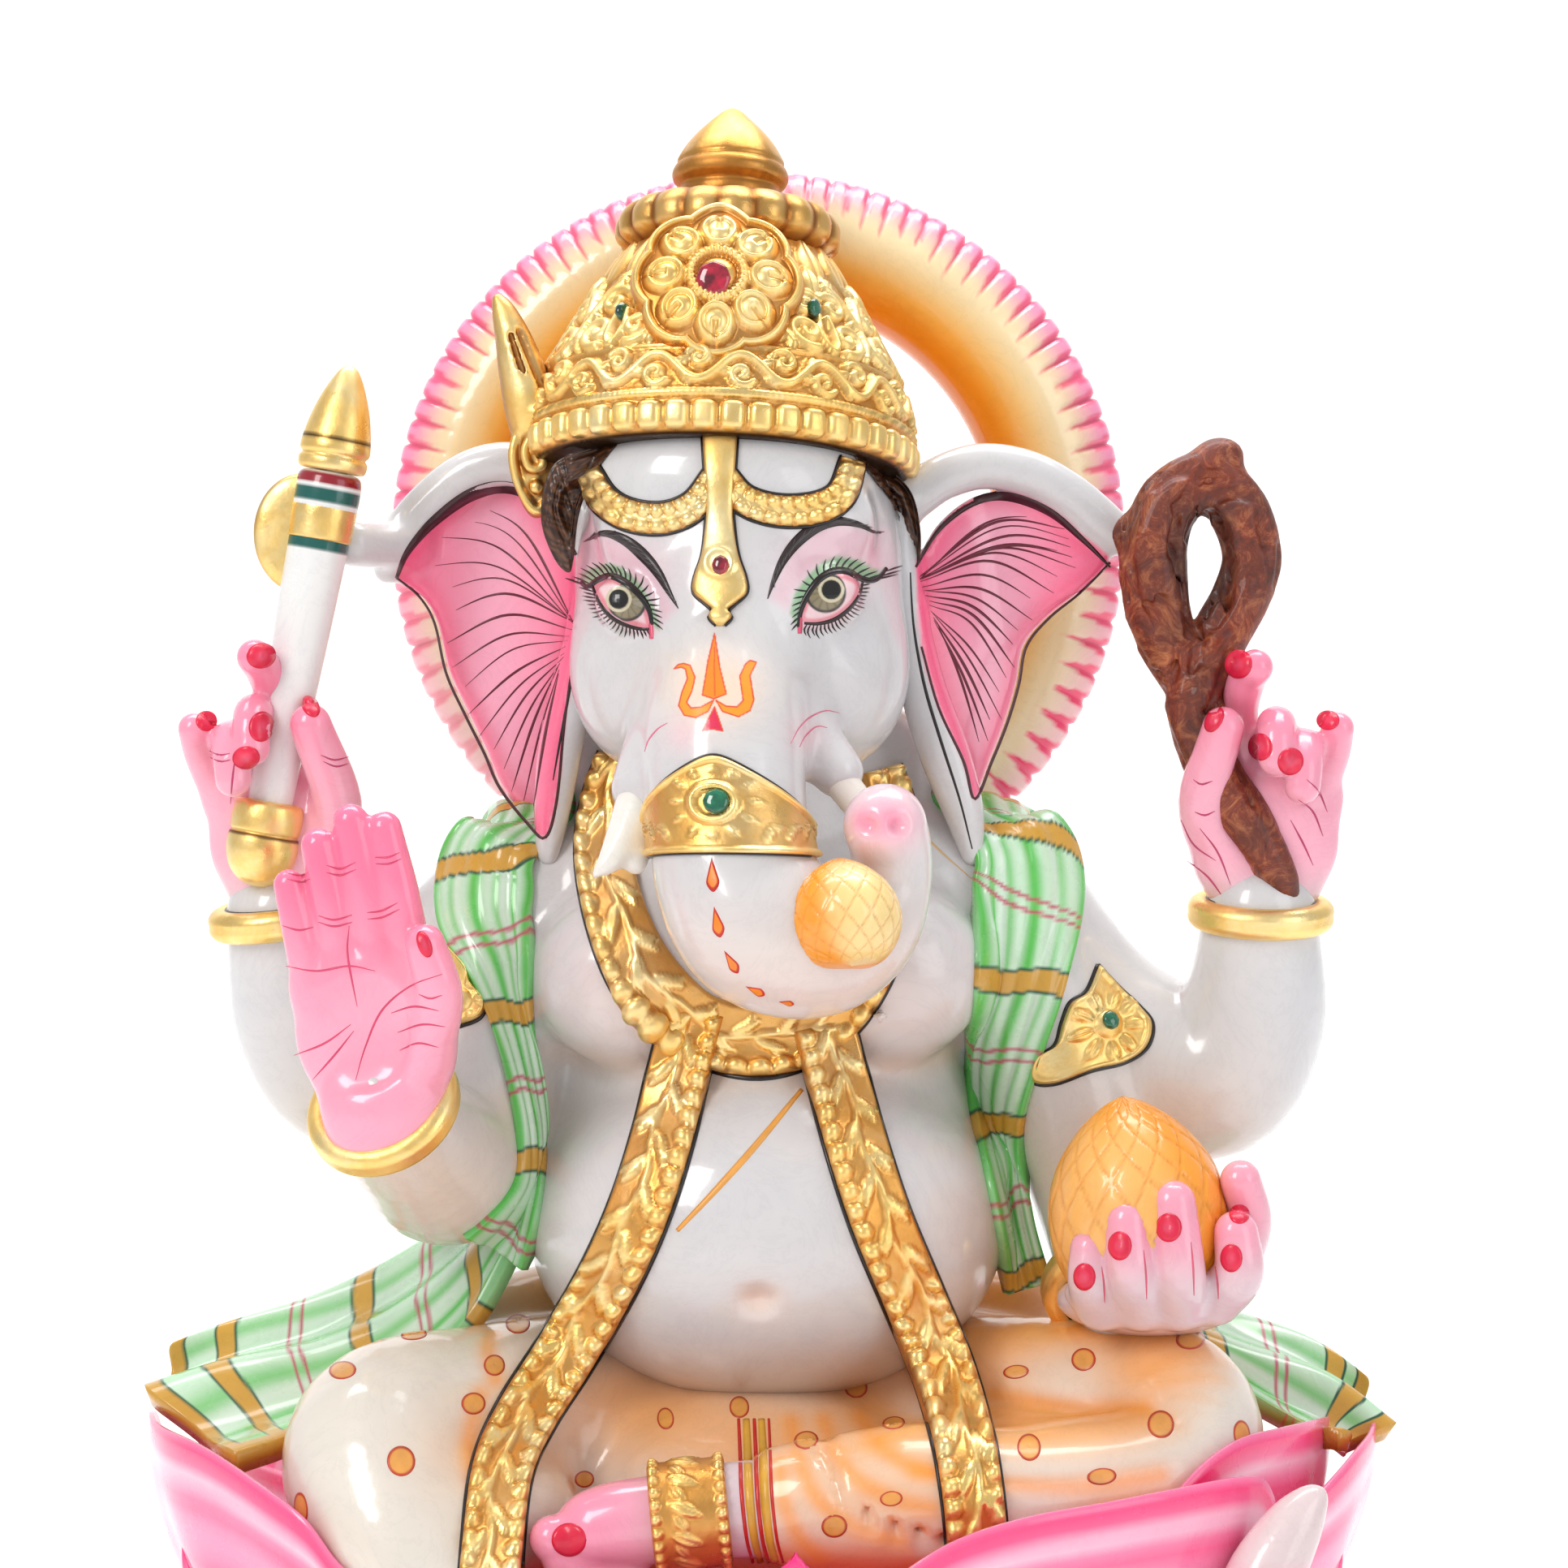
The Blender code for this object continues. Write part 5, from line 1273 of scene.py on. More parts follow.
def sealed(piece):
    """The piece with its faces turned outwards, judged by its signed volume."""
    total = 0.0
    for f in piece.faces:
        a, b, c = (piece.points[f[:, k]] for k in (0, 1, 2))
        total += np.einsum("ij,ij->i", a, np.cross(b, c)).sum()
        if f.shape[1] == 4:
            d = piece.points[f[:, 3]]
            total += np.einsum("ij,ij->i", a, np.cross(c, d)).sum()
    if total < 0:
        piece.faces = [f[:, ::-1] for f in piece.faces]
    return piece


# The lotus seat and its plinth.

LOTUS_X, LOTUS_Y = 160.0, 121.0  # the seat's half width and half depth at its rim
SEAT_Z = 72.0
PETALS = 10
MEAN_REACH = 140.0  # their mean, for turning a length into a share of the reach or an angle


def tip_height(angle):
    """The rim of the petals is higher at the sides than at the front."""
    return 97 + 18 * abs(math.cos(angle))


def petal(angle, width, foot, tip, thick, lower=False, skew=0.0, blunt=5):
    """A pointed petal; foot and tip are (share of the seat's radius, height), and width is half its width."""
    rows, cols = ((34, 25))
    s = np.linspace(0, 1, rows)[:, None]
    t = np.linspace(-1, 1, cols)[None, :]
    reach = foot[0] + (tip[0] - foot[0]) * (1 - (1 - s) ** 1.8)
    height = foot[1] + (tip[1] - foot[1]) * s**1.15
    half = width * (0.62 + 0.5 * np.sin(np.pi * np.minimum(1, s * 1.15) ** 0.9)) * (1 - s**blunt) + 0.6
    turn = angle + t * half / MEAN_REACH + skew * (1 - s) ** 1.3
    pull = reach - 0.04 * t * t * (1 - s * 0.5) + 0.012 * np.cos(t * np.pi * 2) * (1 - s)
    z = height - 6 * t * t * s
    rib = 0.006 * np.cos(t * np.pi * 5) * np.sin(np.pi * np.clip(s, 0, 1)) * (1 - np.abs(t))
    outer = np.stack([LOTUS_X * (pull + rib) * np.cos(turn), LOTUS_Y * (pull + rib) * np.sin(turn),
                      z + 0 * turn], -1)
    thinning = (0.35 + 0.65 * np.sqrt(np.clip((1 - s) * 1.4, 0, 1))) * (1 - 0.6 * np.abs(t) ** 3)
    inner_pull = pull - thick / MEAN_REACH * thinning
    inner = np.stack([LOTUS_X * inner_pull * np.cos(turn), LOTUS_Y * inner_pull * np.sin(turn),
                      z + 0 * turn], -1)
    streak = smoothstep(0.1, 0.9, np.cos(t * 11 + 0.6 * np.sin(s * 5 + angle * 3)))
    streak = streak * smoothstep(0.05, 0.3, 1 - np.abs(t))
    edge = np.maximum(smoothstep(0.62, 1.0, np.abs(t)), smoothstep(0.55, 1.0, s))
    colour = tint(linear(255, 166, 200), linear(252, 40, 128), 0.2 + 0.8 * edge)
    colour = tint(colour, linear(255, 214, 230), 0.6 * streak * smoothstep(1, 0.4, edge))
    colour = tint(colour, linear(250, 236, 236), smoothstep(0.3, 0.0, s + 0 * t) * 0.7)
    if lower:
        colour = tint(colour, linear(240, 44, 128), 0.25 + 0 * s + 0 * t)
    return sealed(slab(outer, inner, colour))


# The rims of the long side petals: degrees from the side towards the front, and the height there.
SIDE_PETALS = {
    -1: (([(-16, 62), (-9, 90), (-3, 112), (4, 117), (14, 117.5), (30, 116.5), (44, 106), (50, 92),
           (60, 84), (68, 78)], 1.0), ([(-34, 84), (-16, 98), (0, 106), (18, 106), (30, 98), (44, 80)],
                                       0.925)),
    1: (([(-16, 62), (-9, 92), (-3, 113), (6, 115.5), (12, 114.4), (20, 112), (30, 104), (40, 91),
          (50, 84), (66, 78)], 1.0), ([(-34, 84), (-16, 104), (0, 114), (14, 118.5), (28, 120.5),
                                       (38, 119.5), (46, 110), (54, 88)], 0.925),
        ([(28, 62), (33, 90), (37, 109), (41, 113), (50, 112.5), (58, 111), (66, 109), (73, 104), (79, 94),
          (85, 82), (90, 72)], 0.985)),
}
CURL = [(117, -86, 74, 8.5), (122, -85, 88, 9.5), (129, -83, 100, 7.6), (134, -82, 107, 4.6),
        (136.5, -82, 109.5, 2)]


def long_petal(side, rim, scale):
    """A broad petal along the seat's side, whose rim climbs to a tip."""
    rows, cols = ((30, 80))
    rim = spline([(a, z, 0) for a, z in rim], 8)
    rim = even(rim * np.array([0.6, 1, 1]), cols) / np.array([0.6, 1, 1])
    away = np.radians(rim[:, 0])[None, :]
    turn = -away if side > 0 else np.pi + away
    s = np.linspace(0, 1, rows)[:, None]
    foot, climb = 34, 80
    z = foot + (rim[:, 1][None, :] - foot) * s
    share = np.clip((z - foot) / climb, 0, 1)
    pull = scale * (0.76 + 0.24 * (1 - (1 - share) ** 1.9) + 0.008 * np.sin(turn * 16 + s * 2)
                    * np.sin(np.pi * s))
    ends = np.clip(np.minimum(np.arange(cols), cols - 1 - np.arange(cols)) / 5, 0.15, 1)[None, :]
    outer = np.stack([LOTUS_X * pull * np.cos(turn), LOTUS_Y * pull * np.sin(turn), z], -1)
    pull = pull - 0.034 * ends * np.sqrt(np.clip(1.04 - s, 0, 1))
    inner = np.stack([LOTUS_X * pull * np.cos(turn), LOTUS_Y * pull * np.sin(turn), z], -1)
    below = rim[:, 1][None, :] - z
    band = bell(below - 3.5, 3.4) + 0.6 * bell(below - 16, 3.5) + 0.5 * bell(below - 32, 4)
    colour = tint(linear(255, 158, 196), linear(255, 26, 118), 0.1 + 0.85 * band)
    colour = tint(colour, linear(255, 222, 234), 0.7 * bell(below - 9.5, 1.8))
    return sealed(slab(outer, inner, colour))


def make_lotus():
    def wavy(a, _s, r):
        return r + 0.7 * np.cos(a * 40) * smoothstep(100, 130, r)

    core = [(20, 26.5), (96, 26.6), (106, 28.4), (118, 34), (132, 48), (139, 62), (141.5, SEAT_Z - 2),
            (139, SEAT_Z), (60, SEAT_Z + 0.5), (3, SEAT_Z + 0.6)]

    def core_paint(a, _s, r, _p):
        return tint(linear(250, 150, 188), linear(238, 40, 120),
                    0.5 + 0.5 * np.cos(a * 40) * smoothstep(90, 130, r))

    piece = lathe(core, (0, 0, 0), (0, 0, 1), 120, wavy, core_paint, 7)
    piece.points[:, 1] *= LOTUS_Y / LOTUS_X
    piece = sealed(piece)
    for side in (-1, 1):
        for rim, scale in SIDE_PETALS[side]:
            piece.join(long_petal(side, rim, scale))
    for degrees, width, tip, skew in ((-87, 46, 103, 0), (229, 50, 88, 0.12), (-49, 50, 88, -0.12),
                                      (258, 46, 82, 0), (-78, 46, 82, 0), (36, 46, 111, 0),
                                      (144, 46, 111, 0), (72, 46, 102, 0), (108, 46, 102, 0)):
        piece.join(petal(math.radians(degrees), width, (0.76, 34), (1.0, tip), 5.5, False, skew,
                         8 if skew else 6))
    curl = Clay((100, -104, 56), (150, -66, 120), 1.0)
    curl.limb(CURL, 4)
    points, quads = curl.surface()
    piece.join(Piece(points, quads, tint(linear(255, 130, 176), linear(226, 206, 206),
                                         smoothstep(84, 96, points[:, 2]))))
    for k in range(PETALS):
        angle = 2 * math.pi * (k + 0.5) / PETALS
        piece.join(petal(angle, 42, (0.72, 29), (0.97, tip_height(angle) - 26), 6, True))
    return piece


def make_plinth():
    profile = [(2, 0), (112, 0), (118, 0.3), (123.5, 3), (124, 5), (123.2, 6.4), (124.2, 8), (124.2, 12),
               (123.2, 13.6), (124, 15), (120, 18.4), (116, 20), (114, 22.5), (111, 26.2), (60, 26.2),
               (2, 26.2)]

    def stone(_a, _s, r, p):
        gold = smoothstep(1.6, 1.0, np.abs(p[..., 2] - 10)) * (r > 120)
        rose = smoothstep(18, 20, p[..., 2]) * (r > 105)
        c = tint(WHITE, linear(245, 110, 160), rose * 0.8)
        return tint(c, linear(206, 150, 60), gold)

    piece = lathe(profile, (0, 0, 0), (0, 0, 1), 110, None, stone, 7)
    piece.points[:, 1] *= 0.75
    return sealed(piece)


lotus = make_lotus()
lotus.make("petal_seat", PETAL, "pink", "lotus_seat")
make_plinth().make("stone_plinth", PETAL, "marble", "plinth")


# The halo.


def make_halo():
    lobes, fine = 88, (7)
    a = np.linspace(0, 2 * np.pi, lobes * fine, endpoint=False)[:, None]
    b = np.linspace(0, 2 * np.pi, 56, endpoint=False)[None, :]
    b = b - 0.45 * np.sin(b)
    low, high = (np.array(c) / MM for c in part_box("halo_ring"))
    centre = (low + high) / 2
    outer = (high[0] - low[0]) / 2
    inner, deep = 64.5, (high[1] - low[1]) / 2 - 0.3
    c, s = np.cos(b), np.sin(b)
    half = (outer - inner) / 2
    r = (outer + inner) / 2 + half * np.sign(c) * np.abs(c) ** 0.85
    y = deep * np.sign(s) * np.abs(s) ** 0.9 * (1 - 0.25 * smoothstep(0, 1, c) - 0.1 * smoothstep(0, -1, c))
    phase = np.abs(np.cos((a + 0.24 * np.sin(a)) * lobes / 2))
    rim = smoothstep(outer - 13, outer - 3, r)
    valley = bell(phase, 0.22) * rim
    r2 = r - 1.3 * valley - 0.4 * (1 - phase) * rim
    y2 = y * (1 - 0.16 * valley)
    grid = np.stack([centre[0] + r2 * np.sin(a), centre[1] - y2 + 0 * a, centre[2] + r2 * np.cos(a)], -1)
    out = np.clip((r - inner) / (outer - inner), 0, 1) + 0 * a
    colour = tint(linear(250, 228, 182), linear(252, 196, 96), smoothstep(0.66, 0.3, out))
    colour = tint(colour, linear(249, 146, 12), smoothstep(0.46, 0.12, out))
    colour = tint(colour, linear(252, 150, 188), smoothstep(0.68, 0.97, out))
    wedge = smoothstep(0.0, 0.14, 0.95 * smoothstep(0.56, 1.04, out) - phase) * (out > 0.6)
    low_side = smoothstep(0.2, -0.6, np.cos(a)) + 0 * out
    colour = tint(colour, linear(250, 226, 206), 0.55 * low_side * smoothstep(0.55, 0.8, out))
    colour = tint(colour, linear(252, 44, 108), wedge * (0.7 + 0.3 * low_side)
                  * (1 - 0.6 * low_side * smoothstep(0, -0.5, np.sin(a))))
    back = smoothstep(0.0, -0.5, s) + 0 * a
    colour = tint(colour, linear(252, 214, 216), 0.35 * back)
    return sealed(tube_piece(grid, colour, "loop"))


make_halo().make("lobed_halo", MARBLE, "pink", "halo_ring")


# The crown.

CROWN_TURN = Euler((math.radians(-12), math.radians(2), 0))
CROWN = Matrix.Translation((-11.5, 1, 362)) @ CROWN_TURN.to_matrix().to_4x4()


def crowned(p, place=CROWN):
    m = np.array(place)
    return p @ m[:3, :3].T + m[:3, 3]


def make_dome():
    profile = spline([(46.2, -1.4, 0), (48.7, -0.8, 0), (49.6, 4, 0), (49.2, 12, 0), (46.6, 21, 0),
                      (41.2, 31, 0), (36, 41, 0), (31, 50, 0), (26.5, 57.5, 0)], 12)
    rows, cols = ((160, 440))
    line = even(profile, rows)
    run = np.linspace(0, length_of(line), rows)[:, None]
    a = np.linspace(-np.pi, np.pi, cols, endpoint=False)[None, :]
    r = line[:, 0:1]
    s, x = run + 4 + 0 * a, a * 49 * (0.35 + 0.65 * r / 49)
    turn = a + 0 * run
    h = 0.25 + 0.12 * np.sin(x * 2.3 + np.sin(s * 1.7) * 2) * np.sin(s * 2.1)
    count = 44
    off = (turn * count / (2 * np.pi)) % 1 - 0.5
    bead = np.clip(1 - np.abs(off / 0.44) ** 4 - np.abs((s - 11.0) / 3.7) ** 4, 0, 1)
    h = np.maximum(h, 2.7 * bead**0.42)
    h = ridge(h, s - 16.6, 1.5, 1.9 * (0.86 + 0.14 * np.cos(turn * 190 + s)))
    h = ridge(h, s - 30.2, 0.8, 1.0)
    flat = a * 48 + 0 * run
    wave = 2 * np.pi * 48 / 14
    for k in range(-8, 9):
        x0 = k * wave
        stem = [(x0 + q * wave, 23.6 + 3.6 * math.sin(2 * math.pi * q)) for q in np.linspace(0, 1, 17)]
        h = tube_line(h, flat, s, stem, 1.35, 2.1)
        h = tube_line(h, flat, s, spiral(x0 + 0.25 * wave, 21.6, 3.4, 0.6, 1.1, -0.6, -1), 1.15, 2.1)
        h = tube_line(h, flat, s, spiral(x0 + 0.75 * wave, 25.8, 3.4, 0.6, 1.1, 2.6, -1), 1.15, 2.1)
        for q, angle in ((0.05, 1.2), (0.42, 0.5), (0.55, -1.2), (0.93, -0.4)):
            h = leaf(h, flat, s, x0 + q * wave, 23.6, angle, 6.0, 1.7, 1.8)
    for middle in (math.radians(d) for d in (-38, 38, -76, 76, -114, 114, -152, 152, 180)):
        u = ((turn - middle + np.pi) % (2 * np.pi) - np.pi) * r
        for v in (u, -u):
            for line2, size in ((spiral(6.4, 37.0, 5.4, 0.8, 1.35, -1.9, 1), 1.7),
                                (spiral(4.3, 47.0, 4.4, 0.6, 1.2, 2.6, -1), 1.5),
                                ([(0.6, 31.5), (2.0, 34), (2.2, 38), (1.4, 43)], 1.1),
                                ([(11.8, 32.0), (13.6, 36.5), (13.4, 41.5), (11.2, 46), (8.6, 50.5),
                                  (4.5, 54)], 1.4)):
                h = tube_line(h, v, s, line2, size, 2.4)
            for q in range(6):
                h = leaf(h, v, s, 12.6 - 1.3 * q, 34 + 3.8 * q, 0.35 + 0.3 * q, 5.6, 1.7, 2.1)
        h = leaf(h, s, u, 50.0, 0, 0, 11, 3.2, 2.8)
        h = leaf(h, s, u - 4, 51.0, 0, 0.5, 8, 2.0, 2.2)
        h = leaf(h, s, u + 4, 51.0, 0, -0.5, 8, 2.0, 2.2)
    for k in range(20):
        u = (turn - 2 * np.pi * (k + 0.5) / 20 + np.pi + np.pi) % (2 * np.pi) - np.pi
        h = leaf(h, s, u * r, 55.5, 0, 0, 17, 4.6, 1.5)
    h = h * smoothstep(5.5, 8, s) + 0.3
    slope = unit(np.gradient(line[:, :2], axis=0))
    out_r = (slope[:, 1:2] * h)
    out_z = (-slope[:, 0:1] * h)
    rr, zz = r + out_r, line[:, 1:2] + out_z
    grid = np.stack([rr * np.sin(a), -rr * np.cos(a) * 0.96, zz + 0 * a], -1)
    # Painted shade in the relief's hollows.
    colour = gilt_tone_and_shade(h, 0.55, 2.0, (0.7, 0.5, 0.36)) + 0 * grid
    # The underside is painted near black: a black outline along the rim, and painted shade under it.
    colour = tint(colour, (0.05, 0.03, 0.02), smoothstep(7.4, 6.6, s))
    inner = np.stack([(r[-1] - 8) * np.sin(a[0]), -(r[-1] - 8) * np.cos(a[0]), np.full(cols, 57.5)], -1)[None]
    bottom = np.stack([38 * np.sin(a[0]), -38 * np.cos(a[0]), np.full(cols, -1.5)], -1)[None]
    grid = np.concatenate([bottom, grid, inner])
    colour = np.concatenate([colour[:1], colour, colour[-1:]])
    return sealed(tube_piece(crowned(grid), colour))


def make_medallion():
    rings, around = ((64, 256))
    a = np.linspace(0, 2 * np.pi, around, endpoint=False)[None, :]
    k = np.linspace(0.02, 1, rings)[:, None]
    edge = 20.4 + 2.0 * np.abs(np.cos(4 * (a - np.pi / 2))) ** 0.8 + 1.8 * bell(a - np.pi / 2, 0.22)
    r = k * edge
    h = 0.5 + 0 * r
    h = ridge(h, r - 6.9, 1.7, 3.0 * (0.9 + 0.1 * np.cos(28 * a)))
    h = ridge(h, r, 5.2, 2.4)
    for q in range(8):
        b = 2 * np.pi * q / 8 + np.pi / 2
        u, v = r * np.cos(a - b), r * np.sin(a - b)
        inside = ((u - 13.4) / 5.2) ** 2 + (v / 4.9) ** 2
        rim = bell(np.sqrt(inside) - 0.82, 0.19)
        h = np.maximum(h, (1.0 + np.maximum(2.2 * rim, 2.3 * np.clip(1 - inside / 0.5, 0, 1) ** 0.5))
                       * (inside < 1.3) * (1 - 0.45 * bell(v, 0.7) * (u > 13)))
    h = ridge(h, edge - r - 1.3, 1.3, 2.6)
    h = h * smoothstep(1.0, 0.965, k)
    dome = 4.6 * (1 - (r / 21) ** 2) - 1.6
    top = np.stack([r * np.cos(a), r * np.sin(a), h + dome], -1)
    side = np.stack([(edge - 1.5) * np.cos(a), (edge - 1.5) * np.sin(a), -13 + 0 * a], -1)
    # Painted shade in the flower's hollows.
    colour = gilt_tone_and_shade(h, 0.5, 2.6, (0.66, 0.44, 0.3)) + 0 * top
    grid = np.concatenate([top, side])
    colour = np.concatenate([colour, colour[-1:]])
    place = CROWN @ Matrix.Translation((-1.7, -41.0, 40.2)) @ Matrix.Rotation(math.radians(76), 4, "X")
    return sealed(tube_piece(crowned(grid, place), colour))


def make_collar_and_finial():
    up = np.array(CROWN)[:3, 2]
    foot = np.array(CROWN)[:3, 3]
    lobes = 19

    def gadroon(a, s, r):
        bulge = 1.5 * np.abs(np.cos(a * lobes / 2)) ** 0.7 - 0.9
        return r + bulge * smoothstep(0.05, 0.3, s) * smoothstep(0.85, 0.6, s)

    def shade(a, *_):
        # Painted shade between the lobes, on a darker, browner gold.
        share = np.abs(np.cos(a * lobes / 2)) ** 0.7
        return gilt_tone_and_shade(share, 0.1, 0.9, (0.45, 0.26, 0.16)) * np.array([0.72, 0.6, 0.5])

    collar = lathe([(20, 57), (24, 58.5), (28.5, 61), (29.4, 64), (28.8, 67), (26, 70), (20, 71.6),
                    (15, 72.5), (9, 72.8)], foot, up, 192, gadroon, shade, 5)
    def waved(a, s, r):
        return r * (1 + 0.012 * np.cos(a * 8) * smoothstep(0.3, 0.7, s))

    def brown_darker_below(_a, s, _r, p):
        # A browner gold, darker towards the bottom.
        return gilt_tone_and_shade(smoothstep(0.1, 0.9, s), 0, 1, (0.62, 0.46, 0.36)) * np.array([0.82, 0.68, 0.52]) + 0 * p

    finial = lathe([(9, 72.2), (12.8, 73.2), (13.4, 75.2), (13.2, 76.8), (15.0, 78.6), (15.5, 80.4),
                    (14.9, 82.2), (14.0, 83.2), (14.2, 84.2), (13.3, 86.2), (11.7, 88.8), (9.7, 91.4),
                    (7.3, 94), (4.8, 96.4), (2.7, 98.2), (0.9, 99.2)], foot, up, 64, waved, brown_darker_below, 5)
    return sealed(collar), sealed(finial)


def make_plume():
    clay = Clay((-80, -18, 344), (-40, 12, 412), 0.6)
    clay.limb([(-59, -4, 368, 5.6), (-60.5, -6, 378, 6.8), (-62.6, -6, 387, 6.2), (-65, -6, 396, 4.8),
               (-67.4, -6, 403, 3.2), (-69, -6, 406.5, 1.6)], 2)
    clay.ball((-59, -4, 363), (5.6, 7, 13.5), 3)
    clay.limb([(-62.5, -8, 376.5, 2.6), (-57, -11.5, 377, 2.8), (-51, -10, 378, 2.6)], 1)
    clay.limb([(-59, -10, 380, 1), (-62.5, -10.8, 388, 1), (-65.5, -9.6, 397, 0.8)], 0.8, True)
    clay.limb([(-56, -10, 380, 1), (-59.5, -10.8, 389, 1), (-63.4, -9.6, 398, 0.8)], 0.8, True)
    clay.limb([(-63.5, -8.5, 373, 1.2), (-65, -9, 366, 1.3), (-63.4, -9.5, 358, 1.3),
               (-59, -9.5, 351.5, 1.5), (-55, -9, 355, 1.3)], 0.8)
    clay.limb([(-55.5, -10, 372, 1.1), (-59.5, -11, 371, 1.2), (-61.8, -11, 367, 1.2),
               (-60.5, -11.4, 362.6, 1.2), (-57.2, -11.2, 363, 1.1), (-57.4, -11.4, 366.6, 1.0)], 0.8)
    clay.ball((-58.8, -11, 357.5), (1.8, 1.4, 1.8), 0.6)
    points, quads = clay.surface()
    # Painted shade where other parts of the horn stand close in front.
    low = clay.sample(points + np.array([0, -1.2, 0]))
    return Piece(points, quads, gilt_tone_and_shade(low, 0.4, 1.15, (0.5, 0.32, 0.22)))


dome, medallion = make_dome(), make_medallion()
collar, finial = make_collar_and_finial()
plume = make_plume()
dome.make("crown_dome", LEAF, "gold", "crown")
medallion.make("crown_flower", LEAF, "gold", "crown_medallion")
collar.make("crown_gadroons", LEAF, "gold", "crown_collar")
finial.make("crown_bud", LEAF, "gold", "crown_finial")
plume.make("crown_horn", LEAF, "gold", "crown_plume")


# Ornaments on the head and trunk.

head_tree = head.tree()
torso_tree = merged(body, legs, left_foot)

PENDANT = [(-11.3, 378), (-11.3, 366), (-11.3, 354), (-11.3, 347.5), (-11.2, 340), (-11.2, 334),
           (-11.2, 330), (-11.2, 327.3), (-11.2, 325.2), (-11.2, 323.4), (-11.2, 321.4)]
PENDANT_WIDE = [5, 4.2, 3.4, 3.6, 4.6, 6.6, 6.9, 4.2, 2.0, 3.0, 1.0]
SWAG_RIGHT = [(-46, 362), (-41.5, 354.5), (-35, 350.5), (-26, 349.6), (-18, 353), (-12.5, 361)]
SWAG_LEFT = [(-10.5, 361), (-5, 354.5), (4, 351.6), (14, 352.2), (20.5, 356), (23.5, 365)]
SWAG_WIDE = [3.4, 3.8, 4.0, 4.0, 3.8, 3.2]


def make_forehead():
    piece = Piece()
    for path in (SWAG_RIGHT, SWAG_LEFT):
        strip = Strip(head_tree, path, SWAG_WIDE, 0.45, 0.45, 20)
        x = strip.t * strip.w
        h = beads(0.7 + 0 * strip.s, strip.s, x, -strip.w + 1.9, 3.7, 2.0, 2.2)
        h = beads(h, strip.s, x, strip.w - 1.9, 3.7, 2.0, 2.2)
        h = ridge(h, x, 1.3, 1.3)
        # Painted shade in the relief's hollows.
        piece.join(strip.piece(h, 1.5, gilt_tone_and_shade(h, 0.6, 1.5, (0.6, 0.4, 0.28)) + 0 * strip.base))
    strip = Strip(head_tree, PENDANT, PENDANT_WIDE, 0.5, 0.5, 30)
    x = strip.t * strip.w
    h = 1.6 + 1.1 * np.sqrt(np.clip(1 - strip.t**2, 0, 1))
    h = h + 0.5 * bell((np.hypot(x, strip.v - 337.3)) - 3.4, 0.8)
    # Painted shade in the relief's hollows.
    piece.join(strip.piece(h, 2, gilt_tone_and_shade(h, 1.4, 2.6, (0.6, 0.42, 0.3)) + 0 * strip.base))
    return piece


brow_jewel = make_forehead()
brow_jewel.make("brow_jewel", LEAF, "gold", "forehead_ornament")


def make_trunk_band():
    rows, cols = ((150, 44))
    turn = np.radians(np.linspace(-128, 128, rows))[:, None]
    t = np.linspace(0, 1, cols)[None, :]
    aside = np.sqrt((turn + 0.135) ** 2 + 0.012) - 0.11
    crest = 273.5 + 17.2 * np.clip(1 - aside / 1.25, 0, 1) ** 1.12
    low = 263.6 + 2.6 * np.cos(np.clip(turn, -1.4, 1.4))
    z = low + t * (crest - low)
    base, normal = np.zeros(z.shape + (3,)), np.zeros(z.shape + (3,))
    for i in range(rows):
        out = Vector((math.sin(turn[i, 0]), -math.cos(turn[i, 0]), 0))
        for j in range(cols):
            start = Vector((-8.4, -57 + (z[i, j] - 270) * 0.35, z[i, j]))
            hit, _, _, _ = head_tree.ray_cast(start, out)
            base[i, j] = start + out * 20 if hit is None or (hit - start).length > 36 else hit
            normal[i, j] = out
    base = blurred(blurred(base, 6), 3, 1)
    s, v = (turn + 0.135) * 21 + 0 * z, z - 278.9
    h = 1.0 + 0 * z
    h = ridge(h, np.hypot(s, v) - 4.3, 1.1, 2.6)
    for q in range(12):
        h = leaf(h, s, v, 6.0 * math.cos(q * math.pi / 6), 6.0 * math.sin(q * math.pi / 6),
                 q * math.pi / 6, 4.6, 0.9, 2.0)
    for side in (-1, 1):
        for q in range(6):
            h = leaf(h, side * s, v, 10 + 5.4 * q, -10.5, 1.1, 6.5, 1.3, 1.9)
            h = leaf(h, side * s, v, 11.5 + 5.4 * q, -7.5, 0.3, 4.5, 1.1, 1.7)
    h = ridge(h, z - low - 1.2, 1.1, 1.9)
    top = (1 - t) * (crest - low)
    h = ridge(h, top - 1.1, 1.0, 1.9)
    h = h * smoothstep(0, 0.5, top + 0.15) * smoothstep(0, 0.5, z - low + 0.15)
    outer = base + normal * (0.4 + h)[..., None]
    # Painted shade in the relief's hollows.
    return sealed(slab(outer, base - normal * 1.5, gilt_tone_and_shade(h, 0.6, 1.7, (0.78, 0.58, 0.4)) + 0 * base)), outer


trunk_band, band_surface = make_trunk_band()
for row in (band_surface[:, 0], band_surface[:, -1]):
    row = row[np.abs(row[:, 0] + 8.4) < 20.5]
    row = row[row[:, 1] < -50]
    run = unit(np.gradient(row, axis=0))
    side = unit(np.cross(run, [0, -1.0, 0]))
    a = np.linspace(0, 2 * np.pi, 6, endpoint=False)[None, :, None]
    section = np.cos(a) * side[:, None] + np.sin(a) * np.cross(side, run)[:, None]
    brush.join(sealed(tube_piece(row[:, None] + 0.45 * section, BLACK)))
trunk_band.make("trunk_cuff", LEAF, "gold", "trunk_band")

# Necklace, garlands, armlets, anklet and bangles.

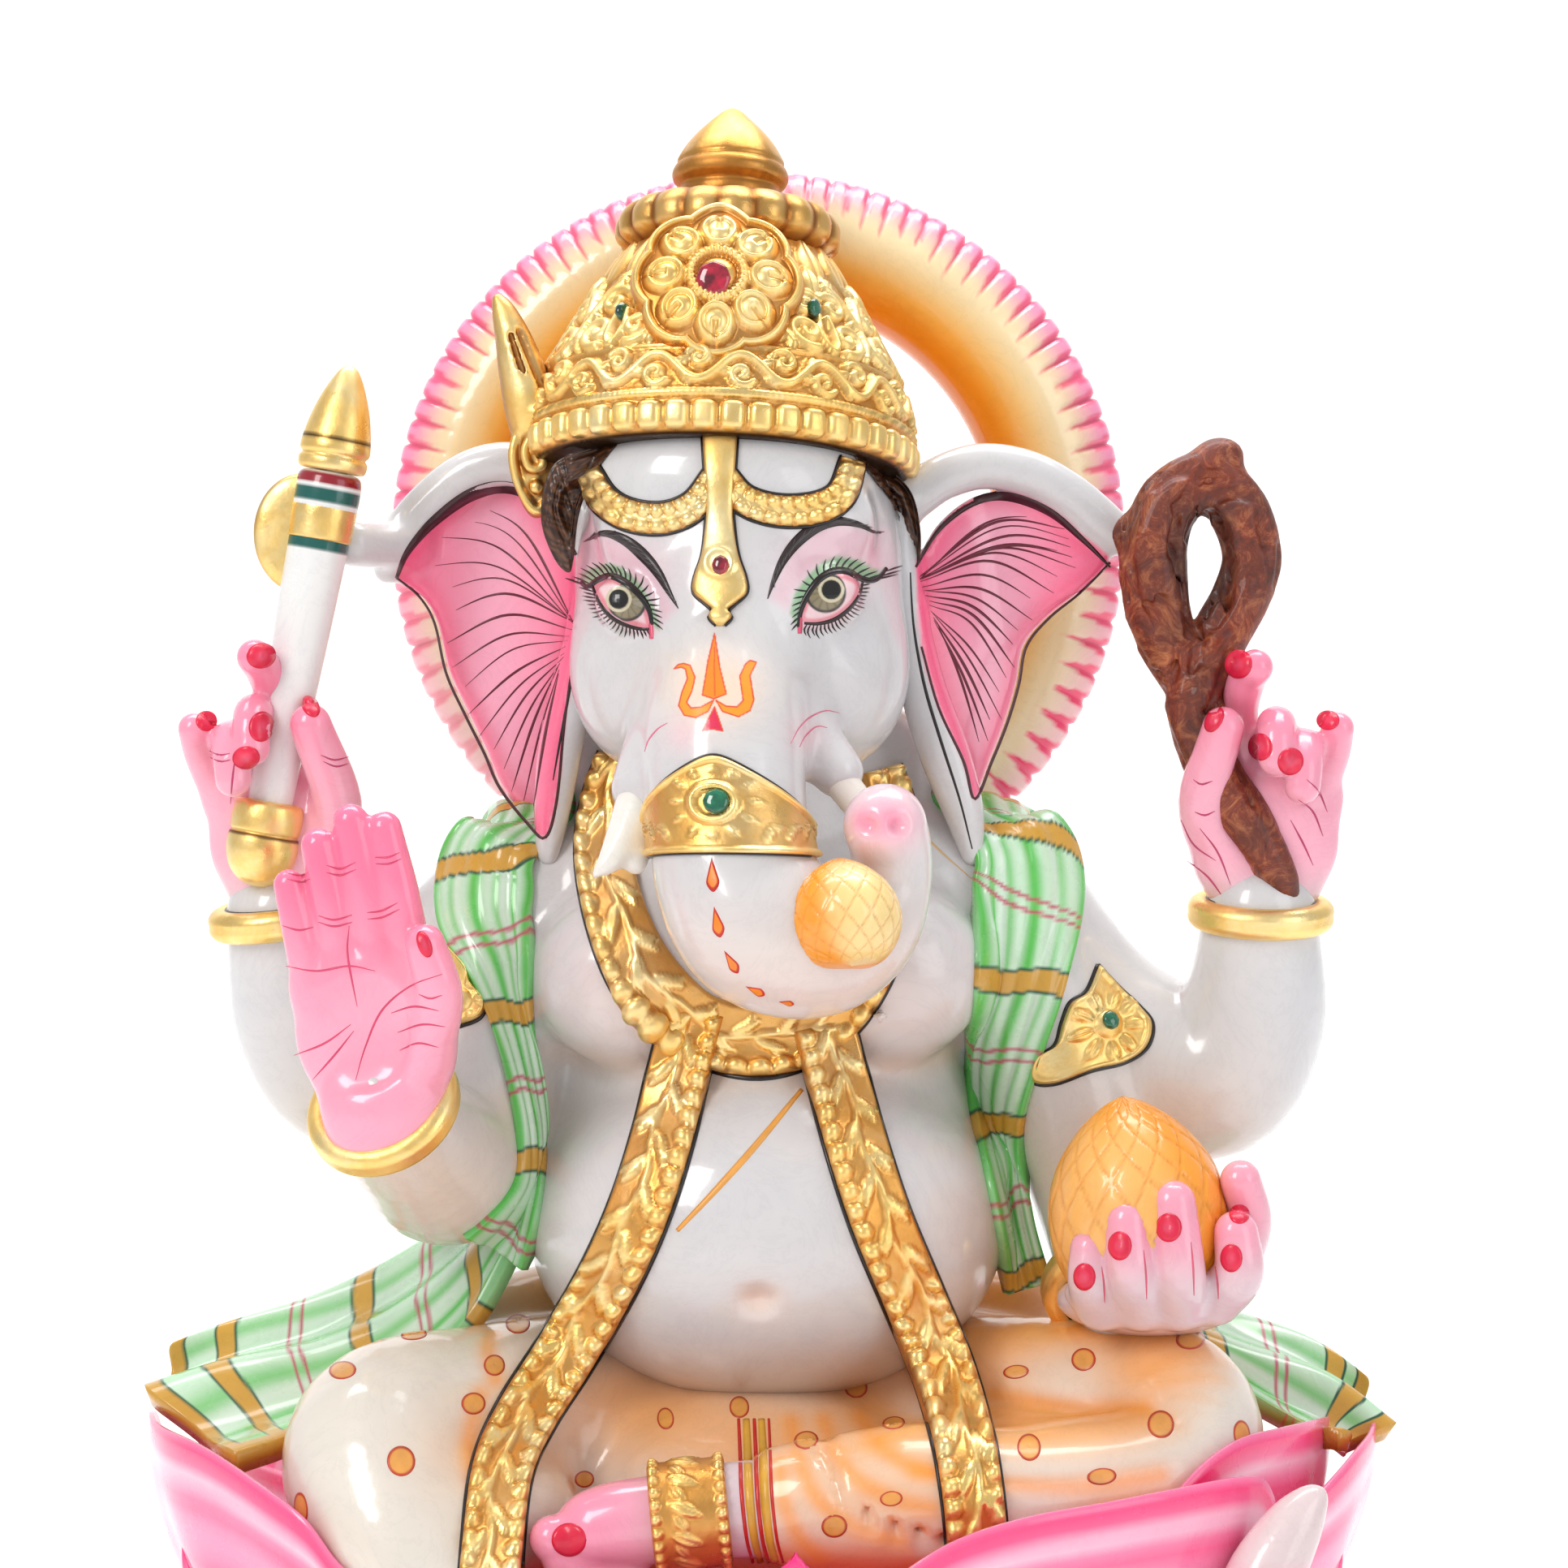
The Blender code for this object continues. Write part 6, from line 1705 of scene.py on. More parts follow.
necklace_strip = Strip(torso_tree, [(-37, 287), (-40, 276), (-41.5, 262), (-38, 244), (-30, 228),
                                    (-17, 216.5), (-2, 212.5), (12, 215.5), (23, 225), (30.5, 240),
                                    (34, 258), (34, 272), (31, 284)],
                       [6, 7, 7.5, 8, 9, 9, 9.5, 8.5, 7.5, 7, 6.5, 6, 5], 0.75, 0.7, 300)
relief = garland_relief(necklace_strip, 1)
# Painted shade in the relief's hollows.
necklace = necklace_strip.piece(1.6 + relief, 4, gilt_tone_and_shade(relief, 0.3, 1.5) + 0 * necklace_strip.base)
necklace.make("leaf_necklace", LEAF, "gold", "necklace")

RIGHT_GARLAND = [(-18, 221), (-22, 205), (-26, 188), (-32, 169), (-40, 151), (-51, 132), (-62, 115),
                 (-68.5, 100), (-71, 80), (-72, 66)]
LEFT_GARLAND = [(16, 217), (20, 201), (25, 183), (31, 165), (39, 146), (47, 127), (52, 110), (54.5, 96),
                (56, 82), (57, 66)]
garland_strips = []
for name, path, inner in (("garland_right", RIGHT_GARLAND, -1), ("garland_left", LEFT_GARLAND, 1)):
    strip = Strip(torso_tree, path, 7.9, 0.75, 0.7, 900, 5)
    relief = garland_relief(strip, inner, 72)
    # Painted shade in the relief's hollows.
    garland = strip.piece(1.4 + relief, 3.5, gilt_tone_and_shade(relief, 0.3, 1.5) + 0 * strip.base)
    garland.make("leaf_" + name, LEAF, "gold", name)
    garland_strips.append(strip)


def plaque_relief(middle, petals, reach):
    def height(share, u, v):
        du, dv = u - middle[0], v - middle[1]
        r, a = np.hypot(du, dv), np.arctan2(dv, du)
        h = 1.5 + 0 * u
        h = ridge(h, r, 4.2, 3.2)
        for q in range(petals):
            b = 2 * np.pi * q / petals
            h = leaf(h, r * np.cos(a - b), r * np.sin(a - b), 3.6, 0, 0, reach, 2.0, 3.0)
        h = np.maximum(h, 2.6 * bell(share - 0.93, 0.05))
        return h * smoothstep(1.02, 0.985, share) + 0.2
    return height


LEAF_LEFT = [(87.6, 232.3), (93.1, 226.4), (98.2, 221.7), (101.8, 217), (100.3, 211), (94.6, 207.2),
             (86.1, 205.1), (76.5, 201.7), (70.8, 202.5), (71.4, 207.9), (76.5, 211.5), (78.2, 217),
             (80.4, 222.5), (84.6, 225.5)]
LEAF_RIGHT = [(-81.6, 238), (-77, 232.7), (-75.9, 228.1), (-72.7, 223.4), (-74, 219.1), (-78.7, 217),
              (-82.3, 216.6), (-83.1, 221.7), (-83.6, 227.6), (-82.9, 233.2)]


def scuffed(_share, u, _v):
    """The armlets' leaf is uneven from point to point."""
    return gilt_tone_and_shade(np.random.default_rng(3).uniform(0.6, 1.0, u.shape), 0, 1, (0.8, 0.7, 0.6))


rear_tree = body.tree()
armlets = {}
for name, outline, middle, petals in (("armlet_left", LEAF_LEFT, (89.7, 216.6), 9),
                                      ("armlet_right", LEAF_RIGHT, (-79.5, 223.4), 7)):
    plate = plaque(rear_tree, outline, plaque_relief(middle, petals, 8.5), scuffed, 26,
                   2.0, None, 0.3, 2, 8)
    armlets[name] = sealed(plate)
    plate.make("leaf_" + name, LEAF, "gold", name)

BANGLES = {
    "bangle_rear_right": ((-125.8, -5, 245.5), (-0.12, -0.1, 1), 15.6, 15.2),
    "bangle_rear_left": ((130, -3.5, 246.5), (0.02, -0.14, 1), 15.8, 15.4),
    "bangle_front_right": ((-94.5, -58, 201.5), (-0.28, -0.72, 0.65), 16.5, 16.2),
    "bangle_front_left": ((92, -25, 153), (0.1, -0.75, -0.55), 17.5, 16.0),
}
for name, (centre, axis, ra, rb) in BANGLES.items():
    # Painted shade on the inner side of each ring's round section.
    ring = sealed(hoop(centre, axis, ra, rb, 3.6, 1.15, 0.14, 128, 24,
                       lambda a, b: gilt_tone_and_shade(np.cos(b - 0.4), -0.9, 0.1, (0.7, 0.55, 0.42))))
    ring.make("gilt_" + name, LEAF, "gold", name)
    up = np.array(axis, float) / np.linalg.norm(axis)
    brush.join(sealed(hoop(np.array(centre) + up * 3.4, axis, ra - 1.9, rb - 1.9, 0.75, 1, 0, 64, 6,
                           lambda a, b: BLACK)))


def make_anklet():
    side, other, up = turn_frame((1, 0.02, 0.1))
    rows, cols = ((170, 44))
    a = np.linspace(0, 2 * np.pi, rows, endpoint=False)[:, None]
    x = np.linspace(-9.5, 9.5, cols)[None, :]
    s = a * 14
    h = 0.8 + 0 * (s + x)
    for q in range(11):
        at = q * 2 * np.pi * 14 / 11
        h = leaf(h, s + 0 * x, x + 0 * s, at, -5, 1.1, 10, 2.2, 2.1)
        h = leaf(h, s + 0 * x, x + 0 * s, at + 3, -4, 0.6, 7, 1.7, 1.8)
    for edge in (-8.2, 8.2):
        h = beads(h, s + 0 * x, x + 0 * s, edge, 2 * np.pi * 14 / 24, 1.7, 2.0)
    h = h * smoothstep(9.6, 9.0, np.abs(x))
    r = 12.4 + h
    grid = (np.array([-17.5, -81.5, 104.5]) + x[..., None] * up
            + r[..., None] * (np.cos(a)[..., None] * side + np.sin(a)[..., None] * other))
    inside = (np.array([-17.5, -81.5, 104.5]) + x[..., None] * up
              + 9.0 * (np.cos(a)[..., None] * side + np.sin(a)[..., None] * other))
    ring = np.concatenate([grid, inside[:, ::-1]], axis=1)
    # Painted shade in the relief's hollows.
    colour = gilt_tone_and_shade(np.concatenate([h, h[:, ::-1]], axis=1), 0.8, 1.9) + 0 * ring
    return sealed(tube_piece(ring, colour, "loop"))


make_anklet().make("leaf_anklet", LEAF, "gold", "anklet_left")


# The goad, the noose and the sweets.

GOAD_FOOT, GOAD_HEAD = np.array([-129.5, -16, 264.0]), np.array([-112, -13, 361.0])
goad_run = GOAD_HEAD - GOAD_FOOT
goad_long = float(np.linalg.norm(goad_run))


def staff_paint(_a, _s, _r, p):
    z = (p - GOAD_FOOT) @ (goad_run / goad_long)
    c = linear(240, 240, 238)
    for low, high, shade in ((78.6, 81.5, TEAL), (91.0, 94.3, TEAL), (95.6, 98.2, linear(150, 16, 36))):
        c = tint(c, shade, smoothstep(low - 0.4, low + 0.1, z) * smoothstep(high + 0.4, high - 0.1, z))
    return c


staff = lathe([(2, 0), (5.6, 1.5), (5.8, 10), (6.4, 30), (7.4, 60), (8.0, 80), (8.3, goad_long - 1.5),
               (3, goad_long)], GOAD_FOOT, goad_run, 64, None, staff_paint, 30)
sealed(staff).make("goad_shaft", MARBLE, "marble", "goad_staff")
gilt_band = sealed(lathe([(7.6, 81.3), (8.25, 81.45), (8.45, 85.65), (8.5, 89.85), (7.6, 90.0)],
                         GOAD_FOOT, goad_run, 48, None, (1, 1, 1), 4))
# The spike and the knob are darkened almost to black at a groove.
tip = lathe([(5, 0.6), (8.4, 0.8), (9.0, 3.4), (8.2, 4.6), (9.1, 5.8), (8.9, 9), (7.4, 16), (5.0, 22.5),
             (2.6, 27), (0.6, 28.6)], GOAD_HEAD, goad_run, 56, None,
            lambda a, s, r, p: gilt_tone_and_shade(np.abs(s - 0.36), 0.0, 0.03, (0.06, 0.03, 0.03)) + 0 * p, 6)
sealed(tip).make("goad_spike", LEAF, "gold", "goad_tip")
pommel = lathe([(6.6, 12.4), (8.6, 11.6), (9.3, 8.4), (9.1, 4.7), (8.4, 3.9), (9.2, 3.1), (9.3, -0.6),
                (8.0, -5), (5.6, -8), (2.6, -9.6), (0.6, -9.9)], GOAD_FOOT, goad_run, 56,
               None, lambda a, s, r, p: gilt_tone_and_shade(np.abs(s - 0.39), 0.0, 0.03, (0.1, 0.03, 0.03)) + 0 * p, 6)
sealed(pommel).make("goad_knob", LEAF, "gold", "goad_pommel")


def make_blade():
    around = 72
    a = np.linspace(0, 2 * np.pi, around, endpoint=False)[None, :]
    k = np.array([0.02, 0.25, 0.5, 0.75, 0.92, 0.985, 1.0, 0.985, 0.9, 0.6, 0.3, 0.02])[:, None]
    y = np.array([-2.5, -2.5, -2.45, -2.3, -1.9, -1.1, 0, 1.1, 1.9, 2.3, 2.5, 2.5])[:, None]
    grid = np.stack([-119.5 + 12.4 * k * np.cos(a), -14 + y + 0 * a, 345.5 + 15.5 * k * np.sin(a)], -1)
    # Darker towards the rim.
    return sealed(tube_piece(grid, gilt_tone_and_shade(k + 0 * a, 1.02, 0.9, (0.75, 0.6, 0.5)) + 0 * grid))


make_blade().make("goad_half_moon", LEAF, "gold", "goad_blade")


ROPE_PATH = [(112, -9, 307, 8), (104, -8, 321, 8.4), (101.6, -8, 334, 9), (102, -8, 344, 9.2),
             (106, -8, 353.5, 8.6), (115, -8, 358, 8.8), (123.5, -8, 352, 8.2), (127.3, -8, 340, 7.8),
             (124.5, -8, 329, 7.8), (118.5, -9, 318, 7.8), (112.5, -11, 305, 8), (113.5, -13, 293, 7.6),
             (118, -13, 282, 7), (125, -13, 271, 7.2), (133, -13.5, 258, 5.2), (136, -13, 252.5, 3.2)]


def make_noose():
    clay = Clay((84, -26, 242), (146, 8, 380), 0.8)
    clay.limb(ROPE_PATH, 3)
    clay.ball((119, -8, 366), (6, 5.5, 4.5), 4).ball((96, -6, 345.5), (5, 4.5, 5), 3)
    rng = np.random.default_rng(11)
    centre = spline([row[:3] for row in ROPE_PATH[:-1]], 4)
    for k in range(len(centre) - 2):
        run = unit(centre[k + 1] - centre[k])
        for _ in range(2):
            a = rng.uniform(-1.8, 1.8)
            front = np.array([0, -1.0, 0])
            across = unit(np.cross(run, front))
            out = unit(front * math.cos(a) + across * math.sin(a))
            start = centre[k] + out * rng.uniform(7.4, 9.0) + run * rng.uniform(-4, 4)
            end = start + run * rng.uniform(7, 15) + across * rng.uniform(-4, 4) - out * 0.8
            clay.limb([(*start, 0.5), (*((start + end) / 2 + out * 0.5), 0.8), (*end, 0.4)], 2.4, True, 3)
    points, quads = clay.surface()
    tone = 0.72 + 0.28 * lumps(points, 6, 2)
    # Painted shade: the rope is darker on the inside of its loop.
    inner = smoothstep(11, 5, np.hypot(points[:, 0] - 114.5, (points[:, 2] - 340) * 0.55))
    shade = (tone * (1 - 0.6 * inner))[:, None] * np.array([1.1, 0.94, 0.84])
    return Piece(points, quads, shade)


make_noose().make("twisted_noose", ROPE, "brown", "noose")


def make_modak(centre, radius, high, lean, tilt, least):
    rows, cols = ((110, 168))
    profile = even(spline([(0.02, -0.44, 0), (0.5, -0.42, 0), (0.8, -0.3, 0), (0.98, -0.1, 0),
                           (0.98, 0.1, 0), (0.84, 0.28, 0), (0.55, 0.44, 0), (0.24, 0.54, 0),
                           (0.02, 0.58, 0)], 10), rows)
    a = np.linspace(0, 2 * np.pi, cols, endpoint=False)[None, :]
    s = np.linspace(0, 1, rows)[:, None]
    n = 14
    one = np.abs(((a * n / (2 * np.pi) + s * 7.0) % 1) - 0.5)
    two = np.abs(((a * n / (2 * np.pi) - s * 7.0 + 0.5) % 1) - 0.5)
    line = np.maximum(smoothstep(0.42, 0.5, one), smoothstep(0.42, 0.5, two))
    r = radius * profile[:, 0:1] - 0.45 * line * (radius / 16) + 0.25 * np.sin(a * 3) * profile[:, 0:1]
    grid = np.stack([r * np.cos(a), r * np.sin(a), high * profile[:, 1:2] + 0 * a], -1)
    # The sweet is orange all round and on top, and paler towards one side set by tilt. That pale side is
    # partly its own cream and partly a painted highlight, and least is how much orange it keeps.
    tint_share = np.maximum(smoothstep(0.95, 0.3, -np.sin(a - tilt)), smoothstep(0.7, 0.94, s))
    colour = tint(linear(255, 230, 160), linear(252, 156, 20), least + (0.95 - least) * tint_share)
    colour = tint(colour, linear(246, 150, 40), 0.4 * line)
    turn = np.array(Euler([math.radians(v) for v in lean]).to_matrix())
    return sealed(tube_piece(grid @ turn.T + np.array(centre), colour))


trunk_sweet = make_modak((20.5, -81, 250), 14.2, 27, (-20, 0, 20), 0.3, 0.12)
hand_sweet = make_modak((95.5, -42, 171), 23, 55, (0, -8, 0), -0.5, 0.62)
trunk_sweet.make("trunk_sweet", SWEET, "modak", "trunk_modak")
hand_sweet.make("hand_sweet", SWEET, "modak", "hand_modak")

# The shawl: one striped cloth over both shoulders, with two ends lying on the seat.


def cloth_paint(s, t, phase):
    """White and green stripes along a cloth, with gilt bands and thin double lines across it."""
    wander = t + 0.04 * np.sin(s * 0.09)
    green = np.zeros_like(t)
    for at, wide in ((-0.95, 0.13), (-0.5, 0.1), (-0.08, 0.13), (0.38, 0.1), (0.66, 0.05), (0.95, 0.12)):
        green = np.maximum(green, bell(wander - at, wide))
    c = tint(linear(206, 236, 208), linear(92, 200, 84), green)
    c = tint(c, linear(236, 246, 238), bell(np.abs(wander) - 0.45, 0.08) * 0.7)
    pitch = 38.5
    q = (s - phase + 0.9 * np.sin(t * 3)) % pitch
    q = np.minimum(q, pitch - q)
    c = tint(c, linear(8, 84, 62), smoothstep(3.5, 3.2, q) * smoothstep(2.3, 2.6, q))
    c = tint(c, linear(214, 164, 62), smoothstep(2.7, 2.4, q))
    m = (s - phase - 19.2 + 0.9 * np.sin(t * 3)) % pitch
    m = np.minimum(m, pitch - m)
    return tint(c, linear(196, 60, 104), 0.9 * smoothstep(0.75, 0.25, np.abs(m - 1.5)))


def shawl_height(t, s):
    """How far the cloth's soft folds stand over the figure."""
    folds = np.abs(np.sin(t * 7.2 + 0.5 * np.sin(s * 0.05))) ** 0.7
    return 1.9 + 0.75 * folds + 0.4 * np.sin(s * 0.07 + t * 3)


def make_shawl():
    front = [(-70, 158, 9), (-66, 164, 7.5), (-62.5, 171, 5.2), (-60.5, 178, 3.8), (-60.8, 190, 3.8),
             (-63.8, 208, 4.6), (-66.5, 222, 6.4), (-69, 234, 9.5), (-73, 245, 12.6), (-73.2, 255, 13),
             (-70, 265, 11)]
    back = [(-62, 12, 278, -0.6, 0.1, 0.8, 12), (-60, 42, 262, 0, 1, 0.5, 17), (-40, 62, 238, 0, 1, 0, 17),
            (0, 66, 222, 0, 1, 0, 17), (40, 62, 238, 0, 1, 0, 17), (60, 42, 262, 0, 1, 0.5, 17),
            (61, 12, 281, 0.6, 0.1, 0.8, 13)]
    other = [(66.5, 267, 12), (69.8, 253, 14.6), (67.2, 230, 12.4), (63.6, 209, 9.6), (62.4, 188, 6.4),
             (65.6, 166, 5.4), (70, 147, 6.2)]

    def seen_rows(drawn):
        return [(*sight(np.array(u), np.array(v), np.array(0.985)), 0, -1, 0, wide) for u, v, wide in drawn]

    line = spline(seen_rows(front) + back + seen_rows(other), 12)
    fine = 0.75
    line = even(line, int(length_of(line[:, :3]) / fine))
    cols = 43
    run = unit(blurred(np.gradient(line[:, :3], axis=0), 20))
    out = unit(blurred(line[:, 3:6], 40))
    side = unit(np.cross(run, out))
    t = np.linspace(-1, 1, cols)[None, :] + 0 * line[:, :1]
    s = np.linspace(0, length_of(line[:, :3]), len(line))[:, None] + 0 * t
    start = line[:, None, :3] + side[:, None] * (t * line[:, 6:7])[..., None] + out[:, None] * 70
    gap = np.full(t.shape, np.nan)
    for i in range(len(line)):
        way = Vector(-out[i])
        for j in range(cols):
            hit = rear_tree.ray_cast(Vector(start[i, j]), way, 120)
            if hit[0] is not None:
                gap[i, j] = hit[3]
    gap = np.clip(filled(gap), 30, 110)
    tight = gap.copy()
    for _ in range(160):
        tight = np.minimum(gap, blurred(tight, 1))
    tight = blurred(blurred(tight, 6), 4, 1)
    base = start - out[:, None] * tight[..., None]
    normal = unit(blurred(blurred(grid_normals(base), 6), 3, 1))
    if (normal * out[:, None]).sum() < 0:
        normal = -normal
    rim = smoothstep(1.0, 0.9, np.abs(t))
    h = 0.6 + (shawl_height(t, s) - 0.6) * (0.55 + 0.45 * rim)
    h = h * (0.75 + 0.25 * smoothstep(0, 6, np.minimum(s, s.max() - s)))
    half = s.max() / 2
    colours = []
    for run, phase in ((s, 25.6), (s.max() - s, 4.0)):
        slant = 10 * t * smoothstep(84, 112, run) * smoothstep(190, 150, run)
        colours.append(cloth_paint(run - slant, t, phase))
    colour = np.where((s < half)[..., None], *colours)
    return sealed(slab(base + normal * h[..., None], base - normal * 2.0, colour))


def make_cloth_end(columns):
    """One end of the shawl over the seat, from three points across at each of its stations."""
    grid = np.array(columns, float)
    cross = np.stack([spline(c, 10) for c in grid])
    along = np.stack([spline(cross[:, k], 12) for k in range(cross.shape[1])], axis=1)
    rows, cols = ((150, 56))
    i, j = np.linspace(0, along.shape[0] - 1.001, rows), np.linspace(0, along.shape[1] - 1.001, cols)
    a, b = i.astype(int), j.astype(int)
    fi, fj = (i - a)[:, None, None], (j - b)[None, :, None]
    base = ((along[a][:, b] * (1 - fi) + along[a + 1][:, b] * fi) * (1 - fj)
            + (along[a][:, b + 1] * (1 - fi) + along[a + 1][:, b + 1] * fi) * fj)
    t = np.linspace(-1, 1, cols)[None, :] + np.zeros((rows, 1))
    step = np.linalg.norm(np.diff(base[:, cols // 2], axis=0), axis=1)
    s = np.concatenate([[0], np.cumsum(step)])[:, None] + 0 * t
    normal = grid_normals(base)
    if normal[..., 2].mean() < 0:
        normal = -normal
    flare = smoothstep(0.1, 1.0, s / s.max())
    fold = (0.8 + 2.4 * flare) * np.sin(t * (6.2 + 1.2 * flare) + 0.8 * flare)
    h = 3.2 + fold
    run = unit(np.gradient(base, axis=0))
    base = base + run * (2.2 * smoothstep(0.7, 1, s / s.max()) * np.sin(t * 7.5 + 1))[..., None]
    colour = cloth_paint(s, t, 20.0)
    hem = np.maximum(smoothstep(s.max() - 4.2, s.max() - 3.8, s), smoothstep(0.9, 0.93, t) * flare)
    colour = tint(colour, linear(8, 84, 62), smoothstep(s.max() - 5.0, s.max() - 4.6, s))
    colour = tint(colour, linear(208, 158, 58), hem)
    return sealed(slab(base + normal * h[..., None], base - normal * (2.5 - 0.9 * fold)[..., None], colour))


make_shawl().make("striped_shawl", PETAL, "green", "shawl_right", "shawl_left")
END_RIGHT = [[(-59, 14, 184), (-62, -6, 176), (-62, -18, 164)],
             [(-73, 18, 168), (-75, -4, 157), (-75, -22, 141)],
             [(-92, 20, 154), (-94, -4, 142), (-92, -28, 128)],
             [(-114, 18, 143), (-115, -6, 132), (-108, -36, 118)],
             [(-134, 12, 136), (-138, -10, 127), (-119, -44, 112)],
             [(-149, 6, 132), (-157, -12, 121), (-130, -52, 109)]]
END_LEFT = [[(96, 24, 146), (98, 4, 142), (104, -10, 134)],
            [(118, 22, 138), (122, 0, 132), (126, -16, 120)],
            [(138, 16, 131), (144, -4, 124), (141, -22, 111)],
            [(152, 8, 124), (160, -10, 112), (146, -26, 110)]]
make_cloth_end(END_RIGHT).make("shawl_hem_right", PETAL, "green", "shawl_end_right")
make_cloth_end(END_LEFT).make("shawl_hem_left", PETAL, "green", "shawl_end_left")


# Hair under the crown's rim.


def make_hair():
    piece = Piece()
    right = [(-51.4, 366.2), (-38.3, 369.4), (-43.6, 363.1), (-46.3, 356.7), (-48.5, 349.2),
             (-49.7, 338.6), (-51, 335.4), (-54.4, 338.6), (-57.8, 347.1), (-57.8, 355.6), (-55.3, 363.1)]
    left = [(21.7, 368.8), (31.9, 363.1), (38.7, 356.7), (41.2, 347.1), (41, 338.6), (38.7, 336.5),
            (36.6, 345), (34, 353.1), (30.2, 359.9), (25.1, 364.1)]
    for outline in (right, left):
        def strands(share, u, v):
            wave = 0.5 + 0.35 * np.sin(v * 2.1 + u * 1.4) * np.sin(u * 2.3 - v * 0.9)
            return wave * smoothstep(1.05, 0.9, share) + 0.05

        def shade(_share, u, v):
            k = 0.5 + 0.5 * np.sin(v * 3.1 + u * 1.6 + 2 * np.sin(v * 1.1))
            return tint(linear(52, 26, 16), linear(122, 76, 44), 0.8 * k**3)
        plaque(head_tree, outline, strands, shade, 22, 1.0, piece, 0.3, 2, 8)
    return sealed(piece)


make_hair().make("painted_hair", ENAMEL, "brown")


lash = np.random.default_rng(5)
for side, eye in EYES.items():
    hand = -1 if side == "right" else 1
    brow = np.array(eye["brow"])
    ribbon(head_tree, brow, 1.6, linear(46, 34, 36), 0.22, 0.93, 0.5)
    line = spline(brow, 8)
    for k in range(6, len(line) - 6, 2):
        run = unit(line[k + 1] - line[k])
        start = line[k] + np.array([-run[1], run[0]]) * lash.uniform(-0.8, 0.3)
        end = start + run * 2.2 + np.array([-run[1], run[0]]) * lash.uniform(0.4, 0.9)
        ribbon(head_tree, [start, end], 0.14, linear(96, 84, 84), 0.3, 0.7, 0.6, smooth=False)
    ribbon(head_tree, eye["upper"], 0.95, linear(22, 8, 10), 0.24, 0.5, 0.5)
    ribbon(head_tree, eye["lower"], 0.55, linear(30, 8, 12), 0.22, 0.4, 0.5)
    ribbon(head_tree, eye["drop"], 0.65, linear(226, 90, 120), 0.22, 0.2, 0.5, smooth=False)
    upper, lower = spline(eye["upper"], 8), spline(eye["lower"], 8)
    middle = np.array(eye["iris"][:2])
    for rows, count, long, shade in ((upper, 25, 4.2, linear(14, 22, 16)),
                                     (lower, 24, 3.0, linear(24, 10, 12))):
        rows = even(np.column_stack([rows, np.zeros(len(rows))]), count)[:, :2]
        for k, at in enumerate(rows[1:-1]):
            share = (k + 1) / count
            away = unit(at - middle)
            outward = np.array([hand, 0.25])
            bend = share if hand > 0 else 1 - share
            if long < 3:
                bend = 1 - bend
            way = unit(away + outward * 0.75 * bend)
            size = long * lash.uniform(0.8, 1.15) * (0.75 + 0.6 * bend)
            mid = at + away * size * 0.55
            end = at + (away * 0.5 + way * 0.5) * size
            ribbon(head_tree, [at, mid, end], 0.25, shade, 0.2, 0.85, 0.6)

for outline in ([(9.6, 289.7), (10.8, 292.1), (13, 294.5), (14.9, 295.2), (16.8, 294.7)],
                [(7.2, 290.5), (9.4, 294.6), (12.5, 297.6), (16.4, 299.2), (20, 298.6)],
                [(-25, 296), (-27.5, 294.5), (-30, 291.5), (-31, 288.5)]):
    ribbon(head_tree, outline, 0.22, linear(226, 110, 140), 0.12)

# Trunk drops, the belly's thread, and the outlines of the necklace, garlands, pendant, swags and armlets.

for (u, v), turn, size in (((-13.2, 255.6), 0.05, 3.4), ((-11.9, 243.3), 0.2, 3.1), ((-8.1, 233), 0.55, 2.6),
                           ((-1.7, 225.7), 1.15, 2.1), ((6.4, 222.6), 1.4, 1.5)):
    c, s = math.cos(turn), math.sin(turn)
    corners = ((0, 1.5 * size), (0.32 * size, 0.4 * size), (0.5 * size, -0.5 * size), (0, -1.15 * size),
               (-0.5 * size, -0.5 * size), (-0.32 * size, 0.4 * size))
    drop = [(x * c - z * s + u, x * s + z * c + v) for x, z in corners]
    plaque(head_tree, drop, 0.22, rimmed(linear(250, 140, 28), linear(206, 30, 24), 0.66, 0.78), 8, 0.4,
           brush)
ribbon(torso_tree, [(10.2, 200), (-2.1, 185.1), (-12.8, 173.2), (-22.5, 163)], 0.9, linear(238, 168, 78),
       0.2, 0.4)
ribbon(torso_tree, [(28.7, 281.2), (36.1, 272.7), (45.7, 263.1), (55.3, 254.6)], 0.28,
       linear(232, 190, 130), 0.15)


def strip_edge(strip, column, out):
    """A strip's edge in the drawing plane, a little outside it: column 0 is its first edge, -1 its last."""
    edge = np.column_stack([strip.u[:, column], strip.v[:, column]])
    half = strip.u.shape[1] // 2
    middle = np.column_stack([strip.u[:, half], strip.v[:, half]])
    return edge + unit(edge - middle) * out


for strip, columns in ((necklace_strip, (-1,)), (garland_strips[0], (0, -1)), (garland_strips[1], (0, -1))):
    for column in columns:
        edge = strip_edge(strip, column, 0.25)
        line = even(np.column_stack([edge, np.zeros(len(edge))]), 70)[:, :2]
        ribbon(torso_tree, line, 0.6, BLACK, 0.9, 0.3, 0.8, smooth=False)

for path, wide in ((PENDANT, PENDANT_WIDE), (SWAG_RIGHT, SWAG_WIDE), (SWAG_LEFT, SWAG_WIDE)):
    strip = Strip(head_tree, path, wide, 1.0, 1.0, 5)
    for column in (0, -1):
        ribbon(head_tree, strip_edge(strip, column, 0.2), 0.5, BLACK, 0.7, 0.3, 0.6, smooth=False)

for outline in (LEAF_LEFT, LEAF_RIGHT):
    ring = np.array(outline + outline[:1])
    ribbon(rear_tree, ring.mean(0) + (ring - ring.mean(0)) * 1.02, 0.6, BLACK, 0.8, 0.1, 0.8)

# The ears' veins.

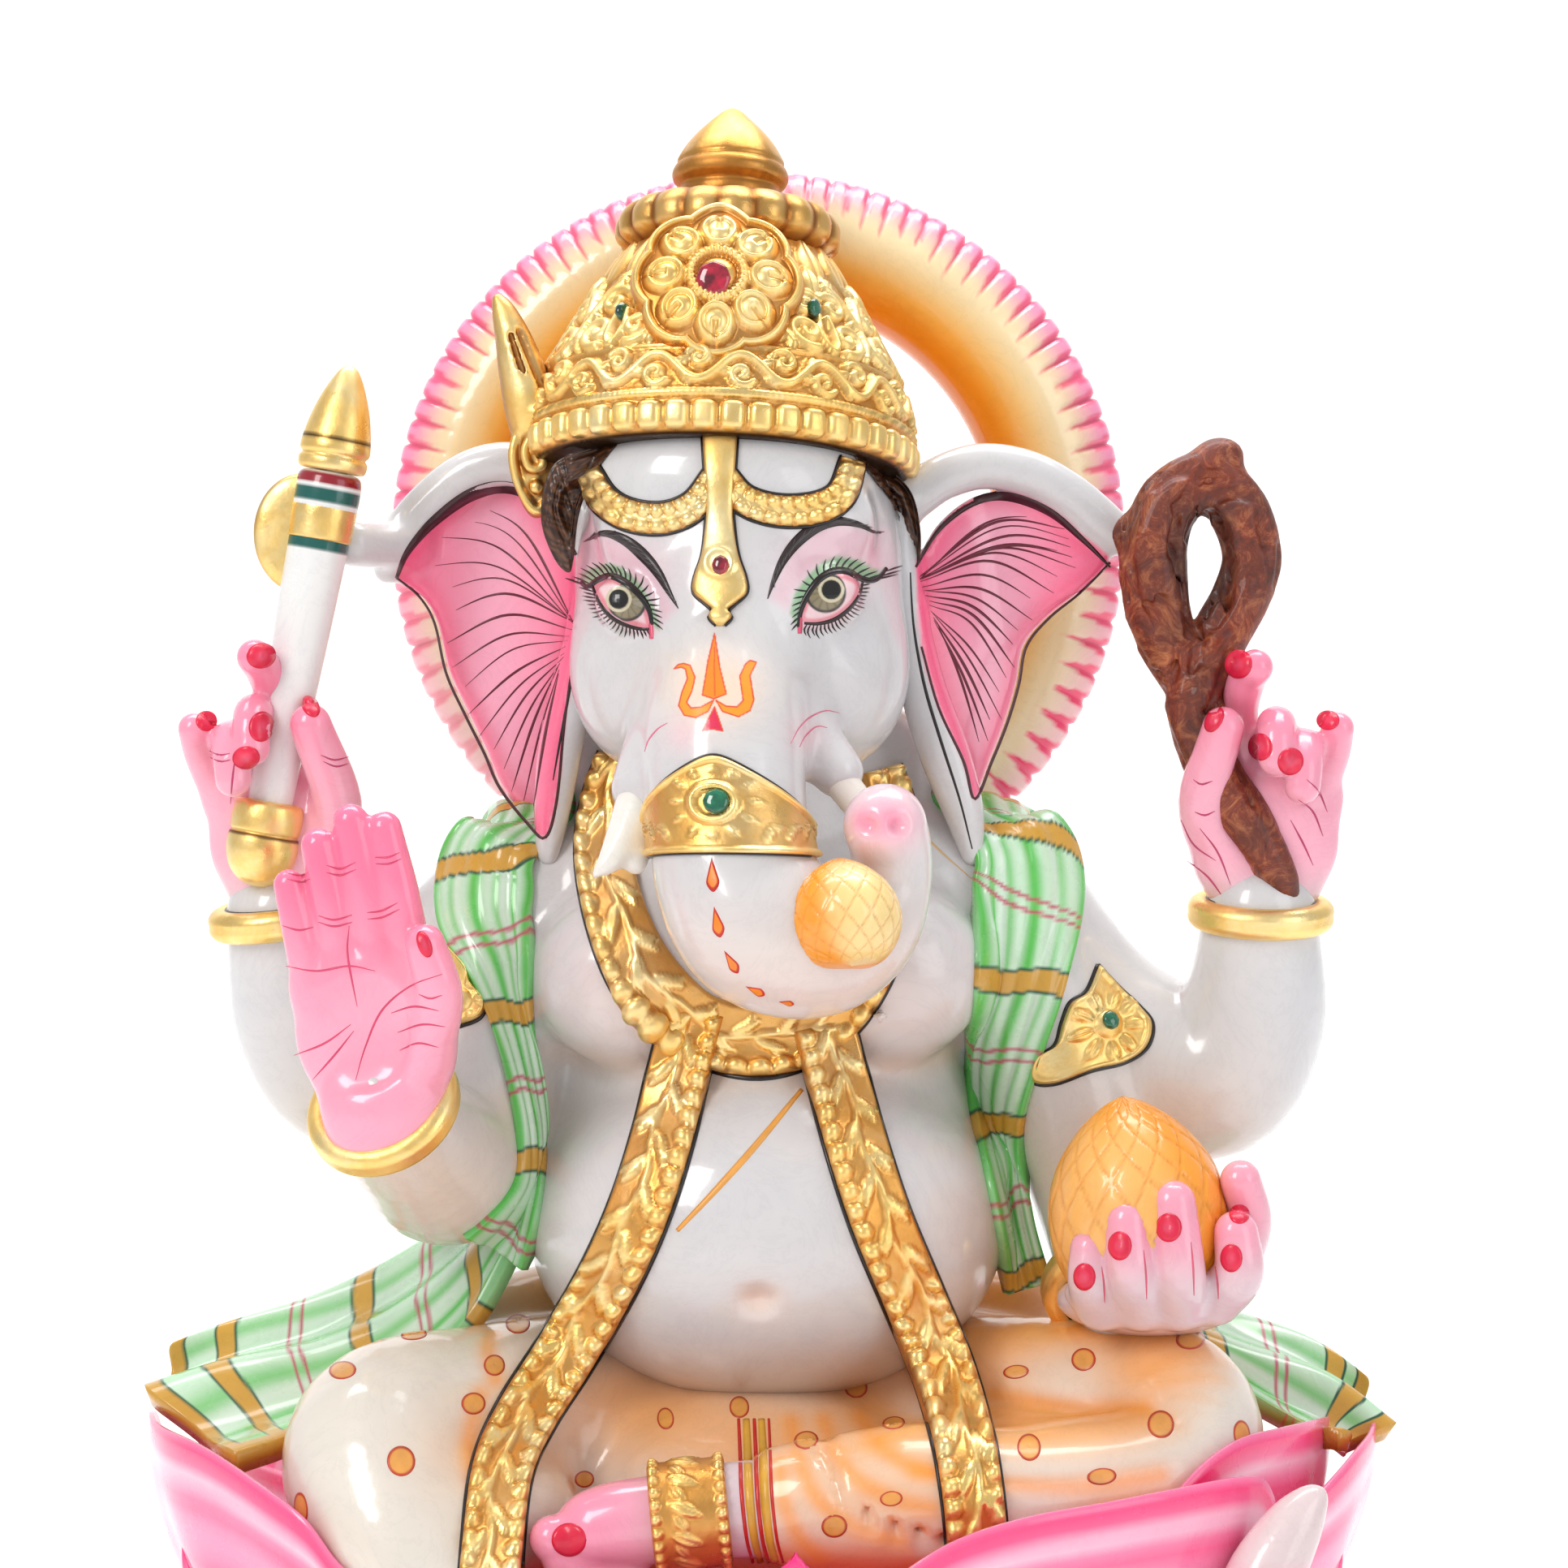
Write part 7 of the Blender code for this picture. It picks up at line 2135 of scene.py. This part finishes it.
RIGHT_VEINS = [(-90, 337), (-87, 330), (-86, 323), (-84.5, 316), (-83, 309.5), (-81, 303), (-78.5, 297),
               (-75.5, 291), (-72.5, 285.5), (-69.5, 280), (-66.5, 276), (-63.5, 272), (-60.8, 269.5),
               (-88, 345), (-82, 350), (-74, 353)]
LEFT_VEINS = [(76, 350), (81, 346.5), (84.5, 343), (87.5, 340), (88, 337.5), (86.0, 339), (84, 336),
              (81, 332.5), (78, 329), (75, 325.5), (72, 322), (69.5, 318), (68, 314), (67, 309), (66, 304),
              (65, 299), (63.5, 295), (62, 291), (60.5, 287), (58.5, 284)]
EAR_VEINS = ((-1, right_ear, (-49.5, 322), RIGHT_VEINS, 21, EAR_FAN_RIGHT, 1.7),
             (1, left_ear, (41.2, 334), LEFT_VEINS, 22, EAR_FAN_LEFT, 1.2))
for side, piece, root, spots, seed, fan, rim_wide in EAR_VEINS:
    tree = piece.tree()
    rng = np.random.default_rng(seed)
    for k, (u, v) in enumerate(spots):
        drop = max(0, root[1] - v)
        start = np.array(root) + rng.uniform(-0.5, 0.5, 2) + np.array([0.08 * side, -0.24]) * drop
        end = np.array([u, v], float)
        arch = (0.17 + 0.03 * math.sin(k)) * np.linalg.norm(end - start) * (1 if v > 300 else 0.5)
        middle = (start + end) / 2 + np.array([0.0, arch])
        path = spline([start, middle, end], 10)
        cut = int(len(path) * rng.uniform(0.84, 0.99))
        ribbon(tree, path[:cut], rng.uniform(0.2, 0.4), linear(104, 14, 40), 0.16, 0.85, 1.0, smooth=False)
        if cut < len(path) - 4:
            ribbon(tree, path[cut + 1:cut + 3], 0.2, linear(120, 24, 52), 0.16, 0.5, 0.8, smooth=False)
    fan = np.array(fan, float)
    inset = np.array([0, -1.2 if side > 0 else 0])
    ribbon(tree, fan[:7] + inset, rim_wide, linear(58, 12, 24), 0.3, 0.75, 0.7)
    ribbon(tree, fan[6:], 0.4, linear(70, 20, 30), 0.2, 0.3, 0.9)
left_line = [(38.6, 335.4), (38.9, 328.5), (39.5, 321.1), (40.8, 312.9), (43, 303), (47, 290), (51.5, 276),
             (54.8, 263)]
right_line = [(-48.6, 318), (-49.4, 312.9), (-50.4, 306), (-51.9, 298), (-53.4, 290), (-55, 281)]
ribbon(left_ear.tree(), left_line, 0.42, BLACK, 0.15, 0.6)
ribbon(right_ear.tree(), right_line, 0.36, BLACK, 0.15, 0.6)

# Nails, creases and toes.

trees = {name: piece.tree() for name, piece in hands.items()}
NAILS = {
    "goad_hand": [((-131.4, 313.6), 3.9, 3.3, 0.2), ((-131.4, 295), 3.3, 4.0, -0.2),
                  ((-135.4, 286.9), 3.6, 3.0, 0.2), ((-145.8, 296.5), 2.8, 2.7, 0),
                  ((-118.6, 300.6), 2.2, 3.4, 0.5)],
    "noose_hand": [((124.6, 311.4), 3.6, 3.8, -0.2), ((130.3, 289.7), 3.2, 3.6, 0.2),
                   ((138.2, 285.9), 3.4, 3.6, -0.3), ((148, 296.7), 3.0, 2.6, 0),
                   ((118.2, 296.9), 2.2, 3.6, -0.5)],
    "sweet_hand": [((84.2, 150.9), 2.9, 3.6, 0), ((93.5, 159), 3.1, 3.8, 0), ((106.3, 163.8), 3.4, 3.8, 0),
                   ((122.7, 155.8), 2.9, 3.7, 0), ((124.8, 167.3), 2.7, 2.6, 0)],
    "blessing_hand": [((-88.7, 238), 1.8, 3.6, 0.35)],
}
for name, spots in NAILS.items():
    for (u, v), wide, high, turn in spots:
        plaque(trees[name], disc(u, v, wide, high, turn), 0.35, lambda share, u, v: tint(
            linear(232, 30, 72), linear(246, 110, 140), smoothstep(0.6, 0.0, share) * 0.5), 4, 0.5, brush)
toe_tree = left_foot.tree()
plaque(toe_tree, disc(-50.8, 82, 4.6, 4.4), 0.35, linear(232, 24, 66), 4, 0.5, brush)

CREASE = linear(226, 70, 116)
PALM_CREASES = [
    [(-125, 232.3), (-116.9, 231), (-108.4, 232.3), (-101.6, 231)],
    [(-84, 230.2), (-92.5, 227), (-99.9, 220.6), (-104.2, 211), (-106.7, 202.5)],
    [(-108.4, 242.9), (-108.9, 236.6), (-108, 230.2), (-106.3, 221.7)],
    [(-125, 256.8), (-121.6, 256.1), (-119.1, 256.8)], [(-124.6, 255.1), (-121.2, 254.4), (-118.6, 255.1)],
    [(-125.9, 242.9), (-121.6, 241.7), (-117.8, 242.5)],
    [(-114.4, 258.7), (-110.6, 257.8), (-106.7, 259.5)],
    [(-114.4, 256.8), (-110.6, 256.1), (-106.7, 257.6)],
    [(-116.5, 245.5), (-112.3, 244.4), (-107.6, 245.7)],
    [(-116.5, 243.8), (-112.3, 242.7), (-107.6, 243.8)], [(-101.6, 260.8), (-98.2, 260.8), (-95.2, 262.1)],
    [(-101.4, 259.1), (-98, 259.1), (-94.8, 260.4)], [(-103.7, 246.3), (-99.9, 246.8), (-95.7, 248.9)],
    [(-103.5, 244.6), (-99.7, 245.1), (-95.2, 247.2)], [(-122.9, 208.9), (-114.8, 212.1), (-108, 217)],
    [(-118, 202.5), (-112.3, 208.9), (-107.2, 215.3)], [(-85, 220.6), (-91.4, 221.7), (-97.4, 220)],
    [(-83.3, 216.4), (-89.3, 217), (-95.7, 214.9)], [(-85, 211), (-90.4, 212.1), (-95.2, 210.2)],
    [(-90.1, 224.9), (-87.2, 223.8), (-84, 224.7)],
]
GRIP_CREASES = {
    "goad_hand": [
        [(-138.2, 287.6), (-139, 281.2), (-139.5, 274.8)],
        [(-115.9, 287.6), (-112.3, 286.3), (-108.4, 287.2)],
        [(-115.2, 285.9), (-111.8, 284.6), (-108.2, 285.5)],
        [(-145, 288.6), (-142.4, 287.6), (-139.7, 288)],
        [(-144.8, 286.9), (-142.2, 285.9), (-139.5, 286.3)],
        [(-136.1, 259.9), (-133.9, 256.8), (-129.7, 254.6)],
    ],
    "noose_hand": [
        [(109.5, 270.6), (112.7, 264.2), (118.6, 259.9)], [(111, 259.9), (116.5, 255.7), (121.2, 249.3)],
        [(142.4, 281.2), (145.6, 278), (147.8, 272.7)], [(140.3, 275.9), (144.1, 272.7), (146.7, 266.3)],
        [(114.4, 268.4), (119.1, 262.1), (122.5, 253.6)], [(112.7, 281.2), (114.8, 279.9), (117.8, 280.8)],
        [(113.1, 272.7), (115.7, 271.8), (118.4, 272.9)], [(138.2, 270.6), (141.6, 264.2), (144.1, 258.7)],
    ],
}
FINGER_GAPS = [(89.3, 153.6, 144.1), (100.3, 157.9, 145.1), (112.7, 160, 146), (119.1, 153.6, 145.1)]
for crease in PALM_CREASES:
    ribbon(trees["blessing_hand"], crease, 0.28, CREASE, 0.16, 0.8)
for name, creases in GRIP_CREASES.items():
    for crease in creases:
        ribbon(trees[name], crease, 0.26, linear(196, 60, 110), 0.16, 0.8)
for u, high, low in FINGER_GAPS:
    gap = [(u - 0.6, high), (u, (high + low) / 2), (u + 0.2, low)]
    ribbon(trees["sweet_hand"], gap, 0.26, linear(226, 90, 120), 0.16, 0.7)

# The dhoti's dots, hem stripes and pleat lines.

leg_tree = legs.tree()
DOTS = [
    (-110.1, 126.4, 3.6, 2.4), (-91.4, 135.6, 3.4, 1.3), (-70.4, 127.7, 2.8, 2.8),
    (-75.9, 117.7, 3.2, 2.9), (-94.8, 102.6, 3.7, 4.0), (-121, 90.3, 1.8, 4.2), (112, 134.5, 3.9, 2.7),
    (84, 129.2, 3.2, 3.0), (104.2, 112.2, 3.5, 3.7), (88.7, 98.6, 3.9, 2.2), (69.7, 106.2, 3.1, 3.6),
    (125.4, 109.6, 2.2, 3.8), (-6.2, 116.7, 2.6, 2.9), (-25.5, 113.7, 2.2, 2.9), (34.2, 112.6, 3.0, 1.7),
    (18.7, 85.6, 3.4, 3.0), (66.3, 126, 3.4, 1.8), (24.4, 121.8, 3.0, 2.8), (33.6, 92.8, 3.0, 2.0),
    (-64.2, 138.5, 3.2, 2.6), (11.3, 108.1, 3.2, 2.4), (-46.8, 97.9, 2.6, 2.2),
]
for u, v, wide, high in DOTS:
    plaque(leg_tree, disc(u, v, wide, high, 0.1), 0.2,
           rimmed(linear(238, 168, 84), linear(196, 66, 36), 0.74, 0.86), 8, 0.4, brush)
for u, shade, wide in ((-6, linear(206, 40, 30), 0.55), (-4, linear(226, 170, 60), 1.2),
                       (-1.9, linear(206, 40, 30), 0.6), (0, linear(226, 170, 60), 1.2),
                       (1.9, linear(206, 40, 30), 0.45)):
    ribbon(torso_tree, [(u - 0.4, 113.7), (u, 104.7), (u + 0.4, 94.1), (u + 1.7, 82.4), (u + 3.4, 76)],
           wide, shade, 0.25, 0.3)
sealed(brush).make("brush_lines", ENAMEL, "marble")
gilt_band.make("gilt_bands", LEAF, "gold")

# Gems, and the pins inside.


def make_gem(name, finish, tree, u, v, wide, high):
    far, normal = cast(tree, [[u]], [[v]])
    at, up = sight(np.array(u), np.array(v), far[0, 0]), normal[0, 0]
    side = unit(np.cross(up, [0, 0, 1.0]))
    other = np.cross(side, up)
    a = np.linspace(0, 2 * np.pi, 28, endpoint=False)[None, :]
    rise = np.array([-1.6, -0.4, 0.5, 1.0, 1.35, 1.55, 1.6])[:, None]
    share = np.array([0.6, 0.95, 1.0, 0.9, 0.68, 0.36, 0.03])[:, None]
    cut = 1 - 0.05 * np.abs(np.sin(a * 4))
    grid = (at + side * (wide * share * cut * np.cos(a))[..., None]
            + other * (high * share * cut * np.sin(a))[..., None] + up * (rise + 0 * a)[..., None])
    slot = "red_gem" if "ruby" in name else "green_gem"
    sealed(tube_piece(grid)).make("polished_" + name, finish, slot, name)


jewel_tree, cuff_tree = brow_jewel.tree(), trunk_band.tree()
dome_tree, flower_tree, plate_tree = dome.tree(), medallion.tree(), armlets["armlet_left"].tree()
make_gem("crown_ruby", RUBY, flower_tree, -13.0, 412.3, 4.6, 4.7)
make_gem("crown_emerald_left", EMERALD, dome_tree, 13.3, 404.5, 2.5, 2.8)
make_gem("crown_emerald_right", EMERALD, dome_tree, -36.7, 403.6, 2.4, 2.6)
make_gem("forehead_ruby", RUBY, jewel_tree, -11.2, 337.3, 2.2, 2.6)
make_gem("trunk_emerald", EMERALD, cuff_tree, -12.3, 275.4, 3.4, 3.4)
make_gem("armlet_gem_left", EMERALD, plate_tree, 91, 218.1, 2.4, 2.6)
for name in ("dowel_seat", "dowel_neck", "dowel_halo"):
    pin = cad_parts[name]
    if pin.material_slots:
        for pin_slot in pin.material_slots:
            pin_slot.material = STEEL
    else:
        pin.data.materials.append(STEEL)


# The stage.


def make_stage():
    profile = [(-3.2, 0.0), (1.1, 0.0)]
    for k in range(1, 13):
        a = math.pi / 2 * k / 12
        profile.append((1.1 + 0.9 * math.sin(a), 0.9 - 0.9 * math.cos(a)))
    profile.append((2.0, 3.4))
    points, faces = [], []
    for y, z in profile:
        points += [(-4.0, y, z), (4.0, y, z)]
    for k in range(len(profile) - 1):
        faces.append((2 * k, 2 * k + 1, 2 * k + 3, 2 * k + 2))
    mesh = bpy.data.meshes.new("paper_sweep")
    mesh.from_pydata(points, [], faces)
    mesh.polygons.foreach_set("use_smooth", [True] * len(mesh.polygons))
    material, tree, shader = node_tree("pale_paper")
    tone = ramp(tree, noise(tree, 3, 2), [(0.2, (0.9, 0.9, 0.9)), (0.8, (0.92, 0.92, 0.92))])
    tree.links.new(tone, shader.inputs["Base Color"])
    shader.inputs["Roughness"].default_value = 0.9
    mesh.materials.append(material)
    obj = bpy.data.objects.new("paper_sweep", mesh)
    bpy.context.scene.collection.objects.link(obj)


def soft_light(name, at, target, size, power, colour=(1, 1, 1)):
    light = bpy.data.lights.new(name, "AREA")
    light.shape = "RECTANGLE"
    light.size, light.size_y = size
    light.energy = power
    light.color = colour
    obj = bpy.data.objects.new(name, light)
    obj.location = at
    obj.rotation_euler = (Vector(target) - Vector(at)).to_track_quat("-Z", "Y").to_euler()
    bpy.context.scene.collection.objects.link(obj)


make_stage()
soft_light("key_light", (-0.9, -1.1, 1.15), (0, 0, 0.27), (0.5, 0.8), 11.0, (1, 0.98, 0.95))
soft_light("fill_light", (1.1, -0.95, 0.6), (0, 0, 0.25), (0.7, 1.0), 3.6, (0.96, 0.98, 1))
soft_light("top_light", (0.1, 0.25, 1.3), (0, 0, 0.2), (0.9, 0.7), 5)
soft_light("wall_light", (0, 0.5, 2.4), (0, 1.9, 0.6), (2.6, 1.0), 42)

world = bpy.data.worlds.new("studio")
world.use_nodes = True
world.node_tree.nodes["Background"].inputs["Color"].default_value = (0.98, 0.99, 1, 1)
world.node_tree.nodes["Background"].inputs["Strength"].default_value = 0.57
bpy.context.scene.world = world
bpy.context.scene.view_settings.view_transform = "Standard"

VIEW_WIDE = 410.74  # how much of the drawing plane the photo shows, across
VIEW_MIDDLE = 280.0  # the height of its middle
camera = bpy.data.cameras.new("photo_camera")
camera.sensor_width = 36
camera.lens = camera.sensor_width * -EYE[1] / VIEW_WIDE
camera.shift_y = (VIEW_MIDDLE - EYE[2]) / VIEW_WIDE
camera.clip_end = 20
camera_object = bpy.data.objects.new("photo_camera", camera)
camera_object.location = EYE * MM
camera_object.rotation_euler = (math.pi / 2, 0, 0)
bpy.context.scene.collection.objects.link(camera_object)
bpy.context.scene.camera = camera_object
